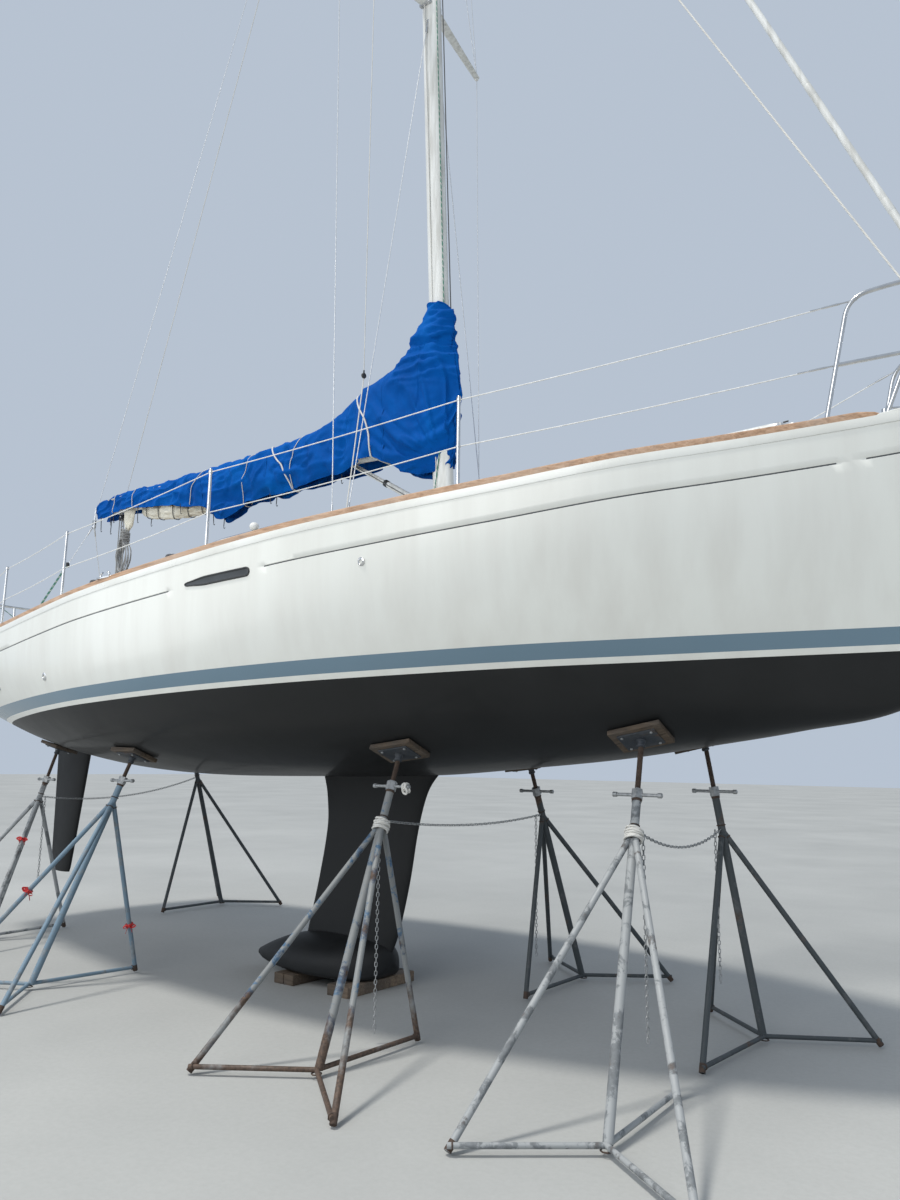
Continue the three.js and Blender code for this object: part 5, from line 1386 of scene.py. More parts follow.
def make_slide_hatch():
    x0, x1, half = -1.030, -0.330, 0.345
    start = roof_z(COMPANION["x0"], 0)
    slope = (roof_z(0.220, 0) - start) / (0.220 - COMPANION["x0"])
    lid = Shape()

    def top(x, low):
        return start + slope * (x - x0) + low

    rings = []
    for t in steps(0, 1, 24):
        x = mix(x0, x1, t)
        edge = 0.010 * (1 - min(1, min(t, 1 - t) * 14)) ** 2
        ring = []
        for y in steps(-half + 0.004, half - 0.004, 24):
            crown = 0.010 * (1 - (y / half) ** 2)
            ring.append((x, y, top(x, SLIDE_LIFT + 0.020 + crown) - edge))
        rim, under = top(x, SLIDE_LIFT + 0.014) - edge, top(x, SLIDE_LIFT)
        ring += [(x, half, rim), (x, half, under), (x, -half, under), (x, -half, rim)]
        rings.append(ring)
    lid.loft(rings)
    pane = []
    for t in steps(0.14, 0.80, 10):
        x = mix(x0, x1, t)
        pane.append([(x, y, top(x, SLIDE_LIFT + 0.0204 + 0.010 * (1 - (y / half) ** 2)) + 0.0006)
                     for y in steps(-0.225, 0.225, 12)])
    lid.loft(pane, slot=1, closed=False)
    lid.tube(rounded([(x0 + 0.035, -0.09, top(x0, 0.060)), (x0 + 0.035, -0.08, top(x0, 0.0635)),
                      (x0 + 0.035, 0.08, top(x0, 0.0635)), (x0 + 0.035, 0.09, top(x0, 0.060))],
                     0.01), 0.0028, 10, 2)
    lid.build("sliding_hatch", "slide_hatch_body", paints("gelcoat", "smoked", "steel"),
              ["companionway_hatch"], "acrylic")
    runners = Shape()
    for side in (1, -1):
        rings = []
        for x in steps(-0.998, 0.280, 16):
            z = start + slope * (x - x0)
            y = side * 0.318
            rings.append([(x, y - 0.012, z - 0.07), (x, y - 0.009, z + 0.028),
                          (x, y - 0.006, z + 0.033), (x, y + 0.006, z + 0.033),
                          (x, y + 0.009, z + 0.028), (x, y + 0.012, z - 0.07)])
        runners.loft(rings)
    runners.build("hatch_runners", "boat", paints("teak"), slot="teak")
    board = Shape()
    height = start + 0.003 - 2.7905
    for k in range(3):
        low = 2.7905 + k * height / 3
        board.box((-1.040, -0.2995, low + 0.001), (-1.016, 0.2995, low + height / 3 - 0.001), 0.004)
    for k in range(5):
        z = 3.22 + 0.022 * k
        board.box((-1.0425, -0.10, z), (-1.040, 0.10, z + 0.009), 0.001, 1)
    board.build("washboards", "boat", paints("teak_across", "black"), ["washboard"], "teak")
    cheeks = Shape()
    for side in (1, -1):
        cheeks.box((-1.056, side * 0.301, 2.78), (-1.004, side * 0.335, start - 0.03), 0.005)
    cheeks.box((-1.056, -0.335, 2.762), (-1.004, 0.335, 2.7895), 0.005)
    cheeks.build("companionway_trim", "boat", paints("teak_upright"), slot="teak")


def make_windows():
    for name, side in SIDES:
        windows = Shape()
        for x0, x1 in ((-0.82, -0.12), (0.06, 0.72)):
            rows, frame_rows = [], []
            for t in steps(0, 1, 24):
                pinch = (1 - abs(2 * t - 1) ** 6) ** 0.5
                for rows_, grow in ((rows, 0), (frame_rows, 0.016)):
                    x = mix(x0 - grow, x1 + grow, t)
                    half = column(ROOF_SECTIONS, 1, x)
                    side_h = column(ROOF_SECTIONS, 2, x)
                    middle = 0.55 * side_h + 0.03
                    tall = (0.055 + grow * 0.8) * max(pinch, 0.06)
                    row = []
                    for u in steps(-1, 1, 6):
                        h = middle + tall * u
                        share = (h - 0.06) / (side_h - 0.06)
                        y = mix(half - 0.002, half * ROOF_TUMBLE, share) + 0.005 - grow * 0.18
                        row.append((x, side * y, sheer_z(x) + h))
                    rows_.append(row)
            windows.loft(frame_rows, slot=0, closed=False)
            windows.loft(rows, slot=1, closed=False)
        piece = windows.build(f"coachroof_windows_{name}", "boat", paints("alloy", "smoked"),
                              slot="acrylic", outward=False)
        thicken(piece, 0.004)
        rail = Shape()
        feet = steps(-0.75, 1.0, 5)
        y_at = lambda x: side * (column(ROOF_SECTIONS, 1, x) * 0.70)
        for a, b in zip(feet, feet[1:]):
            arch = [(x, y_at(x), roof_z(x, y_at(x)) + 0.012 + 0.036 * math.sin(math.pi * t) ** 0.4)
                    for t, x in zip(steps(0, 1, 14), steps(a, b, 14))]
            rail.tube(arch, 0.0125, 12, flat=1)
        for x in feet:
            z = roof_z(x, y_at(x))
            rail.box((x - 0.035, y_at(x) - 0.012, z - 0.01), (x + 0.035, y_at(x) + 0.012, z + 0.024),
                     0.009)
        rail.build(f"grab_rail_{name}", "boat", paints("teak"), slot="teak")


def thicken(piece, depth):
    modifier = piece.modifiers.new("thick", "SOLIDIFY")
    modifier.thickness, modifier.offset = depth, 0
    apply(piece)
    shade(piece.data)


def winch(shape, x, y, z):
    """A two-speed winch in polished metal."""
    profile = [(0.068, -0.030), (0.068, 0.010), (0.064, 0.018), (0.055, 0.024), (0.050, 0.036),
               (0.047, 0.060), (0.047, 0.095), (0.051, 0.118), (0.060, 0.130), (0.0645, 0.136),
               (0.0645, 0.146), (0.058, 0.152), (0.058, 0.156), (0.063, 0.160), (0.060, 0.166),
               (0.035, 0.169), (0.017, 0.1695), (0.016, 0.158), (0.004, 0.158)]
    shape.lathe(profile, (x, y, z), sides=40)
    for a in around(26):
        u, v = math.cos(a), math.sin(a)
        shape.tube([(x + 0.0475 * u, y + 0.0475 * v, z + 0.045),
                    (x + 0.0478 * u, y + 0.0478 * v, z + 0.105)], 0.0018, 5)


def winch_cover(shape, x, y, z):
    """A gathered black cover over a winch."""
    rings = []
    for h, r, folds in ((0.172, 0.001, 0), (0.1715, 0.030, 0), (0.168, 0.052, 0), (0.160, 0.064, 0.1),
                        (0.148, 0.069, 0.4), (0.110, 0.066, 1), (0.060, 0.064, 1.4),
                        (0.030, 0.066, 1.8), (0.012, 0.070, 2.2), (0.004, 0.073, 2.6)):
        ring = []
        for a in around(72):
            wave = 0.0016 * folds * (math.sin(11 * a + x) + 0.5 * math.sin(17 * a + 2 * y))
            ring.append((x + (r + wave) * math.cos(a), y + (r + wave) * math.sin(a), z + h))
        rings.append(ring)
    shape.loft(rings, caps=False)


def make_coamings():
    for name, side in SIDES:
        shape = Shape()
        rings = []
        for x in steps(-3.560, -0.990, 60):
            foot, top = sheer_z(x) - 0.02, sheer_z(x) + COAMING_HEIGHT
            top -= 0.095 * (1 - smooth((x + 3.560) / 0.34))
            ring = [(1.110, foot), (1.109, foot + 0.05), (1.088, top - 0.035)]
            ring += [(1.068 + 0.02 * math.cos(a), top - 0.02 + 0.02 * math.sin(a))
                     for a in steps(0.3, math.pi / 2, 5)]
            ring += [(0.978 - 0.016 * math.sin(a), top - 0.016 + 0.016 * math.cos(a))
                     for a in steps(0, math.pi / 2 - 0.2, 5)]
            ring += [(0.956, foot + 0.05), (0.9555, foot)]
            rings.append([(x, side * y, z) for y, z in ring])
        shape.loft(rings)
        shape.build(f"coaming_moulding_{name}", "boat", paints("gelcoat"), [f"coaming_{name}"],
                    "gelcoat")
        y = side * 1.0325
        for k, x in enumerate(WINCH_PLACES):
            z = sheer_z(x) + COAMING_HEIGHT
            metal = Shape()
            metal.lathe([(0.082, -0.012), (0.082, 0.004), (0.076, 0.008)], (x, y, z), sides=40)
            winch(metal, x, y, z)
            metal.build(f"winch_{k + 1}_{name}", "boat", paints("steel"), slot="steel")
            cover = Shape()
            winch_cover(cover, x, y, z + 0.001)
            piece = cover.build(f"winch_cover_{k + 1}_{name}", "boat", paints("webbing"),
                                slot="canvas")
            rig.sheet(piece, flat=(0.47, 0.25), held="gathered",
                     rests_on=[f"winch_{k + 1}_{name}"], area=0.075)
        trim = Shape()
        for x in (-1.62, -2.80):
            z = sheer_z(x) + COAMING_HEIGHT
            trim.box((x - 0.022, y - 0.014, z - 0.01), (x + 0.022, y + 0.014, z + 0.026), 0.006)
            trim.tube([(x - 0.078, y, z + 0.036), (x - 0.05, y, z + 0.030), (x, y, z + 0.028),
                       (x + 0.05, y, z + 0.030), (x + 0.078, y, z + 0.036)],
                      [0.004, 0.009, 0.013, 0.009, 0.004], 12)
        for low, high in ((-3.38, -2.62), (-2.32, -1.48)):
            track_y = side * 1.20
            rows = []
            for x in steps(low, high, 20):
                z = deck_z(x, track_y)
                rows.append([(x, track_y - 0.016, z), (x, track_y - 0.016, z + 0.010),
                             (x, track_y - 0.009, z + 0.013), (x, track_y + 0.009, z + 0.013),
                             (x, track_y + 0.016, z + 0.010), (x, track_y + 0.016, z)])
            trim.loft(rows)
        trim.build(f"coaming_fittings_{name}", "boat", paints("steel"), slot="steel")


def make_toe_rails():
    for name, side in SIDES:
        rail = Shape()
        rings = []
        for x in steps(-4.930, 4.100, 240):
            outer, low = half_breadth(x) - 0.005, sheer_z(x) - 0.004
            high = sheer_z(x) + TOE_RAIL_HEIGHT
            end = min(1, (4.100 - x) / 0.12) ** 0.5 if x > 3.98 else 1
            high = mix(low + 0.012, high, end)
            px = x + lean(x, low)
            section = [(outer + 0.001, low), (outer, high - 0.010), (outer - 0.003, high - 0.003),
                       (outer - 0.008, high), (outer - 0.020, high), (outer - 0.025, high - 0.003),
                       (outer - 0.028, high - 0.010), (outer - 0.030, low)]
            rings.append([(px, side * y, z) for y, z in section])
        rail.loft(rings)
        rail.build(f"teak_toe_rail_{name}", "boat", paints("teak"), [f"toe_rail_{name}"], "teak")
        trim = Shape()
        rows = []
        for x in steps(-4.950, 4.560, 220):
            px = x + lean(x, sheer_z(x))
            y, z = half_breadth(x), sheer_z(x)
            section = [(y - 0.004, z - 0.052), (y + 0.0035, z - 0.048), (y + 0.005, z - 0.036),
                       (y + 0.0035, z - 0.012), (y + 0.001, z + 0.003), (y - 0.012, z + 0.004)]
            rows.append([(px, side * a, b) for a, b in section])
        trim.loft(rows, closed=False)
        rows = []
        for x in steps(4.060, 4.800, 40):
            y, z = half_breadth(x) - 0.004, sheer_z(x)
            high = z + 0.016 + 0.014 * smooth((x - 4.06) / 0.2) - 0.02 * smooth((x - 4.6) / 0.2)
            section = [(y, z - 0.004), (y - 0.001, high - 0.006), (y - 0.008, high),
                       (max(y - 0.026, 0.001), high), (max(y - 0.034, 0.0005), high - 0.006),
                       (max(y - 0.036, 0), z)]
            rows.append([(x, side * a, b) for a, b in section])
        trim.loft(rows)
        trim.build(f"gunwale_{name}", "boat", paints("gelcoat"), slot="gelcoat")


CLEAT_HALF = 0.11


def cleat(shape, x, y, z, heading):
    c, s = math.cos(heading), math.sin(heading)
    at = lambda u, h: (x + u * c, y + u * s, z + h)
    half = CLEAT_HALF
    shape.tube([at(-half, 0.046), at(-half * 0.7, 0.042), at(0, 0.038), at(half * 0.7, 0.042),
                at(half, 0.046)], [0.005, 0.009, 0.012, 0.009, 0.005], 12)
    for u in (-half * 0.36, half * 0.36):
        shape.tube([at(u * 1.25, -0.005), at(u, 0.02), at(u * 0.92, 0.038)], [0.013, 0.009, 0.009],
                   12)
    place = Matrix.Translation((x, y, z)) @ Matrix.Rotation(heading, 4, "Z")
    shape.box((-half * 0.62, -0.018, -0.004), (half * 0.62, 0.018, 0.006), 0.003, place=place)


def make_deck_fittings():
    metal = Shape()
    for side in (1, -1):
        for x, inboard, turn in ((4.22, 0.12, 0.45), (0.10 - 1.26, 0.13, 0.03), (-4.55, 0.14, -0.1)):
            y = side * (half_breadth(x) - inboard)
            cleat(metal, x, y, deck_z(x, y), -side * turn)
        x = -1.160
        y, z = side * (half_breadth(x) - 0.020), sheer_z(x)
        metal.box((x - 0.085, y - 0.020, z + 0.038), (x + 0.085, y + 0.022, z + 0.052), 0.005)
        for u in (-0.055, 0.055):
            metal.tube(curve([(x + u, y, z + 0.05), (x + u * 1.05, y, z + 0.075),
                              (x + u * 0.55, y, z + 0.088)], 4), 0.008, 10)
    metal.build("cleats_and_fairleads", "boat", paints("steel"), slot="steel")
    vents = Shape()
    for y in (-0.62, 0.62):
        x = -0.58
        z = roof_z(x, y)
        vents.lathe([(0.052, -0.004), (0.052, 0.006), (0.044, 0.012), (0.040, 0.030),
                     (0.050, 0.034), (0.055, 0.042), (0.050, 0.054), (0.034, 0.066),
                     (0.012, 0.071)], (x, y, z), sides=32)
    x, y = 2.16, 0.0
    vents.lathe([(0.075, -0.004), (0.075, 0.006), (0.066, 0.014), (0.058, 0.026), (0.072, 0.030),
                 (0.070, 0.044), (0.040, 0.058), (0.010, 0.062)], (x, y, roof_z(x, y)), sides=36)
    vents.build("roof_vents", "boat", paints("white_plastic"), slot="gelcoat")


def make_hoops():
    """The folded sprayhood's two hoops, with a lamp on each side."""
    hoop = Shape()
    path = [(-1.17, -0.84, 3.22), (-1.17, -0.86, 3.47), (-0.98, -0.84, 3.515),
            (-0.40, -0.786, 3.556), (0.32, -0.72, 3.580)]
    for lift in (0.0, -0.045):
        half = [Vector(p) + upward(lift if k > 1 else 0) for k, p in enumerate(path)]
        hoop.tube(rounded(both_sides(half), 0.09, 8), 0.0115 if lift else RAIL_R, 12)
    hoop.build("sprayhood_hoops", "boat", paints("steel"), slot="steel")
    knob = Shape()
    for side in (-1, 1):
        knob.lathe([(0.020, 0.0), (0.034, 0.010), (0.040, 0.030), (0.034, 0.050), (0.018, 0.062),
                    (0.002, 0.066)], (-0.58, side * 0.80, 3.556), sides=28)
    knob.build("hoop_lights", "boat", paints("white_plastic"), slot="gelcoat")


# Guard rails

# top rail, middle rail, then each leg's foot on the deck and its head
PULPIT = (
    [(3.990, 0.548, 4.230), (4.240, 0.455, 4.285), (4.560, 0.290, 4.320), (4.850, 0.130, 4.335)],
    [(3.905, 0.548, 3.858), (4.240, 0.398, 3.905), (4.600, 0.205, 3.960), (4.800, 0.102, 3.985)],
    [((3.828, 0.548), (3.990, 0.548, 4.230)), ((4.100, 0.400), (4.400, 0.372, 4.303)),
     ((4.740, 0.062), (4.850, 0.130, 4.335))],
)
PUSHPIT = (
    [(-4.150, 1.300, 3.385), (-4.700, 1.180, 3.370), (-4.890, 1.070, 3.368), (-4.965, 0.880, 3.368)],
    [(-4.138, 1.303, 3.085), (-4.682, 1.184, 3.075), (-4.872, 1.068, 3.074), (-4.940, 0.880, 3.074)],
    [((-4.125, 1.308), (-4.150, 1.300, 3.385)), ((-4.662, 1.188), (-4.700, 1.180, 3.370)),
     ((-4.905, 0.560), (-4.965, 0.560, 3.368))],
)
STANCHIONS = (1.955, 0.010, -1.950, -3.300)
UPPER_LINE, LOWER_LINE = 0.580, 0.285  # heights of the guard lines on their posts


def make_rails():
    def on_deck(x, y):
        return Vector((x, y, deck_z(x, y) - 0.012))

    def mirrored(points, side):
        return [Vector((x, side * y, z)) for x, y, z in points]

    def foot(shape, x, y):
        z = deck_z(x, y)
        shape.lathe([(0.034, -0.004), (0.034, 0.004), (0.030, 0.007), (0.018, 0.010),
                     (0.0165, 0.040), (0.0135, 0.043)], (x, y, z), sides=28)
        for k in range(3):
            a = 2.1 * k + 0.4
            shape.lathe([(0.0055, 0), (0.0055, 0.007), (0.003, 0.010)],
                        (x + 0.026 * math.cos(a), y + 0.026 * math.sin(a), z), sides=12)

    for name, table in (("pulpit", PULPIT), ("pushpit", PUSHPIT)):
        rail = Shape()
        top, middle, legs = table
        x, y = legs[0][0]
        whole = both_sides([on_deck(x, y), *mirrored(top, 1)])
        rail.tube(rounded(whole, 0.11, 10), RAIL_R, 16)
        if name == "pushpit":
            rail.tube(rounded(both_sides(mirrored(middle, 1)), 0.14, 8), RAIL_R * 0.95, 16)
        for side in (1, -1):
            if name == "pulpit":
                rail.tube(rounded(mirrored(middle, side), 0.12, 8), RAIL_R * 0.95, 16)
            for (x, y), head in legs[1:]:
                rail.tube([on_deck(x, side * y), mirrored([head], side)[0]], RAIL_R, 16)
            for (x, y), _ in legs:
                foot(rail, x, side * y)
        rail.build(f"{name}_rail", "boat", paints("steel"), [name], "steel")
    for name, side in SIDES:
        feet = [(x, side * (half_breadth(x) - 0.058)) for x in STANCHIONS]
        for k, (x, y) in enumerate(feet):
            post = Shape()
            z = deck_z(x, y)
            post.tube([(x, y, z - 0.01), (x, y, z + 0.592)], [RAIL_R, 0.0112], 18)
            post.lathe([(0.0115, 0.590), (0.0135, 0.592), (0.0135, 0.597), (0.009, 0.604),
                        (0.002, 0.606)], (x, y, z), sides=18)
            for up in (LOWER_LINE, UPPER_LINE):
                post.lathe([(0.0148, up - 0.007), (0.0152, up), (0.0148, up + 0.007)], (x, y, z),
                           sides=18)
            post.lathe([(0.021, -0.008), (0.021, 0.004), (0.0205, 0.042), (0.0165, 0.048)],
                       (x, y, z), sides=24)
            post.box((x - 0.045, y - 0.030, z - 0.010), (x + 0.045, y + 0.030, z + 0.006), 0.003)
            post.build(f"stanchion_post_{k + 1}_{name}", "boat", paints("steel"),
                       [f"stanchion_{k + 1}_{name}"], "steel")
        for level, up, row, drop in (("upper", UPPER_LINE, 0, 0.025), ("lower", LOWER_LINE, 1, 0)):
            line = Shape()
            ends = [p - upward(drop) for p in mirrored([PULPIT[row][0], PUSHPIT[row][0]], side)]
            posts = [Vector((x, y, deck_z(x, y) + up)) for x, y in feet]
            route = [ends[0], *posts, ends[1]]
            path = [route[0]]
            for a, b in zip(route, route[1:]):
                path += [a.lerp(b, t) - Vector((0, 0, 0.012 * math.sin(math.pi * t)))
                         for t in steps(0, 1, 8)[1:]]
            line.tube(path, 0.0035, 10)
            for end, near in ((route[0], route[1]), (route[-1], route[-2])):
                run = (near - end).normalized()
                line.tube([end - run * 0.045, end + run * 0.05], 0.0045, 10, 1)
                line.tube([end + run * 0.035, end + run * 0.06, end + run * 0.12, end + run * 0.15],
                          [0.0045, 0.0068, 0.0068, 0.004], 12, 1)
                line.tube([end + run * 0.15, end + run * 0.20], 0.0045, 10, 1)
            line.build(f"guard_line_{level}_{name}", "boat", paints("white_plastic", "steel"),
                       [f"lifeline_{level}_{name}"], "rope")


# Keel, rudder and steering

FOIL = [(0, 0), (0.008, 0.22), (0.03, 0.42), (0.06, 0.60), (0.1, 0.76), (0.18, 0.93), (0.28, 1),
        (0.38, 0.97), (0.5, 0.88), (0.64, 0.69), (0.78, 0.44), (0.9, 0.21), (1, 0.04)]


def foil_ring(fore, aft, half, z):
    near = [(mix(fore, aft, u), half * v, z) for u, v in FOIL[1:]]
    return [(fore, 0, z)] + near + [(x, -y, z) for x, y, z in near[::-1]]


def row_at(table, z):
    return [column(table, k, z) for k in range(1, len(table[0]))]


FIN_SECTIONS = [
    (0.230, 0.305, -0.625, 0.062),
    (0.420, 0.388, -0.575, 0.056),
    (0.800, 0.488, -0.480, 0.058),
    (1.200, 0.562, -0.410, 0.062),
    (1.440, 0.632, -0.428, 0.068),
    (1.560, 0.700, -0.460, 0.078),
    (1.720, 0.860, -0.520, 0.100),
]
# x, sole, top, half-width
BULB_SECTIONS = [
    (0.335, 0.200, 0.270, 0.020),
    (0.300, 0.130, 0.320, 0.110),
    (0.220, 0.084, 0.345, 0.205),
    (0.100, 0.080, 0.360, 0.290),
    (-0.150, 0.080, 0.365, 0.355),
    (-0.420, 0.080, 0.355, 0.355),
    (-0.700, 0.080, 0.310, 0.275),
    (-0.950, 0.085, 0.225, 0.165),
    (-1.150, 0.092, 0.140, 0.040),
]
BULB_WAIST = 0.3
BULB_BILGE = 0.4
BLADE_SECTIONS = [
    (0.500, -4.325, -4.665, 0.034),
    (0.560, -4.305, -4.690, 0.040),
    (1.200, -4.190, -4.720, 0.050),
    (2.100, -4.030, -4.765, 0.056),
]


def make_keel():
    keel = Shape()
    keel.loft([foil_ring(*row_at(FIN_SECTIONS, z), z) for z in steps(0.230, 1.70, 64)])
    rings = []
    for x in steps(BULB_SECTIONS[0][0], BULB_SECTIONS[-1][0], 110):
        low, high, half = row_at(BULB_SECTIONS, x)
        waist = low + BULB_WAIST * (high - low)
        ring = []
        for a in around(56):
            down = math.cos(a)
            power = BULB_BILGE if down > 0 else 1
            wide = math.copysign(abs(math.sin(a)) ** power, math.sin(a))
            reach = math.copysign(abs(down) ** power, down)
            rise = waist - low if down > 0 else high - waist
            ring.append((x, half * wide, max(waist - rise * reach, 0.0805)))
        rings.append(ring)
    keel.loft(rings)
    keel.build("fin_keel", "boat", paints("antifouling"), ["keel"], "antifouling", 45)


def make_rudder():
    blade = Shape()
    rings = []
    for z in steps(0.500, 2.06, 60):
        ring = foil_ring(*row_at(BLADE_SECTIONS, z), z)
        rings.append([(x, y, min(h, hull_z(x, y) - 0.026)) for x, y, h in ring])
    blade.loft(rings)
    blade.tube([(-4.277, 0, 1.5), (-4.179, 0, 2.39)], 0.032, 32, 1)
    blade.build("rudder_blade", "rudder_body", paints("antifouling", "steel"), ["rudder"],
                "antifouling", 45)
    bearing = Shape()
    spot = Vector((-4.255, 0, 1.7))
    axis = Vector((0.10948, 0, 0.99399))
    base = spot + axis * ((hull_z(-4.22, 0) - 1.7) / axis.z - 0.004)
    bearing.lathe([(0.036, 0), (0.060, 0.0), (0.066, 0.012), (0.066, 0.03)], base, axis, 32)
    bearing.build("rudder_bearing", "boat", paints("black"), slot="antifouling")


WHEEL = Vector((-3.062, 0, 2.890))
WHEEL_R = 0.360


def make_steering():
    column_x = -2.940
    stand = Shape()
    low, top = WELL["z"] + 0.0005, 2.990
    profile = [(0.090, low), (0.090, low + 0.014), (0.084, low + 0.020), (0.068, low + 0.030),
               (0.062, low + 0.050), (0.060, 2.5), (0.056, 2.80), (0.054, top - 0.045),
               (0.060, top - 0.030), (0.082, top - 0.008), (0.084, top + 0.010),
               (0.078, top + 0.040), (0.070, top + 0.052)]
    stand.lathe(profile, (column_x, 0, 0), sides=40)
    stand.lathe([(0.070, 0.050), (0.064, 0.068), (0.048, 0.081), (0.026, 0.0875), (0.003, 0.0885)],
                (column_x, 0, top), sides=40, slot=1)
    stand.lathe([(0.030, 0), (0.030, 0.05), (0.024, 0.06), (0.024, 0.122)], (column_x, 0, WHEEL.z),
                (-1, 0, 0), 24, 2)
    for side in (1, -1):
        stand.tube(rounded([(column_x + 0.05, side * 0.075, low + 0.012),
                            (column_x + 0.055, side * 0.085, 2.75),
                            (column_x + 0.065, side * 0.085, 3.045),
                            (column_x + 0.07, 0, 3.05)], 0.05, 8), 0.0115, 14, 2)
    for k in range(6):
        a = k * math.pi / 3 + 0.2
        stand.lathe([(0.007, 0), (0.007, 0.006), (0.003, 0.009)],
                    (column_x + 0.077 * math.cos(a), 0.077 * math.sin(a), low + 0.014), sides=10,
                    slot=2)
    stand.build("pedestal", "boat", paints("gelcoat", "smoked", "steel"), ["steering_pedestal"],
                "gelcoat")
    wheel = Shape()
    ring = [WHEEL + Vector((0, WHEEL_R * math.cos(a), WHEEL_R * math.sin(a)))
            for a in steps(0, 2 * math.pi, 96)[:-1]]
    wheel.tube(ring, 0.0118, 16, 1, closed=True)
    for k in range(5):
        a = 2 * math.pi * k / 5 + math.pi / 2
        out = Vector((0, math.cos(a), math.sin(a)))
        wheel.tube([WHEEL + Vector((-0.014, 0, 0)) + out * 0.02,
                    WHEEL + Vector((-0.004, 0, 0)) + out * 0.2, WHEEL + out * (WHEEL_R - 0.008)],
                   [0.010, 0.008, 0.0065], 14)
    wheel.lathe([(0.038, -0.0255), (0.038, -0.012), (0.046, -0.004), (0.046, 0.012), (0.034, 0.020),
                 (0.020, 0.030), (0.006, 0.032)], WHEEL, (-1, 0, 0), 32)
    wheel.build("wheel", "wheel_body", paints("steel", "webbing"), ["steering_wheel"], "steel")


# Mast and its rigging

def mast_size(h):
    start = 0.75 * MAST_LENGTH
    return 1 - (1 - MAST_TAPER) * max(0, (h - start) / (MAST_LENGTH - start))


def mast_ring(h, grow=0.0, parts=48):
    """The mast's oval with the sail groove in its after edge."""
    a, b = MAST_SECTION[0] / 2 * mast_size(h) + grow, MAST_SECTION[1] / 2 * mast_size(h) + grow
    ring = []
    for k in range(parts):
        t = 2 * math.pi * (k + 0.5) / parts
        x, y = a * math.cos(t), b * math.sin(t)
        ring.append(from_mast(x, y, h))
    groove = [(-a + 0.0005, 0.007), (-a + 0.010, 0.004), (-a + 0.016, 0.008), (-a + 0.022, 0),
              (-a + 0.016, -0.008), (-a + 0.010, -0.004), (-a + 0.0005, -0.007)]
    if grow:
        return ring
    half = parts // 2
    return ring[:half] + [from_mast(x, y, h) for x, y in groove] + ring[half:]


def band_round(shape, h, high, thick, slot=0):
    rings = [mast_ring(h - high / 2, 0.001), mast_ring(h - high / 2 + 0.003, thick),
             mast_ring(h + high / 2 - 0.003, thick), mast_ring(h + high / 2, 0.001)]
    shape.loft(rings, slot)


def make_mast():
    mast = Shape()
    heights = steps(0, 0.75 * MAST_LENGTH, 20) + steps(0.75 * MAST_LENGTH, MAST_LENGTH, 16)[1:]
    mast.loft([mast_ring(h) for h in heights])
    band_round(mast, 0.05, 0.08, 0.006, 1)
    place = mast_matrix()
    mast.box((-0.120, -0.085, 0.0), (0.120, 0.085, 0.022), 0.006, 1, place)
    mast.box((-0.170, -0.020, MAST_LENGTH - 0.070), (0.070, 0.020, MAST_LENGTH + 0.010), 0.008, 1,
             place)
    for x in (-0.150, 0.052):
        mast.lathe([(0.030, -0.009), (0.030, -0.006), (0.024, 0), (0.030, 0.006), (0.030, 0.009)],
                   from_mast(x, 0, MAST_LENGTH - 0.03), (0, 1, 0), 28, 2)
    for h, gap in ((GOOSENECK_HEIGHT, 0.070), (VANG_HEIGHT, 0.040)):
        for s in (-1, 1):
            mid = h + s * (gap / 2 + 0.006)
            mast.box((PIVOT_X - 0.024, -0.024, mid - 0.006), (-0.075, 0.024, mid + 0.006), 0.005,
                     3, place)
        mast.box((-0.098, -0.028, h - gap / 2 - 0.03), (-0.090, 0.028, h + gap / 2 + 0.03), 0.003,
                 3, place)
        end = gap / 2 + 0.012
        mast.tube([from_mast(PIVOT_X, 0, h - end), from_mast(PIVOT_X, 0, h + end)], 0.008, 20, 3)
    winch = [(0.045, -0.01), (0.045, 0.004), (0.033, 0.012), (0.030, 0.05), (0.038, 0.058),
             (0.038, 0.066), (0.020, 0.070), (0.010, 0.070)]
    mast.lathe(winch, from_mast(0.01, 0.058, 0.300), (0, 1, 0), 32, 3)
    for s, x, h in ((1, 0.045, 0.150), (1, -0.050, 0.180), (-1, 0.045, 0.200), (-1, 0.0, 0.130)):
        y = s * (0.0585 if abs(x) < 0.04 else 0.053)
        mast.tube([from_mast(x, y + s * 0.022, h - 0.065), from_mast(x, y + s * 0.018, h),
                   from_mast(x, y + s * 0.022, h + 0.065)], [0.005, 0.009, 0.005], 10, 3)
        for u in (-0.020, 0.020):
            mast.tube([from_mast(x, y - s * 0.006, h + u), from_mast(x, y + s * 0.018, h + u)],
                      0.008, 10, 3)
    mast.build("mast_extrusion", "boat", paints("spar", "alloy", "black", "steel"), ["mast"], "spar")


SPREADERS = (
    dict(name="lower", h=4.906, reach=0.970, sweep=0.200, chord=0.095),
    dict(name="upper", h=8.450, reach=0.700, sweep=0.145, chord=0.080),
)
FORESTAY_H = 10.903
CHAIN = dict(cap=0.450, lower=0.560, y=0.920)


def spreader_tip(row, side):
    return from_mast(-row["sweep"], side * row["reach"], row["h"] + row["reach"] * 0.04)


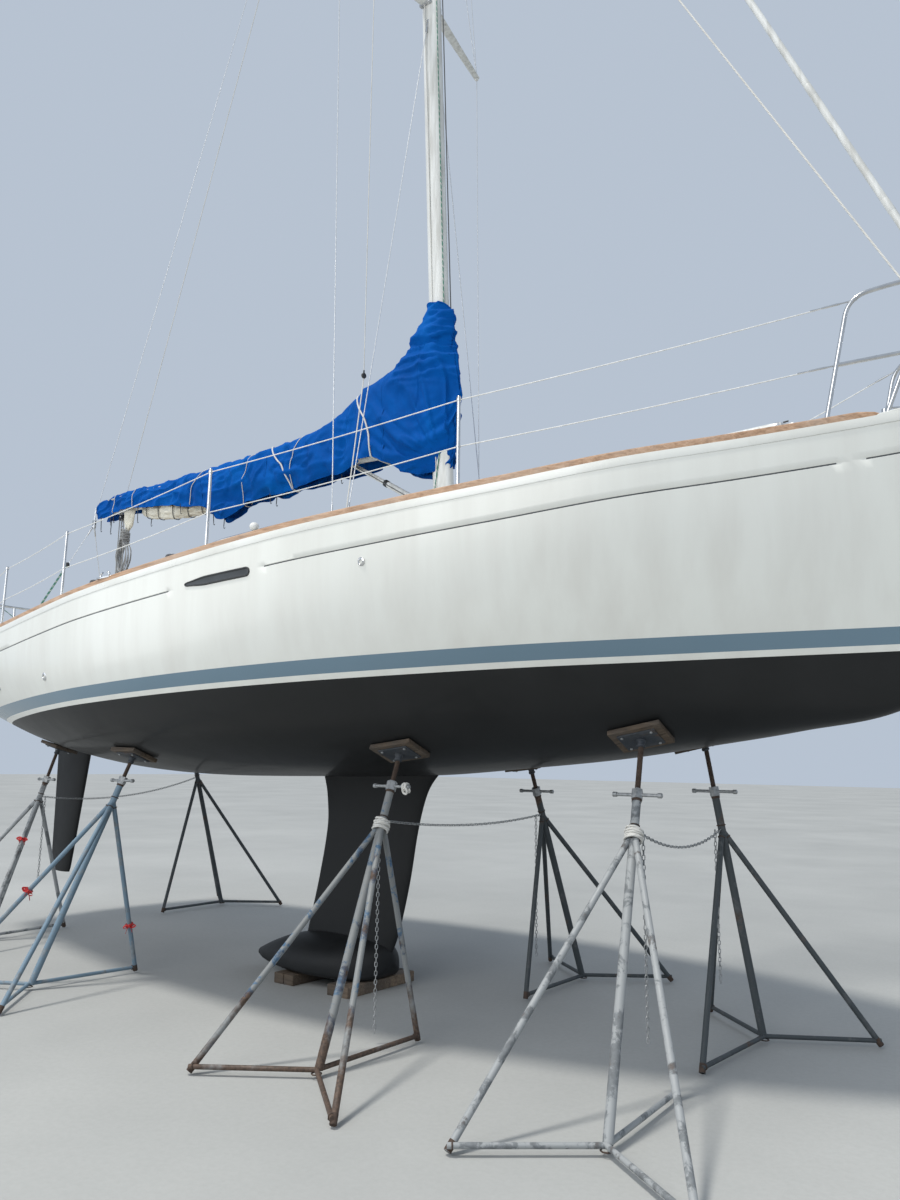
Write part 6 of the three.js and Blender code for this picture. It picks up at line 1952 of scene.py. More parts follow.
def make_spreaders():
    for row in SPREADERS:
        arms = Shape()
        for side in (1, -1):
            rings = []
            for t in steps(0, 1, 12):
                y = mix(0.045, row["reach"] + 0.012, t)
                wide = row["chord"] / 2 * mix(1, 0.6, t)
                x, z = -row["sweep"] * y / row["reach"], row["h"] + y * 0.04
                rings.append([from_mast(x + wide * math.cos(a), side * y, z + 0.0125 * math.sin(a))
                              for a in steps(0, 2 * math.pi, 24)[:-1]])
            arms.loft(rings)
            tip = spreader_tip(row, side)
            boot = [(r, 0.028 * t) for t, r in
                    ((-1, 0.004), (-0.8, 0.017), (0, 0.021), (0.8, 0.017), (1, 0.004))]
            arms.lathe(boot, tip, (0, side * 0.25, 1), 20, 1)
            socket_at = from_mast(-row["sweep"] * 0.07, side * 0.066, row["h"] + 0.003)
            arms.box((-0.062, -0.016, -0.022), (0.062, 0.022, 0.022), 0.008, 2,
                     Matrix.Translation(socket_at) @ Matrix.Rotation(0 if side > 0 else math.pi, 4, "Z"))
            for u in (-0.042, 0.042):
                arms.lathe([(0.0065, 0), (0.0065, 0.005), (0.004, 0.007)],
                           socket_at + Vector((u, side * 0.004, -0.022)), (0, 0, -1), 6, 2)
        arms.build(f"spreader_pair_{row['name']}", "boat", paints("spar", "white_plastic", "alloy"),
                   [f"spreaders_{row['name']}"], "spar")


def turnbuckle(shape, foot, run, size=1.0, slot=1):
    """A bottle screw with its toggle, climbing from foot along run."""
    at = lambda d: foot + run * d * size
    side = run.orthogonal().normalized()
    shape.tube([at(-0.01) - side * 0.014 * size, at(-0.01) + side * 0.014 * size], 0.006 * size, 12,
               slot)
    shape.tube([at(-0.022), at(0.0), at(0.02)], [0.010 * size, 0.0125 * size, 0.009 * size], 14, slot)
    shape.tube([at(0.02), at(0.075)], 0.0062 * size, 12, slot)
    shape.tube([at(0.070), at(0.078), at(0.20), at(0.208)],
               [0.007 * size, 0.0105 * size, 0.0105 * size, 0.007 * size], 16, slot)
    shape.tube([at(0.205), at(0.26)], 0.0060 * size, 12, slot)
    shape.tube([at(0.255), at(0.268), at(0.34), at(0.352)],
               [0.006 * size, 0.0076 * size, 0.0070 * size, 0.0045 * size], 14, slot)


def stay(shape, points, foot_fitting=True):
    """A wire through points from the deck up, with its bottle screw."""
    pts = [Vector(p) for p in points]
    path = []
    for a, b in zip(pts, pts[1:]):
        count = max(2, int((b - a).length / 0.5))
        path += [a.lerp(b, t) for t in steps(0, 1, count)[:-1]]
    shape.tube(path + [pts[-1]], WIRE_R, 10)
    if foot_fitting:
        turnbuckle(shape, pts[0], (pts[1] - pts[0]).normalized())
    swage(shape, pts[-1], (pts[-2] - pts[-1]).normalized())


def swage(shape, head, run):
    """The terminal at a wire's upper end, with the tang that holds it."""
    at = lambda d: head + run * d
    shape.tube([at(0.02), at(0.03), at(0.12), at(0.135)], [0.0055, 0.0085, 0.0085, 0.0055], 14, 1)
    shape.tube([at(-0.012), at(0.022)], [0.010, 0.011], 12, 1)


def make_shrouds():
    for name, side in SIDES:
        foot = Vector((CHAIN["cap"], side * CHAIN["y"], deck_z(CHAIN["cap"], CHAIN["y"]) + 0.030))
        tips = [spreader_tip(row, side) for row in SPREADERS]
        cap = Shape()
        stay(cap, [foot, *tips, from_mast(0, side * 0.050, FORESTAY_H)])
        stay(cap, [tips[0], from_mast(0, side * 0.058, SPREADERS[1]["h"] - 0.060)], False)
        chainplate(cap, foot)
        cap.build(f"cap_shroud_wire_{name}", "boat", paints("wire", "steel"),
                  [f"cap_shroud_{name}"], "steel")
        foot = Vector((CHAIN["lower"], side * CHAIN["y"], deck_z(CHAIN["lower"], CHAIN["y"]) + 0.030))
        lower = Shape()
        stay(lower, [foot, from_mast(0, side * 0.058, SPREADERS[0]["h"] - 0.190)])
        chainplate(lower, foot)
        lower.build(f"lower_shroud_wire_{name}", "boat", paints("wire", "steel"),
                    [f"lower_shroud_{name}"], "steel")


def chainplate(shape, foot):
    x, y, z = foot
    shape.box((x - 0.018, y - 0.004, z - 0.045), (x + 0.018, y + 0.004, z + 0.004), 0.0035, 1)
    shape.box((x - 0.040, y - 0.022, z - 0.040), (x + 0.040, y + 0.022, z - 0.0285), 0.004, 1)


# Stays and running rigging

TACK = Vector((4.650, 0, 3.736))
BRIDLE = Vector((-4.420, 0, 4.380))
BACKSTAY_X, BACKSTAY_Y = -4.880, 0.600


def make_forestay():
    head = from_mast(0.060, 0, FORESTAY_H)
    on = lambda t: TACK.lerp(head, t)
    run = (head - TACK).normalized()
    stay_piece = Shape()
    stay_piece.tube([on(0), on(0.02)], 0.009, 14, 2)
    turnbuckle(stay_piece, TACK + run * 0.02, run, 1.15, 2)
    drum = [(0.020, 0.128), (0.074, 0.130), (0.075, 0.136), (0.040, 0.146), (0.036, 0.205),
            (0.040, 0.250), (0.074, 0.260), (0.075, 0.266), (0.030, 0.272), (0.024, 0.30)]
    stay_piece.lathe(drum, TACK, run, 40, 1)
    turns, count = [], 24 * 9
    u, w = crosswise(run)
    for k in range(count):
        a = 2 * math.pi * k / 24
        turns.append(TACK + run * (0.152 + 0.094 * k / count)
                     + (u * math.cos(a) + w * math.sin(a)) * 0.043)
    stay_piece.tube(turns, 0.0052, 8, 3)
    heights = steps(0.024, 0.962, 120)
    stay_piece.tube([on(t) for t in heights], 0.0225, 18, 0)
    for t in steps(0.12, 0.94, 9):
        stay_piece.lathe([(0.0226, -0.05), (0.0232, -0.048), (0.0232, 0.048), (0.0226, 0.05)], on(t),
                         run, 18)
    stay_piece.lathe([(0.023, 0), (0.040, 0.008), (0.040, 0.085), (0.026, 0.095), (0.010, 0.10)],
                     on(0.955), run, 28, 1)
    stay_piece.tube([on(0.96), on(1)], 0.006, 10, 2)
    stay_piece.build("headstay", "boat", paints("spar", "black", "steel", "grey_rope"),
                     ["forestay_furler"], "spar")


def make_backstay():
    piece = Shape()
    stay(piece, [BRIDLE + upward(0.06), from_mast(-0.150, 0, MAST_LENGTH - 0.073)], False)
    piece.tube([BRIDLE + Vector((0.0, 0, 0.035)), BRIDLE + Vector((0.012, 0, 0.20))],
               [0.008, 0.006], 12, 1)
    for side in (-1, 1):
        piece.box((BRIDLE.x - 0.026, side * 0.0085 - 0.0035, BRIDLE.z - 0.055),
                  (BRIDLE.x + 0.026, side * 0.0085 + 0.0035, BRIDLE.z + 0.045), 0.003, 1)
    piece.lathe([(0.022, -0.005), (0.016, 0), (0.022, 0.005)], BRIDLE + upward(-0.02),
                (0, 1, 0), 24, 1)
    foot_z = deck_z(BACKSTAY_X, BACKSTAY_Y) + 0.060
    for side in (1, -1):
        x, y = BACKSTAY_X, side * BACKSTAY_Y
        stay(piece, [Vector((x, y, foot_z)), BRIDLE + Vector((0, side * 0.004, -0.02))])
        piece.box((x - 0.012, y - 0.012, foot_z - 0.10), (x + 0.012, y + 0.012, foot_z), 0.004, 1)
        piece.box((x - 0.035, y - 0.028, foot_z - 0.066), (x + 0.035, y + 0.028, foot_z - 0.056),
                  0.004, 1)
    piece.build("backstay_wires", "boat", paints("wire", "steel"), ["backstay"], "steel")
    foot = Vector((BACKSTAY_X, -BACKSTAY_Y, foot_z))
    leg = lambda t: foot.lerp(BRIDLE, t)
    tackle = Shape()
    for dx in (0.016, -0.016, 0.006, -0.024):
        tackle.tube([leg(0.30) + Vector((dx, 0, 0)), leg(0.66) + Vector((dx, 0, 0))], 0.004, 8)
    for t in (0.29, 0.67):
        tackle.lathe([(0.010, -0.014), (0.030, -0.012), (0.030, 0.012), (0.010, 0.014)], leg(t),
                     (0, 1, 0.2), 24, 1)
    tackle.build("backstay_tackle", "boat", paints("green_rope", "black"), slot="rope")
    tail = curve([leg(0.30) + Vector((0.02, -0.02, 0)), leg(0.22) + Vector((0.06, -0.08, -0.04)),
                  (-4.74, -0.82, 3.30), (-4.62, -1.02, 3.16), (-4.60, -1.15, 3.08),
                  (-4.59, -1.19, 2.98), (-4.585, -1.20, 2.895)], 8)
    rope_end = Shape()
    rope_end.tube(tail, 0.004, 10)
    length = sum((b - a).length for a, b in zip(tail, tail[1:]))
    piece = rope_end.build("backstay_tail", "boat", paints("green_rope"), slot="rope")
    return piece, tail, length


def halyard(shape, points, r, slot=0):
    path = []
    for a, b in zip(points, points[1:]):
        a, b = Vector(a), Vector(b)
        count = max(2, int((b - a).length / 0.35))
        path += [a.lerp(b, t) for t in steps(0, 1, count)[:-1]]
    shape.tube(path + [Vector(points[-1])], r, 8, slot)


# lines that stay at the mast: points in the mast's frame, and the material
MAST_LINES = (
    ([(-0.05, 0.067, 0.25), (0.045, 0.065, 0.70), (0.10, 0.03, 1.05), (0.105, 0.03, 4.80),
      (0.085, 0.02, 10.95)], 1),
    ([(-0.05, -0.067, 0.22), (0.040, -0.065, 0.70), (0.085, -0.045, 1.00), (0.098, -0.05, 5.0),
      (0.075, -0.035, 11.3)], 2),
    ([(-0.02, -0.063, 0.16), (-0.02, -0.063, 2.0), (-0.02, -0.078, 5.0), (-0.01, -0.055, 11.9)], 0),
    ([(-0.03, 0.063, 0.20), (-0.03, 0.063, 2.0), (-0.03, 0.078, 5.0), (-0.02, 0.055, 11.9)], 3),
)


def make_halyards():
    lines = Shape()
    halyard(lines, [from_mast(0.085, -0.045, 8.60), (4.240, -0.455, 4.298)], 0.0055)
    for points, slot in MAST_LINES:
        halyard(lines, [from_mast(*p) for p in points], 0.005, slot)
    block_at = Vector((0.41, -0.60, 4.71))
    top = spreader_tip(SPREADERS[0], -1).lerp(from_mast(0, 0, SPREADERS[0]["h"]), 0.36)
    halyard(lines, [top, block_at + upward(0.03)], 0.0035)
    halyard(lines, [block_at - upward(0.02), Vector((0.56, -0.905, 3.42))], 0.0045)
    lines.lathe([(0.008, -0.010), (0.021, -0.008), (0.023, 0), (0.021, 0.008), (0.008, 0.010)],
                block_at, (1, 0, 0), 20, 4)
    lines.tube([block_at + upward(-0.03), block_at + upward(0.045)], 0.006, 10, 4)
    lines.build("halyards", "boat",
                paints("white_rope", "dark_rope", "green_rope", "blue_rope", "black"), slot="rope")
    lift = Shape()
    halyard(lift, [from_mast(-0.160, 0, MAST_LENGTH - 0.02), from_boom(4.42, 0, 0.09)], 0.0042)
    piece = lift.build("topping_lift", None, paints("white_rope"), slot="rope")
    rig.blend(piece, "boat", "boom_body", start=from_mast(-0.160, 0, MAST_LENGTH),
             end=from_boom(4.42, 0, 0.09))


ANCHOR_LID_SEAT = 0.0008


def make_bow():
    fitting = Shape()
    for side in (1, -1):
        rows = []
        for x in steps(4.600, 5.010, 20):
            t = (x - 4.600) / 0.41
            low = deck_z(min(x, 4.80), 0) - 0.004 if x < 4.80 else mix(3.675, 3.690, t)
            high = 3.726 + 0.020 * math.sin(math.pi * min(1, t * 1.05)) ** 2
            y0, y1 = side * 0.036, side * 0.041
            rows.append([(x, y0, low), (x, y1, low), (x, y1, high), (x, y0, high)])
        fitting.loft(rows)
    fitting.box((4.600, -0.036, 3.676), (4.860, 0.036, 3.690), 0.003)
    fitting.lathe([(0.012, -0.034), (0.036, -0.034), (0.037, -0.026), (0.026, 0), (0.037, 0.026),
                   (0.036, 0.034), (0.012, 0.034)], (5.022, 0, 3.712), (0, 1, 0), 32, 1)
    fitting.tube([(5.022, -0.046, 3.712), (5.022, 0.046, 3.712)], 0.008, 16)
    for side in (1, -1):
        way = (0, side, 0)
        fitting.lathe([(0.013, -0.004), (0.013, 0.004), (0.008, 0.006)],
                      (5.022, side * 0.042, 3.712), way, 6)
        fitting.lathe([(0.038, 0), (0.038, 0.0045), (0.004, 0.005)],
                      (5.022, side * 0.038, 3.712), way, 32)
    fitting.box((4.628, -0.008, 3.690), (4.672, 0.008, 3.745), 0.004)
    strap = []
    for t in steps(0, 1, 24):
        z = mix(3.690, 3.150, t)
        x = stem_x(z)
        strap.append([(x + 0.0025, -0.018, z), (x + 0.006, -0.010, z), (x + 0.007, 0, z),
                      (x + 0.006, 0.010, z), (x + 0.0025, 0.018, z), (x - 0.012, 0, z)])
    fitting.loft(strap)
    fitting.build("bow_fitting", "boat", paints("steel", "black"), ["stemhead"], "steel")
    lid = Shape()
    rings = []
    for t in steps(0, 1, 24):
        x = mix(ANCHOR_WELL["x0"] - 0.018, ANCHOR_WELL["x1"] + 0.018, t)
        seat = deck_z(x, 0) + ANCHOR_LID_SEAT
        half = mix(ANCHOR_WELL["half0"] + 0.018, ANCHOR_WELL["half1"] + 0.018, t)
        end = 0.006 * max(0, 1 - min(t, 1 - t) * 24)
        ring = [(x, y, seat + 0.019 + 0.002 * (1 - (y / half) ** 2) - end)
                for y in steps(half - 0.005, -half + 0.005, 14)]
        ring += [(x, -half, seat + 0.013 - end), (x, -half, seat), (x, half, seat),
                 (x, half, seat + 0.013 - end)]
        rings.append(ring)
    lid.loft(rings, slot=1)
    for side in (1, -1):
        patch = []
        for x in steps(ANCHOR_WELL["x0"] + 0.02, ANCHOR_WELL["x1"] - 0.02, 16):
            t = (x - ANCHOR_WELL["x0"]) / 0.56
            half = mix(ANCHOR_WELL["half0"], ANCHOR_WELL["half1"], t) - 0.02
            level = deck_z(x, 0) + ANCHOR_LID_SEAT + 0.0218
            patch.append([(x, side * y, level) for y in steps(0.008, half, 8)])
        lid.loft(patch, closed=False)
    lid.box((3.93, -0.018, deck_z(3.95, 0) + 0.018), (3.975, 0.018, deck_z(3.95, 0) + 0.0235), 0.003, 2)
    lid.build("anchor_lid", "anchor_lid_body", paints("deck", "gelcoat", "steel"),
              ["anchor_locker_lid"], "deck")
    hinges = Shape()
    for y in (-0.14, 0.14):
        x = ANCHOR_WELL["x0"] - 0.020
        z = deck_z(x, 0) + 0.004
        hinges.tube([(x, y - 0.03, z), (x, y + 0.03, z)], 0.005, 12)
        hinges.box((x - 0.026, y - 0.028, z - 0.005), (x, y + 0.028, z + 0.001), 0.002)
    hinges.build("anchor_lid_hinges", "boat", paints("steel"), slot="steel")


def stem_x(z):
    """Where the stem is at height z."""
    low, high = 4.0, 4.870
    for _ in range(30):
        middle = (low + high) / 2
        if bottom_z(middle) < z:
            low = middle
        else:
            high = middle
    return high


# Boom, vang, sail and mainsheet

def boom_ring(reach, grow=0.0, parts=32):
    ring = []
    for k in range(parts):
        a = 2 * math.pi * (k + 0.5) / parts
        c, s = math.cos(a), math.sin(a)
        up = (BOOM_SECTION[0] / 2 + grow) * math.copysign(abs(c) ** 0.72, c)
        across = (BOOM_SECTION[1] / 2 + grow) * math.copysign(abs(s) ** 0.72, s)
        ring.append(from_boom(reach, across, up))
    return ring


def pin_barrel(shape, h, half):
    """The barrel that turns on a pin behind the mast, at a height on it."""
    shape.lathe([(0.0092, -half), (0.0165, -half), (0.0165, half), (0.0092, half)],
                from_mast(PIVOT_X, 0, h), from_mast(0, 0, 1) - from_mast(0, 0, 0), 24, 2)


def make_boom():
    boom = Shape()
    boom.loft([boom_ring(r) for r in steps(0.085, BOOM_LENGTH - 0.03, 60)])
    for collar in (((0.060, -0.006), (0.064, 0.001), (0.115, 0.002), (0.118, -0.001)),
                   ((BOOM_LENGTH - 0.035, 0.0005), (BOOM_LENGTH - 0.030, 0.002),
                    (BOOM_LENGTH - 0.004, 0.002), (BOOM_LENGTH, -0.006))):
        boom.loft([boom_ring(r, g) for r, g in collar], slot=1)
    boom.box((PIVOT_X - 0.092, -0.014, GOOSENECK_HEIGHT - 0.033),
             (PIVOT_X - 0.012, 0.014, GOOSENECK_HEIGHT + 0.033), 0.006, 2, mast_matrix())
    pin_barrel(boom, GOOSENECK_HEIGHT, 0.033)
    for reach in (1.45, 2.1, 2.9, 3.62, BOOM_LENGTH - 0.4):
        low = from_boom(reach, 0, -0.078)
        eye = [low + Vector((u, 0, v)) for u, v in
               ((0.03, 0.004), (0.014, -0.022), (-0.014, -0.022), (-0.03, 0.004))]
        boom.tube(rounded(eye, 0.012), 0.004, 10, 2)
    boom.build("boom_extrusion", "boom_body", paints("spar", "alloy", "steel"), ["boom"], "spar")


def make_vang():
    kicker = Shape()
    foot = from_mast(PIVOT_X - 0.062, 0, VANG_HEIGHT + 0.022)
    top = from_mast(PIVOT_X - 0.900, 0, GOOSENECK_HEIGHT + 0.900 * BOOM_RISE - 0.063)
    run = (top - foot).normalized()
    length = (top - foot).length
    at = lambda d: foot + run * d
    kicker.tube([at(0.02), at(0.03), at(length * 0.50), at(length * 0.52)],
                [0.020, 0.0265, 0.0265, 0.022], 24)
    kicker.tube([at(length * 0.50), at(length - 0.03)], 0.0195, 24, 0)
    kicker.lathe([(0.0265, -0.03), (0.030, -0.026), (0.030, 0.010), (0.024, 0.016), (0.020, 0.018)],
                 at(length * 0.51), run, 28, 1)
    kicker.lathe([(0.012, -0.045), (0.024, -0.04), (0.028, -0.03), (0.028, 0.0)], at(0.045), run, 24, 1)
    kicker.tube([at(length - 0.05), at(length)], [0.0165, 0.012], 16, 1)
    kicker.box((PIVOT_X - 0.070, -0.013, VANG_HEIGHT - 0.018),
               (PIVOT_X - 0.010, 0.013, VANG_HEIGHT + 0.018), 0.005, 2, mast_matrix())
    pin_barrel(kicker, VANG_HEIGHT, 0.018)
    for side in (1, -1):
        halyard(kicker, [at(0.10) + Vector((0, side * 0.033, -0.01)),
                         at(length * 0.9) + Vector((0, side * 0.030, 0))], 0.004, 3)
    kicker.build("kicker", "boom_body", paints("spar", "black", "steel", "dark_rope"), ["vang"], "spar")


SHEET_X = -3.850  # of the mainsheet and its track


def make_mainsheet():
    sheet_x, low, high = SHEET_X, 2.995, 4.362
    falls = Shape()
    for dx, dy in ((0.020, 0.012), (0.020, -0.012), (-0.020, 0.012), (-0.020, -0.012)):
        halyard(falls, [(sheet_x + dx, dy, low), (sheet_x + dx * 1.1, dy, high)], 0.0055)
    for z in (low, high):
        for dy in (-0.012, 0.012):
            falls.lathe([(0.010, -0.009), (0.034, -0.008), (0.036, 0), (0.034, 0.008),
                         (0.010, 0.009)], (sheet_x, dy, z), (0, 1, 0), 28, 1)
        away = -1 if z == low else 1
        falls.box((sheet_x - 0.011, -0.0245, z), (sheet_x + 0.011, 0.0245, z + away * 0.05), 0.006, 2)
    falls.tube([(sheet_x, 0, low - 0.03), (sheet_x, 0, 2.948)], 0.006, 12, 2)
    hook = from_boom(4.468, 0, -0.076)
    falls.tube([(sheet_x, 0, high + 0.04), (hook.x, 0, hook.z)], 0.006, 12, 2)
    piece = falls.build("mainsheet_falls", None, paints("grey_rope", "black", "steel"),
                        ["mainsheet"], "rope")
    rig.blend(piece, "boat", "boom_body", start=(sheet_x, 0, 2.95), end=(sheet_x, 0, 4.35))


def make_sheet_track():
    x = SHEET_X
    track = Shape()
    half = [(0.020, 2.896), (0.020, 2.905), (0.011, 2.909), (0.011, 2.914), (0.019, 2.918),
            (0.019, 2.9245)]
    section = [(-u, z) for u, z in half] + half[::-1]
    rows = [[(x + u, y, z) for u, z in section] for y in steps(-0.560, 0.560, 40)]
    track.loft(rows)
    for side in (1, -1):
        track.box((x - 0.030, side * 0.500, deck_z(x, 0.53) - 0.005),
                  (x + 0.030, side * 0.562, 2.900), 0.006)
        track.box((x - 0.026, side * 0.548, 2.894), (x + 0.026, side * 0.566, 2.932),
                  0.005, 1)
    track.box((x - 0.045, -0.045, 2.900), (x + 0.045, 0.045, 2.940), 0.010, 1)
    track.box((x - 0.018, -0.018, 2.935), (x + 0.018, 0.018, 2.947), 0.005, 2)
    track.build("sheet_track", "boat", paints("alloy", "black", "steel"), ["mainsheet_track"], "steel")


COIL_REACH = 4.278  # along the boom
COIL_LOOPS = 10
COIL_WRAPS = 8
COIL_TOP = 4.170


def make_sheet_coil():
    """The mainsheet's tail, made up in a hank and hung from the boom."""
    hank = Shape()
    hang = from_boom(COIL_REACH, 0, -0.06)
    x, y, top = hang.x, -0.060, COIL_TOP
    for k in range(COIL_LOOPS):
        wide = 0.058 + 0.014 * (k * 5 % 7) / 2
        low = 3.640 + 0.022 * (k * 3 % 5)
        across = y + 0.009 * (k - COIL_LOOPS / 2)
        lean_aft = 0.018 * math.sin(k * 1.9)
        loop = [(x - 0.014, across, top), (x - 0.030, across, top - 0.12),
                (x - wide, across, mix(top, low, 0.55)), (x - wide * 0.8 + lean_aft, across, low + 0.08),
                (x + lean_aft, across, low), (x + wide * 0.9 + lean_aft, across, low + 0.09),
                (x + wide, across, mix(top, low, 0.5)), (x + 0.028, across, top - 0.13),
                (x + 0.014, across, top)]
        hank.tube(curve(loop, 6, closed=True), 0.0052, 8, closed=True)
    wrap = []
    for k in range(COIL_WRAPS * 20):
        a = 2 * math.pi * k / 20
        wrap.append((x + 0.040 * math.cos(a), y + 0.052 * math.sin(a),
                     top - 0.112 + 0.0125 * k / 20 + 0.003 * math.sin(a + k * 0.11)))
    hank.tube(wrap, 0.0056, 8)
    hank.tube(curve([(x, y, top - 0.02), (x - 0.006, y + 0.01, top + 0.05),
                     (x, y * 0.5, hang.z - 0.03), hang], 8), 0.0052, 8)
    hank.build("sheet_coil", "boom_body", paints("grey_rope"), slot="rope")


# Sail cover, its ties and the sail under it

# top edge x, z, low edge x, z, half-width, row by row along the ridge, up the neck and down the front
COVER = [
    (-4.250, 4.613, -4.250, 4.400, 0.072),
    (-3.900, 4.630, -3.900, 4.405, 0.085),
    (-3.600, 4.636, -3.600, 4.405, 0.095),
    (-3.300, 4.632, -3.300, 4.396, 0.100),
    (-3.000, 4.628, -3.000, 4.345, 0.103),
    (-2.600, 4.626, -2.600, 4.280, 0.108),
    (-2.240, 4.627, -2.230, 4.210, 0.112),
    (-2.050, 4.628, -2.050, 4.050, 0.113),
    (-1.800, 4.631, -1.790, 4.105, 0.115),
    (-1.600, 4.636, -1.600, 4.165, 0.117),
    (-1.300, 4.645, -1.300, 4.165, 0.120),
    (-0.940, 4.668, -0.940, 4.185, 0.125),
    (-0.600, 4.708, -0.600, 4.200, 0.132),
    (-0.360, 4.762, -0.360, 4.215, 0.140),
    (-0.060, 4.918, -0.100, 4.246, 0.150),
    (0.120, 4.988, 0.090, 4.238, 0.158),
    (0.260, 5.038, 0.240, 4.180, 0.163),
    (0.330, 5.075, 0.330, 4.125, 0.165),
    (0.385, 5.118, 0.390, 4.095, 0.165),
    (0.418, 5.190, 0.430, 4.080, 0.164),
    (0.450, 5.255, 0.470, 4.068, 0.160),
    (0.515, 5.325, 0.510, 4.058, 0.156),
    (0.556, 5.380, 0.550, 4.050, 0.152),
    (0.566, 5.435, 0.580, 4.046, 0.148),
    (0.572, 5.485, 0.610, 4.042, 0.145),
    (0.640, 5.488, 0.650, 4.040, 0.143),
    (0.720, 5.470, 0.700, 4.036, 0.140),
    (0.790, 5.440, 0.750, 4.034, 0.136),
    (0.825, 5.400, 0.790, 4.034, 0.131),
    (0.832, 5.270, 0.808, 4.033, 0.130),
    (0.835, 5.140, 0.822, 4.032, 0.130),
    (0.875, 5.000, 0.830, 4.031, 0.130),
    (0.895, 4.850, 0.836, 4.030, 0.130),
    (0.895, 4.640, 0.840, 4.030, 0.130),
    (0.878, 4.420, 0.843, 4.030, 0.130),
    (0.858, 4.200, 0.845, 4.030, 0.130),
    (0.848, 4.060, 0.846, 4.032, 0.130),
]
NECK_FROM, NECK_TO = 24, 28  # rows of the open neck round the mast
NECK_HALF = 0.075
WAIST_Z = 5.130  # where the cover is drawn in under its neck
COVER_GAP = 0.027
COVER_PARTS = ((0.19, 7), (0.56, 14), (0.95, 28), (9.0, 56))  # faces down a row up to each height
# x of each tie on the ridge and at the low edge, its radius and its material
COVER_TIES = [
    (-3.89, -3.89, 0.004, 0),
    (-3.51, -3.50, 0.004, 0),
    (-2.25, -2.50, 0.004, 0),
    (-1.50, -1.68, 0.004, 0),
    (-1.30, -0.99, 0.0075, 0),
    (-0.82, -0.98, 0.004, 0),
    (-0.17, 0.09, 0.0075, 0),
]
TIE_SLANT_TO = 0.64 * math.pi  # a tie runs straight down past this angle from the ridge
TIE_REACH = 0.45
# x and length of the straps that hang from the low edges
COVER_STRAPS = ((-4.155, 0.135), (-3.960, 0.090), (-3.890, 0.085), (-3.405, 0.150), (-2.630, 0.060),
                (-2.110, 0.085), (-1.300, 0.070), (-0.450, 0.035))


def spline_rows(rows, per):
    """Rows of a table with smooth ones put between them."""
    out = []
    last = len(rows) - 1
    for i in range(last):
        a, b, c, d = (rows[min(max(i + k, 0), last)] for k in (-1, 0, 1, 2))
        for j in range(per):
            t = j / per
            out.append(tuple(
                0.5 * (2 * q + (r - p) * t + (2 * p - 5 * q + 4 * r - s) * t * t
                       + (3 * q - p - 3 * r + s) * t ** 3)
                for p, q, r, s in zip(a, b, c, d)
            ))
    return out + [rows[-1]]


def distance_to(line, x, z):
    best = 1e9
    for (ax, az), (bx, bz) in zip(line, line[1:]):
        run = (bx - ax) ** 2 + (bz - az) ** 2
        t = min(max(((x - ax) * (bx - ax) + (z - az) * (bz - az)) / max(run, 1e-12), 0), 1)
        best = min(best, math.hypot(x - ax - t * (bx - ax), z - az - t * (bz - az)))
    return best


RIDGE_LINE = [row[:2] for row in COVER[:NECK_FROM + 1]]
FRONT_LINE = [row[:2] for row in COVER[NECK_TO:]]


def folds(x, z, side):
    """How far the cover's cloth stands off its mean shape before it settles."""
    seed = 3.7 if side > 0 else 0.0
    spot = noise.noise(Vector((x * 1.6 + seed, z * 2.2, seed)))
    fine = noise.noise(Vector((x * 7 + seed, z * 6, 4 + seed)))
    corner = math.hypot(x - 0.78, z - 4.12)
    angle = math.atan2(z - 4.12, x - 0.78)
    fan = abs(math.sin(angle * 8 + 1.6 * spot + seed)) ** 0.7
    reach = smooth((corner - 0.08) / 0.25) * (1 - smooth((corner - 0.55) / 0.6))
    out = 0.019 * (fan - 0.6) * reach
    gathers = math.sin(z * 78 + 5 * spot + 2.2 * math.sin(x * 14 + seed))
    out += 0.011 * gathers * smooth((z - 5.10) / 0.10)
    low = 1 - smooth((x + 0.10) / 0.5)
    slant = abs(math.sin(5.2 * x + 7.5 * z + 4.5 * spot + seed)) ** 0.6 - 0.6
    out += 0.012 * slant * low * smooth((spot + 0.25) / 0.5)
    out += 0.006 * math.sin(2.9 * x - 16 * z + 5 * fine + seed) * low * smooth((0.35 - spot) / 0.6)
    belly = math.exp(-((z - 4.32) / 0.11) ** 2) * smooth((x + 0.4) / 0.5)
    out += 0.014 * belly * math.sin(17 * x + 3 * spot + 5 * (z - 4.1) + seed)
    return out + 0.005 * fine


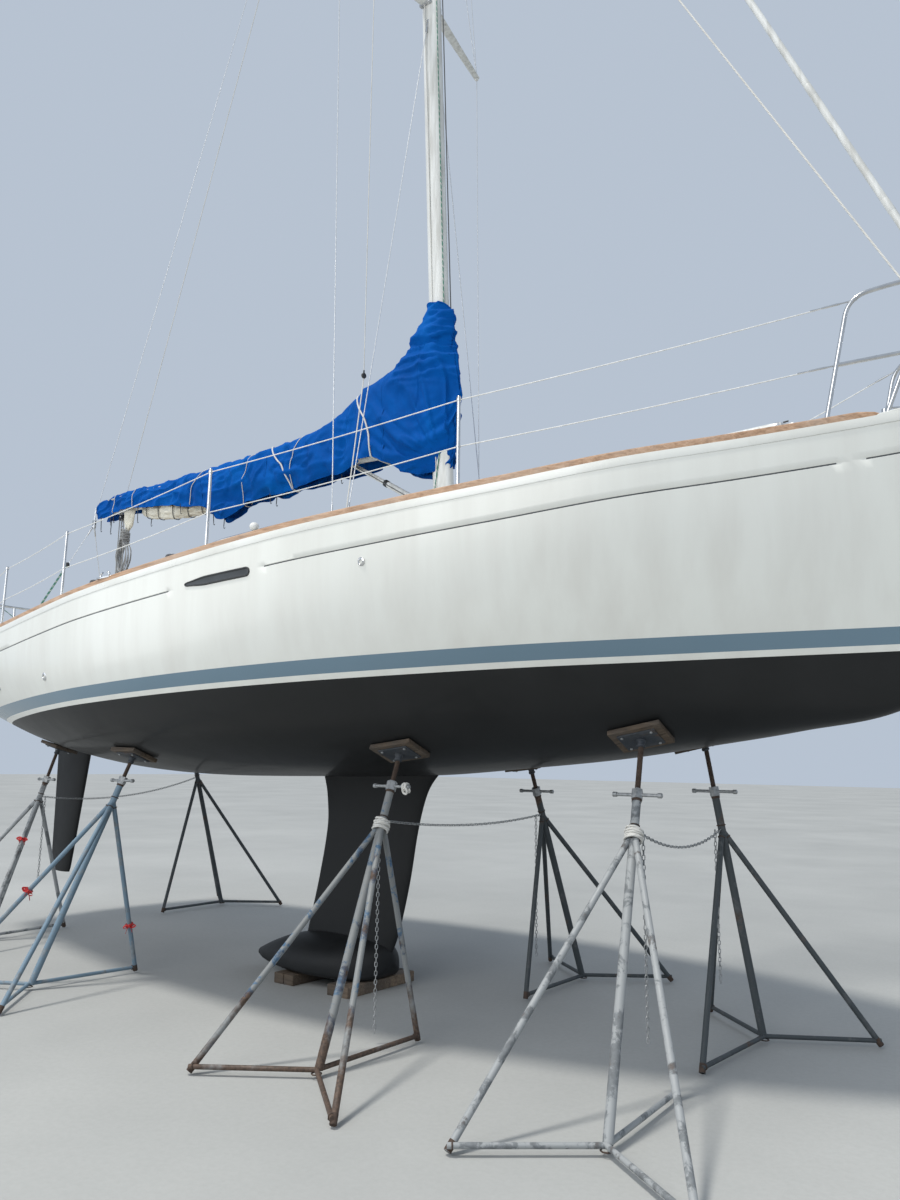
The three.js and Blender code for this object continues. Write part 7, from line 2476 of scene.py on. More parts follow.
def cover_point(row, t, side, tight=0.0):
    """A point of the cover, or of what it covers where tight takes off some width."""
    ux, uz, lx, lz, wide = row
    wave = 0.014 * math.sin(lx * 8.1 + (0.8 if side > 0 else 0)) * (1 - smooth((lx + 0.6) / 0.4))
    x, z = mix(ux, lx, t), mix(uz, lz + wave, t)
    waist = 0.026 * math.exp(-((z - WAIST_Z) / 0.025) ** 2)
    blouse = 0.018 * math.exp(-((z - WAIST_Z - 0.09) / 0.06) ** 2)
    wide = mix(wide, NECK_HALF, smooth((z - 4.85) / 0.55)) - waist + blouse
    nose = mix(0.20, 0.075, smooth((z - 4.90) / 0.45))
    if t == 0 and not (ux > 0.571 and uz > 5.39):
        return Vector((x, 0, z))
    d = distance_to(RIDGE_LINE, x, z)
    ahead = distance_to(FRONT_LINE, x, z)
    bulge = math.sqrt(max(0, 1 - (1 - min(d / wide, 1)) ** 2))
    bulge = min(bulge, min(ahead / nose, 1) ** 0.62)
    under_boom = 4.258 + 0.041 * (0.61 - x)
    open_under = mix(0.25, 0.62, smooth((x + 2.25) / 0.4))
    tuck = 1 - open_under * smooth((under_boom - z) / 0.12) * (1 - smooth((x + 0.05) / 0.35))
    tuck *= 1 - 0.38 * smooth((4.26 - z) / 0.20) * smooth((x - 0.10) / 0.30)
    tight *= mix(1, 0.25, smooth((z - 5.10) / 0.15))
    crumple = 0 if tight else folds(x, z, side) * smooth(min(d, ahead) / 0.05)
    if z > WAIST_Z + 0.04:
        crumple = max(crumple, -0.003)
    return Vector((x, side * max((wide - tight) * bulge * tuck + crumple, 0), z))


def even_rows(rows, gap):
    """Rows a steady way apart, measured at whichever end moves further."""
    lengths = [0]
    for a, b in zip(rows, rows[1:]):
        moves = math.hypot(b[0] - a[0], b[1] - a[1]), math.hypot(b[2] - a[2], b[3] - a[3])
        lengths.append(lengths[-1] + max(moves))
    out, k = [], 0
    for d in steps(0, lengths[-1], int(lengths[-1] / gap)):
        while k < len(rows) - 2 and lengths[k + 1] < d:
            k += 1
        t = min((d - lengths[k]) / max(lengths[k + 1] - lengths[k], 1e-9), 1)
        out.append(tuple(mix(p, q, t) for p, q in zip(rows[k], rows[k + 1])))
    return out


def row_parts(row):
    height = math.hypot(row[0] - row[2], row[1] - row[3])
    return next(parts for most, parts in COVER_PARTS if height < most)


def cover_side(shape, rows, side, tight=0.0):
    """One side of the cover, with more faces down its taller rows."""
    lines = [[cover_point(row, t, side, tight) for t in steps(0, 1, row_parts(row))] for row in rows]
    verts = [p for line in lines for p in line]
    faces, start = [], 0
    for a, b in zip(lines, lines[1:]):
        next_start = start + len(a)
        few = min(len(a), len(b)) - 1
        u, v = (len(a) - 1) // few, (len(b) - 1) // few
        for k in range(few):
            near = [start + k * u + j for j in range(u + 1)]
            far = [next_start + k * v + j for j in range(v + 1)]
            faces.append(near + far[::-1] if side > 0 else far + near[::-1])
        start = next_start
    shape.add(verts, faces)


def cover_mesh(name, rows, tight=0.0):
    shape = Shape()
    for side in (1, -1):
        cover_side(shape, rows, side, tight)
    piece = shape.build(name, None, paints("canvas"), slot="canvas", angle=80, outward=False)
    reface(piece.data, 0.0015)
    return piece


def cover_axis_z(x):
    return (column(COVER[:18], 1, x) + column(COVER[:18], 3, x)) / 2 - 0.02


def tie_x(tie, turn):
    """Where along the boat a tie lies at an angle round the cover, counted from its ridge."""
    ridge_x, low_x = tie[:2]
    return mix(ridge_x, low_x, min(abs(turn) / TIE_SLANT_TO, 1))


def turn_round_cover(x, y, z):
    """The angle from the cover's ridge at which a point of its side lies."""
    up = z - cover_axis_z(x)
    if up > 0:
        return math.atan2(abs(y), up)
    return math.pi / 2 + math.asin(min(-up / TIE_REACH, 1))


def cover_pins(piece):
    """How firmly each point of the cover is held while it settles."""
    bm = bmesh.new()
    bm.from_mesh(piece.data)
    held = {}
    for v in bm.verts:
        x, y, z = v.co
        if v.is_boundary:
            near = min(abs(x - strap[0]) for strap in COVER_STRAPS)
            if z > 5.3 or x > 0.80 or x < -4.2 or near < 0.02:
                held[v.index] = 1.0
        if abs(z - WAIST_Z) < 0.014:
            held[v.index] = 0.8
        if abs(y) < 0.004 and x < 0.56:
            held[v.index] = 1.0 if x < -0.1 else 0.5
        turn = turn_round_cover(x, y, z)
        if x < 0.15 and any(abs(x - tie_x(tie, turn)) < 0.016 for tie in COVER_TIES):
            held[v.index] = 1.0
    bm.free()
    return held


def settle(piece, pins, inside, grow, frames, most):
    """Lets cloth that is cut a little large hang on what it covers."""
    start = [v.co.copy() for v in piece.data.vertices]
    group = piece.vertex_groups.new(name="pins")
    for index, weight in pins.items():
        group.add([index], weight, "REPLACE")
    inside.modifiers.new("hard", "COLLISION")
    inside.collision.thickness_outer = 0.003
    inside.collision.cloth_friction = 10
    cloth = piece.modifiers.new("cloth", "CLOTH")
    cloth.settings.vertex_group_mass = "pins"
    cloth.settings.quality = 6
    cloth.settings.mass = 0.15
    cloth.settings.tension_stiffness = 20
    cloth.settings.compression_stiffness = 20
    cloth.settings.shear_stiffness = 6
    cloth.settings.bending_stiffness = 0.25
    cloth.settings.shrink_min = -grow
    cloth.collision_settings.distance_min = 0.004
    cloth.point_cache.frame_end = frames
    for frame in range(1, frames + 1):
        bpy.context.scene.frame_set(frame)
    apply(piece)
    bpy.context.scene.frame_set(1)
    piece.vertex_groups.clear()
    for v, was in zip(piece.data.vertices, start):
        move = v.co - was
        if move.length > most:
            v.co = was + move * (most / move.length)


def creases(x, z, side):
    """Sharper creases than the cloth's own faces can form, fanning out from the tack."""
    seed = 11.3 if side > 0 else 2.0
    away = math.hypot(x - 0.80, z - 4.08)
    angle = math.atan2(z - 4.08, x - 0.80)
    drift = 0.5 * noise.noise(Vector((x * 2.1, z * 2.1, seed)))
    fan = noise.noise(Vector((angle * 4.4 + drift, away * 1.3, seed)))
    fan = max(0, 1 - 3.2 * abs(fan)) ** 1.4 * smooth((away - 0.10) / 0.2)
    boot = smooth((x + 0.25) / 0.3) * (1 - smooth((z - 4.95) / 0.15))
    gather = noise.noise(Vector((x * 3.0 + drift, z * 13, seed + 5)))
    gather = max(0, 1 - 3.0 * abs(gather)) ** 1.3
    neck = smooth((z - 4.70) / 0.25) * smooth((x - 0.25) / 0.1)
    slant = noise.noise(Vector((x * 2.6 + z * 3.2, z * 9 - x * 2.2 + 2 * drift, seed + 9)))
    slant = max(0, 1 - 3.4 * abs(slant)) ** 1.4
    aft = 1 - smooth((x + 0.35) / 0.3)
    return 0.030 * fan * boot + 0.024 * gather * neck + 0.018 * slant * aft - 0.007


def press_creases(piece):
    moves = [v.normal * creases(v.co.x, v.co.z, v.co.y) for v in piece.data.vertices]
    for v, move in zip(piece.data.vertices, moves):
        if abs(v.co.z - WAIST_Z) > 0.02:
            v.co += move


def make_cover():
    rows = even_rows(spline_rows(COVER, 12), COVER_GAP)
    piece = cover_mesh("sail_cover_cloth", rows)
    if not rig.quick():
        inside = cover_mesh("covered", rows, 0.022)
        settle(piece, cover_pins(piece), inside, 0.045, 24, 0.045)
        bpy.data.objects.remove(inside)
    finer = piece.modifiers.new("finer", "SUBSURF")
    finer.levels = 1
    apply(piece)
    press_creases(piece)
    piece.data.shade_smooth()
    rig.replaces(piece, "sail_cover", "sail_cover_boot")
    return piece


def cover_hit(tree, origin, toward):
    """The point where a ray from outside meets the cover, with its outward normal."""
    run = (toward - origin).normalized()
    spot, normal, _, _ = tree.ray_cast(origin, run)
    if spot is None:
        return None
    return spot, -run if normal.dot(run) > 0 else normal


def round_cover(tree, tie, count, off):
    """A line over the cover from its low edge to port to its low edge to starboard."""
    path = []
    for turn in steps(-math.pi, math.pi, count):
        x, side = tie_x(tie, turn), -1 if turn > 0 else 1
        centre = Vector((x, 0, cover_axis_z(x)))
        out = centre + Vector((0, side * 0.9 * math.sin(abs(turn)), 0.9 * math.cos(turn)))
        if abs(turn) > math.pi / 2:
            centre.z += TIE_REACH * math.cos(turn)
            out = centre + Vector((0, side * 0.9, 0))
        hit = cover_hit(tree, out, centre)
        if hit and (hit[0] - out).length < 0.9:
            path.append(hit[0] + (out - centre).normalized() * off)
    return path


def blend_as_cover(piece):
    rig.blend(piece, "boat", "boom_body", start=(0.650, 0, 4.500), end=(0.300, 0, 4.500))


def edge_lines(piece):
    """The open edges of a sheet as lines of points, each with whether it closes on itself."""
    bm = bmesh.new()
    bm.from_mesh(piece.data)
    left = {e: True for e in bm.edges if e.is_boundary}
    lines = []
    while left:
        line = list(left.popitem()[0].verts)
        for _ in range(2):
            while onward := [e for e in line[-1].link_edges if e in left]:
                del left[onward[0]]
                line.append(onward[0].other_vert(line[-1]))
            line.reverse()
        closed = line[0] == line[-1]
        if len(line) > 12:
            lines.append(([v.co.copy() for v in line[closed:]], closed))
    bm.free()
    return lines


def cover_seams(tree):
    seams = Shape()
    for x in (-3.35, -2.28, -1.30, -0.22, 0.22):
        line = round_cover(tree, (x, x), 48, 0.0006)
        for a in (-0.011, 0.011):
            seams.tube([p + Vector((a, 0, 0)) for p in line], 0.0011, 5)
        ribbon(seams, line, 0.013, 1)
    ridge, front = [], []
    for x, z in spline_rows(RIDGE_LINE, 8):
        if z < 5.42:
            hit = cover_hit(tree, Vector((x - 0.15, 0.0005, z + 0.4)), Vector((x, 0.0005, z)))
            if hit:
                ridge.append(hit[0] + upward(0.001))
    seams.tube(ridge, 0.0035, 8, 1)
    for z in steps(5.36, 4.10, 60):
        hit = cover_hit(tree, Vector((1.4, 0.0005, z)), Vector((0.7, 0.0005, z)))
        if hit:
            front.append(hit[0] + Vector((0.001, 0, 0)))
    seams.tube(front, 0.004, 8, 1)
    blend_as_cover(seams.build("cover_seams", None, paints("canvas_dark", "canvas"), slot="canvas"))


def evened(line, times):
    """A line with its small jogs pulled straight."""
    for _ in range(times):
        inner = [(a + b * 2 + c) / 4 for a, b, c in zip(line, line[1:], line[2:])]
        line = [line[0], *inner, line[-1]]
    return line


def cover_ties(tree):
    ties = Shape()
    for tie in COVER_TIES:
        r, slot = tie[2:]
        line = evened(round_cover(tree, tie, 72, r * 0.8 + 0.003), 3)
        start, end = line[0], line[-1]
        low = Vector((tie[1], 0, min(start.z, end.z) - 0.012))
        under = [end + Vector((0, 0.02, -0.010)), low, start + Vector((0, -0.02, -0.010))]
        ties.tube(line + curve([end, *under, start], 6)[1:-1], r, 8, slot, closed=True)
    blend_as_cover(ties.build("cover_ties", None, paints("white_rope", "webbing"), slot="rope"))


def make_cover_work(cover):
    """Seams, hems, ties and hooks that lie on the cover."""
    tree = BVHTree.FromObject(cover, bpy.context.evaluated_depsgraph_get())
    cover_seams(tree)
    cover_ties(tree)
    edges = edge_lines(cover)
    hems, hooks = Shape(), Shape()
    for line, closed in edges:
        hems.tube(line, 0.0042, 8, closed=closed)
    blend_as_cover(hems.build("cover_hems", None, paints("canvas"), slot="canvas"))
    edge = [p for line, _ in edges for p in line if p.z < 4.5 and p.x > -4.24]
    for x, fall in COVER_STRAPS:
        for side in (1, -1):
            low = min((p for p in edge if p.y * side > 0), key=lambda p: abs(p.x - x))
            drop = low + Vector((0.004, -side * 0.006, -fall))
            hooks.tube([low + upward(0.03), low, low.lerp(drop, 0.5), drop], 0.0042, 6, flat=2.6)
            bend = [drop, drop + upward(-0.016), drop + Vector((0.012, 0, -0.028)),
                    drop + Vector((0.020, 0, -0.014))]
            hooks.tube(curve(bend, 5), 0.0026, 8, 1)
    blend_as_cover(hooks.build("cover_hooks", None, paints("webbing", "black"), slot="canvas"))


def ribbon(shape, line, half, slot=0):
    """A narrow flat strip along a line across the boat."""
    rows = [[p + Vector((-half, 0, 0)), p + Vector((half, 0, 0))] for p in line]
    verts = [q for row in rows for q in row]
    faces = [(2 * i, 2 * i + 1, 2 * i + 3, 2 * i + 2) for i in range(len(rows) - 1)]
    shape.add(verts, faces, slot)


# reach along the boom, top and low edge from the boom's axis, half width
SAIL_FOLD = [
    (2.84, -0.150, -0.276, 0.022),
    (2.95, -0.138, -0.278, 0.038),
    (3.05, -0.128, -0.279, 0.044),
    (3.35, -0.098, -0.275, 0.049),
    (3.70, -0.058, -0.240, 0.047),
    (3.90, -0.038, -0.207, 0.039),
    (3.98, -0.036, -0.178, 0.032),
    (4.03, -0.040, -0.150, 0.020),
]
SAIL_STRAPS = (2.93, 3.16, 3.42, 3.68, 3.90)


def sail_place(reach, a, grow=0.0):
    """A point round the hanging fold of sail, a being the angle from its top."""
    top, low, half = (column(SAIL_FOLD, k, reach) for k in (1, 2, 3))
    at = from_boom(reach, 0, 0)
    c, s = math.cos(a), math.sin(a)
    span = (top - low) / 2
    return at + Vector((0, (half + grow) * s - 0.012, (top + low) / 2 + (span + grow) * c))


def make_folded_sail():
    """The fold of sail that hangs under the cover's aft half."""
    sail = Shape()
    rings = []
    for reach in steps(SAIL_FOLD[0][0], SAIL_FOLD[-1][0], 110):
        waist = min(abs(reach - strap) for strap in SAIL_STRAPS)
        ring = []
        for a in around(48):
            c, s = math.cos(a), math.sin(a)
            crease = 0.0055 * abs(math.sin(3.5 * a + 2.2 * reach))
            crease += 0.0035 * math.sin(8 * a - 15 * reach)
            crease += 0.009 * noise.noise(Vector((reach * 8, c * 2.4, s * 2.4)))
            crease += 0.004 * math.sin(31 * reach + 4 * c) - 0.009 * math.exp(-(waist / 0.020) ** 2)
            ring.append(sail_place(reach, a, crease - 0.004))
        rings.append(ring)
    sail.loft(rings)
    corner = []
    for t in steps(0, 1, 28):
        half = mix(0.105, 0.062, t ** 1.5) * (1 - t ** 12)
        ring = []
        for a in around(40):
            crease = 0.005 * math.sin(5 * a + 7 * t) + 0.004 * math.sin(9 * a - 11 * t)
            ring.append((-3.645 + half * math.cos(a),
                         -0.034 + (0.022 * (1 - t ** 12) + crease) * math.sin(a),
                         mix(4.430, 4.172, t) + 0.008 * math.cos(a)))
        corner.append(ring)
    sail.loft(corner)
    piece = sail.build("folded_sail", "boom_body", paints("sail"), ["sail_bundle"], "sailcloth", 70)
    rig.padded(piece, fill=0.5)


def make_gaskets():
    """The straps that hold the folded sail up to the boom."""
    straps = Shape()
    for reach in SAIL_STRAPS:
        low, high = column(SAIL_FOLD, 2, reach) - 0.004, 0.088
        ring = []
        for a in around(48):
            c, s = math.cos(a), math.sin(a)
            across = math.copysign(abs(s) ** 0.55, s) * 0.057 - 0.006
            up = (high + low) / 2 + math.copysign(abs(c) ** 0.7, c) * (high - low) / 2
            ring.append(from_boom(reach, 0, 0) + Vector((0.006 * s, across, up)))
        straps.tube(ring, 0.0045, 6, closed=True)
    straps.build("sail_gaskets", "boom_body", paints("webbing"), slot="canvas")


def make_flaked_sail():
    """The sail that lies on the boom inside the cover."""
    filling = Shape()
    rings = []
    for t in steps(0, 1, 60):
        reach = mix(0.45, 4.66, t)
        top = column(COVER, 1, from_boom(reach, 0, 0).x) - 0.030
        base = from_boom(reach, 0, 0.07)
        high = max(top - base.z, 0.02)
        ring = []
        for a in around(28):
            crease = 0.004 * math.sin(7 * a + 13 * t)
            ring.append((base.x, (0.074 + crease) * math.cos(a),
                         base.z + high / 2 + (high / 2 + crease) * math.sin(a)))
        rings.append(ring)
    filling.loft(rings)
    body = filling.build("flaked_sail", None, paints("sail"), slot="sailcloth", angle=70)
    blend_as_cover(body)
    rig.padded(body, fill=0.5)


# Spinnaker pole

def make_pole():
    ends = [Vector((x, y, deck_z(x, y) + 0.076)) for x, y in ((3.700, -0.505), (0.330, -1.290))]
    on = lambda t: ends[0].lerp(ends[1], t)
    run = (ends[1] - ends[0]).normalized()
    pole = Shape()
    pole.tube([on(0.032), on(0.036), on(0.964), on(0.968)], [0.034, 0.0358, 0.0358, 0.034], 32)
    for t, way in ((0.035, -1), (0.965, 1)):
        base = on(t)
        pole.lathe([(0.0362, -0.03), (0.0372, -0.026), (0.0372, 0.0), (0.028, 0.02), (0.020, 0.045),
                    (0.020, 0.075)], base, run * way, 28, 1)
        tip = base + run * way * 0.085
        side = run.cross(upward(1)).normalized()
        hook = [base + run * way * 0.06 + side * 0.014, tip + side * 0.018 + run * way * 0.012,
                tip + run * way * 0.032, tip - side * 0.018 + run * way * 0.012,
                base + run * way * 0.06 - side * 0.014]
        pole.tube(curve(hook, 6), 0.0065, 10, 1)
        pole.tube([base + run * way * 0.02 + upward(0.03), base + run * way * 0.05 + upward(0.032)],
                  0.0045, 8, 2)
    for t in (0.2, 0.8):
        p = on(t)
        place = Matrix.Translation(p) @ Matrix.Rotation(math.atan2(run.y, run.x), 4, "Z")
        pole.box((-0.030, -0.040, -0.095), (0.030, 0.040, -0.018), 0.008, 2, place)
        pole.lathe([(0.0375, -0.026), (0.0405, -0.024), (0.0405, 0.024), (0.0375, 0.026)], p, run, 28, 2)
    pole.build("stowed_pole", "boat", paints("spar", "alloy", "black"), ["spinnaker_pole"], "spar")


# Stands and blocks

PAD = dict(long=0.330, wide=0.240, thick=0.034, plate=0.010)
# name, middle foot x, y, pad x, y, heading of the inboard foot, parts of the way up to the
# apex and the nut, paint
STANDS = [
    ("fore_starboard", 2.980, -1.560, 2.640, -0.430, 93, 0.740, 0.845, "pale_stand"),
    ("fore_port", 2.950, 0.560, 2.660, 0.430, -94, 0.710, 0.845, "dark_stand"),
    ("mid_starboard", 1.280, -1.690, 1.100, -0.850, 89, 0.775, 0.900, "worn_stand"),
    ("mid_port", 1.250, 1.280, 1.180, 0.600, -90, 0.800, 0.910, "dark_stand"),
    ("aft_starboard", -1.730, -1.740, -1.540, -1.120, 84, 0.815, 0.910, "blue_stand"),
    ("stern_starboard", -3.800, -1.090, -3.650, -0.600, 96, 0.755, 0.850, "pale_stand"),
    ("stern_port", -3.950, 1.778, -3.750, 1.000, -88, 0.770, 0.870, "dark_stand"),
]
STAND_FEET = ((0.850, 0), (0.720, 127), (0.720, -127))
LEG_R = 0.018
BAR_R = 0.014
LASHED = ("mid_starboard", "fore_starboard")
RIBBONED = {"aft_starboard": ((1, 0.50), (0, 0.72)), "stern_starboard": ((1, 0.45), (2, 0.30))}


def stand_points(row):
    x, y, pad_x, pad_y, turn = row[1:6]
    at = lambda dx, dy: hull_z(pad_x + dx, pad_y + dy)
    step = 0.02
    out = Vector(((at(step, 0) - at(-step, 0)) / (2 * step),
                  (at(0, step) - at(0, -step)) / (2 * step), -1)).normalized()
    pad = Vector((pad_x, pad_y, at(0, 0)))
    swivel = pad + out * (PAD["plate"] + PAD["thick"] + 0.034)
    foot = Vector((x, y, 0))
    feet = []
    for reach, angle in STAND_FEET:
        a = math.radians(turn + angle)
        feet.append(Vector((x + reach * math.cos(a), y + reach * math.sin(a), 0)))
    return out, pad, swivel, foot, feet


def screw_thread(shape, a, b, r, slot):
    """A rod with its thread wound round it."""
    run = (b - a).normalized()
    u, w = crosswise(run)
    shape.tube([a, b], r * 0.86, 20, slot)
    pitch, per = 0.0085, 14
    path = []
    for k in range(int((b - a).length / pitch) * per):
        turn = 2 * math.pi * k / per
        path.append(a + run * (pitch * k / per) + (u * math.cos(turn) + w * math.sin(turn)) * r * 0.86)
    shape.tube(path, 0.0026, 5, slot)


def stand_pad(stand, place, out, swivel, post):
    """Two boards under the hull, the plate that carries them and its knuckle."""
    half_l, half_w = PAD["long"] / 2, PAD["wide"] / 2
    for y0, y1 in ((-half_w, -0.002), (0.002, half_w)):
        stand.box((-half_l, y0, 0.003), (half_l, y1, PAD["thick"]), 0.004, 2, place)
    plate_l, plate_w = half_l * 0.72, half_w * 0.72
    top = PAD["thick"] + PAD["plate"]
    stand.box((-plate_l, -plate_w, PAD["thick"] - 0.001), (plate_l, plate_w, top), 0.003, 4, place)
    for u, v in ((1, 1), (1, -1), (-1, 1), (-1, -1)):
        spot = place @ Vector((u * plate_l * 0.78, v * plate_w * 0.78, top))
        stand.lathe([(0.009, -0.002), (0.009, 0.006), (0.006, 0.008)], spot, out, 6, 3)
    knuckle = place @ upward(top)
    profile = [(0.030, 0), (0.030, 0.006), (0.024, 0.012), (0.022, 0.030), (0.026, 0.036),
               (0.024, 0.046), (0.016, 0.050)]
    stand.lathe(profile, knuckle, (swivel - knuckle).normalized().lerp(-post, 0.5), 24, 4)


def stand_nut(stand, at, post):
    """The nut that carries the screw, with its T handle along the boat."""
    stand.tube([at - post * 0.030, at + post * 0.030], 0.034, 6, 3)
    stand.tube([at - post * 0.045, at - post * 0.030], 0.028, 24, 1)
    along = Vector((1, 0, 0))
    bar = [at + along * d for d in (-0.150, -0.146, 0.146, 0.150)]
    stand.tube(bar, [0.0085, 0.0100, 0.0100, 0.0085], 14, 3)
    for end in (-0.140, 0.140):
        stand.lathe([(0.006, -0.016), (0.0145, -0.011), (0.0145, 0.011), (0.006, 0.016)],
                    at + along * end, along, 14, 3)


def stand_legs(stand, apex, foot, feet):
    """Three legs from the apex, and the bars that tie their feet to the middle one."""
    inner = Vector((foot.x, foot.y, 0.046))
    for p in feet:
        leg = (p - apex).normalized()
        stop = p - leg * (LEG_R / -leg.z)
        cap_r = LEG_R + 0.0008
        stand.tube([apex + leg * 0.01, stop], LEG_R, 20)
        stand.tube([stop - leg * 0.05, stop - leg * 0.002, stop], [cap_r, cap_r, LEG_R - 0.001], 20, 1)
        weld(stand, apex + leg * 0.055, leg, LEG_R + 0.0015)
        low = Vector((p.x, p.y, 0.046))
        run = (low - inner).normalized()
        stand.tube([inner, low - run * 0.012], BAR_R, 16)
        weld(stand, low - run * 0.035, run, BAR_R + 0.0015)
    weld(stand, inner - upward(0.02), upward(1), 0.027)


def wound(at, run, r, high, turns, drift=0.0):
    """A line wound round a pipe's axis."""
    u, w = crosswise(run)
    line, per = [], 18
    for k in range(int(turns * per) + 1):
        a = 2 * math.pi * k / per
        t = k / (turns * per)
        lift = high * (abs(2 * t - 1) - 0.5) + drift * math.sin(a * 0.5)
        line.append(at + run * lift
                    + (u * math.cos(a) + w * math.sin(a)) * (r + 0.004 * math.sin(a / 3)))
    return line


def stand_lashing(name, apex, nut, post):
    """Old rope wound round the legs where they meet, and a knot of it on the handle."""
    lashing = Shape()
    lashing.tube(wound(apex - post * 0.035, post, 0.047, 0.050, 6, 0.006), 0.0062, 8)
    lashing.tube(wound(apex - post * 0.010, post, 0.042, 0.030, 4, 0.012), 0.0062, 8)
    if name == "mid_starboard":
        knot = nut + Vector((0.118, 0, 0))
        lashing.tube(wound(knot, Vector((1, 0, 0)), 0.018, 0.034, 5, 0.004), 0.0072, 8)
        askew = Vector((0.3, 0.8, 0.5)).normalized()
        lashing.tube(wound(knot + Vector((0.006, 0, -0.020)), askew, 0.020, 0.026, 3, 0.004),
                     0.0072, 8)
    lashing.build(f"lashing_{name}", "boat", paints("white_rope"), slot="rope")


def stand_ribbons(name, apex, feet):
    """Red marker ribbon tied round two legs in small bows."""
    ribbons = Shape()
    for leg, t in RIBBONED[name]:
        spot = apex.lerp(feet[leg], t)
        run = (feet[leg] - apex).normalized()
        ribbons.tube(wound(spot, run, 0.0235, 0.020, 3), 0.0050, 6, flat=2.0)
        away = Vector((0.788, 0.616, 0)) * 0.5 + Vector((0, -0.6, 0))
        away = (away - run * away.dot(run)).normalized()
        across = run.cross(away).normalized()
        knot = spot + away * 0.030
        for s in (-1, 1):
            loop = [knot, knot + across * s * 0.022 + run * 0.014,
                    knot + across * s * 0.046 + run * 0.004,
                    knot + across * s * 0.024 - run * 0.012, knot]
            ribbons.tube(curve(loop, 6), 0.0022, 6, flat=4.0)
            tail = [knot, knot + across * s * 0.016 - upward(0.022),
                    knot + across * s * 0.026 - upward(0.052)]
            ribbons.tube(curve(tail, 6), 0.0018, 6, flat=4.5)
        ribbons.tube(wound(knot, across, 0.006, 0.008, 3), 0.0035, 6)
    ribbons.build(f"ribbons_{name}", "boat", paints("red_tape"), slot="rope")


def make_stand(row):
    name, apex_part, nut_part, paint = row[0], *row[-3:]
    out, pad, swivel, foot, feet = stand_points(row)
    forward = (Vector((1, 0, 0)) - out * out.x).normalized()
    side = out.cross(forward)
    place = Matrix.Translation(pad) @ Matrix((forward, side, out)).transposed().to_4x4()
    post = (swivel - foot).normalized()
    apex, nut = foot.lerp(swivel, apex_part), foot.lerp(swivel, nut_part)
    stand = Shape()
    stand_pad(stand, place, out, swivel, post)
    screw_thread(stand, swivel, apex, 0.0165, slot=1)
    stand_nut(stand, nut, post)
    stand.tube([nut - post * 0.040, foot.lerp(apex, 0.03)], 0.0250, 24)
    weld(stand, apex + post * 0.03, post, 0.0265)
    stand_legs(stand, apex, foot, feet)
    stand.build(f"stand_{name}", "boat", paints(paint, "rust", "timber", "zinc", "plate_steel"),
                [f"jack_stand_{name}"], "galvanised")
    if name in LASHED:
        stand_lashing(name, apex, nut, post)
    if name in RIBBONED:
        stand_ribbons(name, apex, feet)
    return apex


def weld(shape, at, run, r):
    """A lumpy weld bead round a pipe's end."""
    u, w = crosswise(run)
    ring = [at + (u * math.cos(a) + w * math.sin(a)) * (r + 0.0012 * math.sin(7 * a))
            for a in around(28)]
    shape.tube(ring, 0.0038, 6, 1, closed=True)


LINK_PITCH = 0.026
LINK_R = 0.0028


def chain_links(shape, path):
    """A welded chain along a line."""
    pts = [Vector(p) for p in path]
    gaps = [(b - a).length for a, b in zip(pts, pts[1:])]
    total = sum(gaps)
    count = max(2, round(total / LINK_PITCH))
    k, gone = 0, 0.0
    for n in range(count):
        d = (n + 0.5) * total / count
        while k < len(gaps) - 1 and gone + gaps[k] < d:
            gone += gaps[k]
            k += 1
        run = (pts[k + 1] - pts[k]).normalized()
        spot = pts[k] + run * (d - gone)
        u, w = crosswise(run)
        across = u if n % 2 else w
        ring = []
        for a in around(12):
            stretch = math.copysign(LINK_PITCH * 0.26, math.cos(a))
            ring.append(spot + run * (stretch + 0.0075 * math.cos(a)) + across * 0.0078 * math.sin(a))
        shape.tube(ring, LINK_R, 5, closed=True)


def sag(a, b, drop):
    return [a.lerp(b, t) - upward(4 * drop * t * (1 - t)) for t in steps(0, 1, 40)]


# a chain's starboard and port stand, and its sag between them
CHAINS = (
    ("fore_starboard", "fore_port", 0.10),
    ("mid_starboard", "mid_port", 0.05),
    ("stern_starboard", "stern_port", 0.10),
)
# where the chain's end hangs from the stand's apex, and its length
CHAIN_TAILS = {
    "fore_starboard": (0.036, 0.036, 1.10),
    "mid_starboard": (-0.050, 0.030, 1.42),
    "stern_starboard": (0.036, 0.036, 0.80),
    "fore_port": (-0.030, -0.046, 0.95),
    "mid_port": (-0.030, -0.046, 1.05),
}


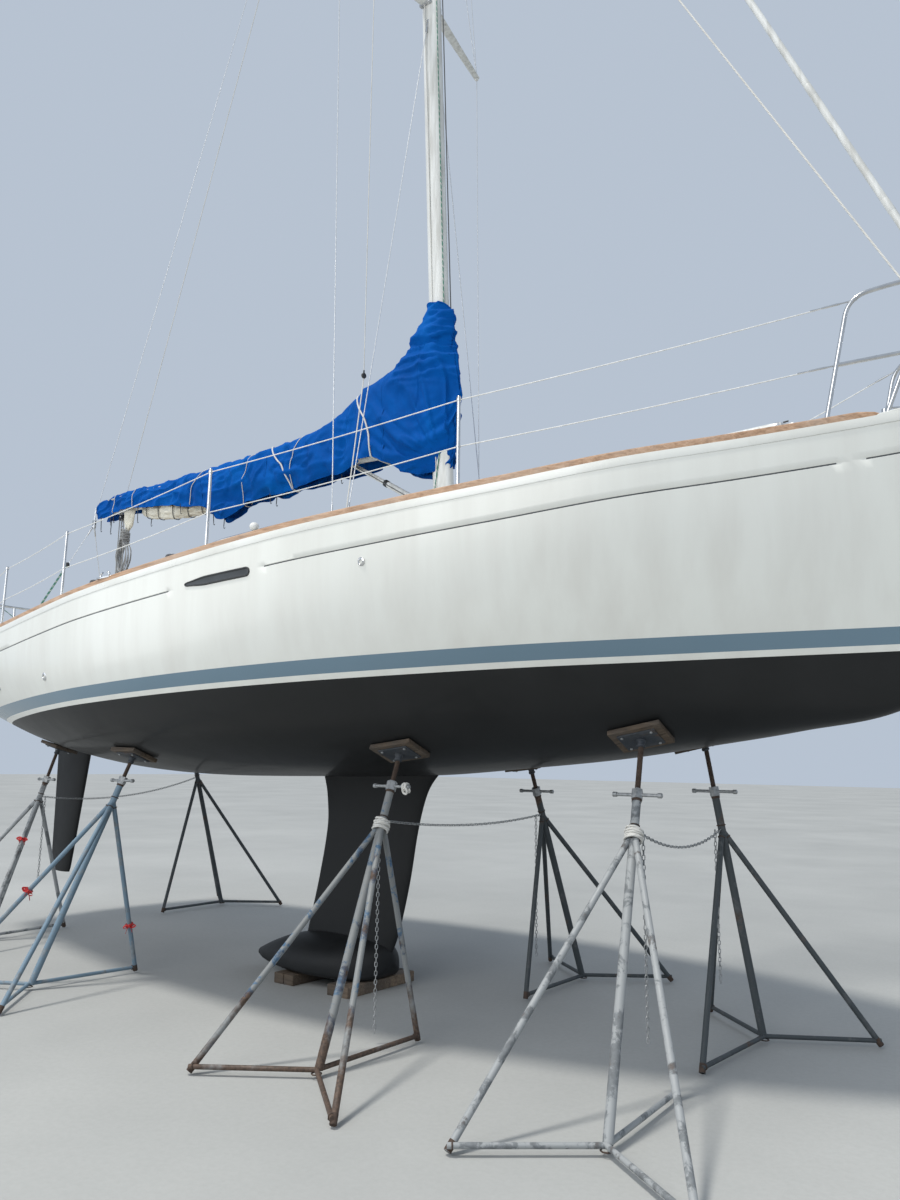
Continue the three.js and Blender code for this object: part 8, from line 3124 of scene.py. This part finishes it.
def make_chains(places):
    for one, other, drop in CHAINS:
        chain = Shape()
        a, b = places[one], places[other]
        inward = Vector((0, 0.030, 0))
        chain_links(chain, sag(a + inward, b - inward, drop))
        for name in (one, other):
            if name in CHAIN_TAILS:
                dx, dy, tail = CHAIN_TAILS[name]
                hang = places[name] + Vector((dx, dy, 0))
                chain_links(chain, [hang, hang - Vector((0, 0, min(tail, hang.z - 0.06)))])
        chain.build(f"chain_{one}", "boat", paints("zinc"), slot="galvanised")


def make_blocks():
    for name, x in (("fore", 0.130), ("aft", -0.455)):
        block_shape = Shape()
        for k, (x0, x1) in enumerate(((x - 0.105, x - 0.0015), (x + 0.0015, x + 0.105))):
            block_shape.box((x0, -0.380 + 0.004 * k, 0.0), (x1, 0.380 - 0.003 * k, 0.0795), 0.007,
                            k if name == "fore" else 0)
        block_shape.build(f"keel_timbers_{name}", "boat", paints("block", "pale_block"),
                          [f"keel_block_{name}"], "timber")


# Everything together

for make in (make_hull, make_portlights, make_through_hulls, make_deck, make_nonskid, make_cockpit,
             make_cockpit_teak, make_locker_lids, make_coachroof, make_fore_hatch, make_slide_hatch,
             make_windows, make_coamings, make_toe_rails, make_deck_fittings, make_hoops, make_rails,
             make_keel, make_rudder, make_steering, make_mast, make_spreaders, make_shrouds,
             make_forestay):
    make()
tail_piece, tail_path, tail_length = make_backstay()
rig.cord(tail_piece, exit=tail_path[0], length=tail_length, diameter=0.008, far_end="bare",
        stiffness="limp", lay="hanging", path=tail_path)
for make in (make_halyards, make_bow, make_boom, make_vang, make_mainsheet, make_sheet_track,
             make_sheet_coil):
    make()
cover_cloth = make_cover()
make_cover_work(cover_cloth)
blend_as_cover(cover_cloth)
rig.sheet(cover_cloth, flat=(2.9, 5.3), held="draped", rests_on=["flaked_sail", "boom_extrusion"],
         area=6.7)
for make in (make_folded_sail, make_gaskets, make_flaked_sail, make_pole):
    make()
apexes = {row[0]: make_stand(row) for row in STANDS}
make_chains(apexes)
make_blocks()

visual_box = [list(corner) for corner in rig.bounds()]
with open("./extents.json", "w") as out:
    json.dump({"cad": cad_box, "visual": visual_box}, out)
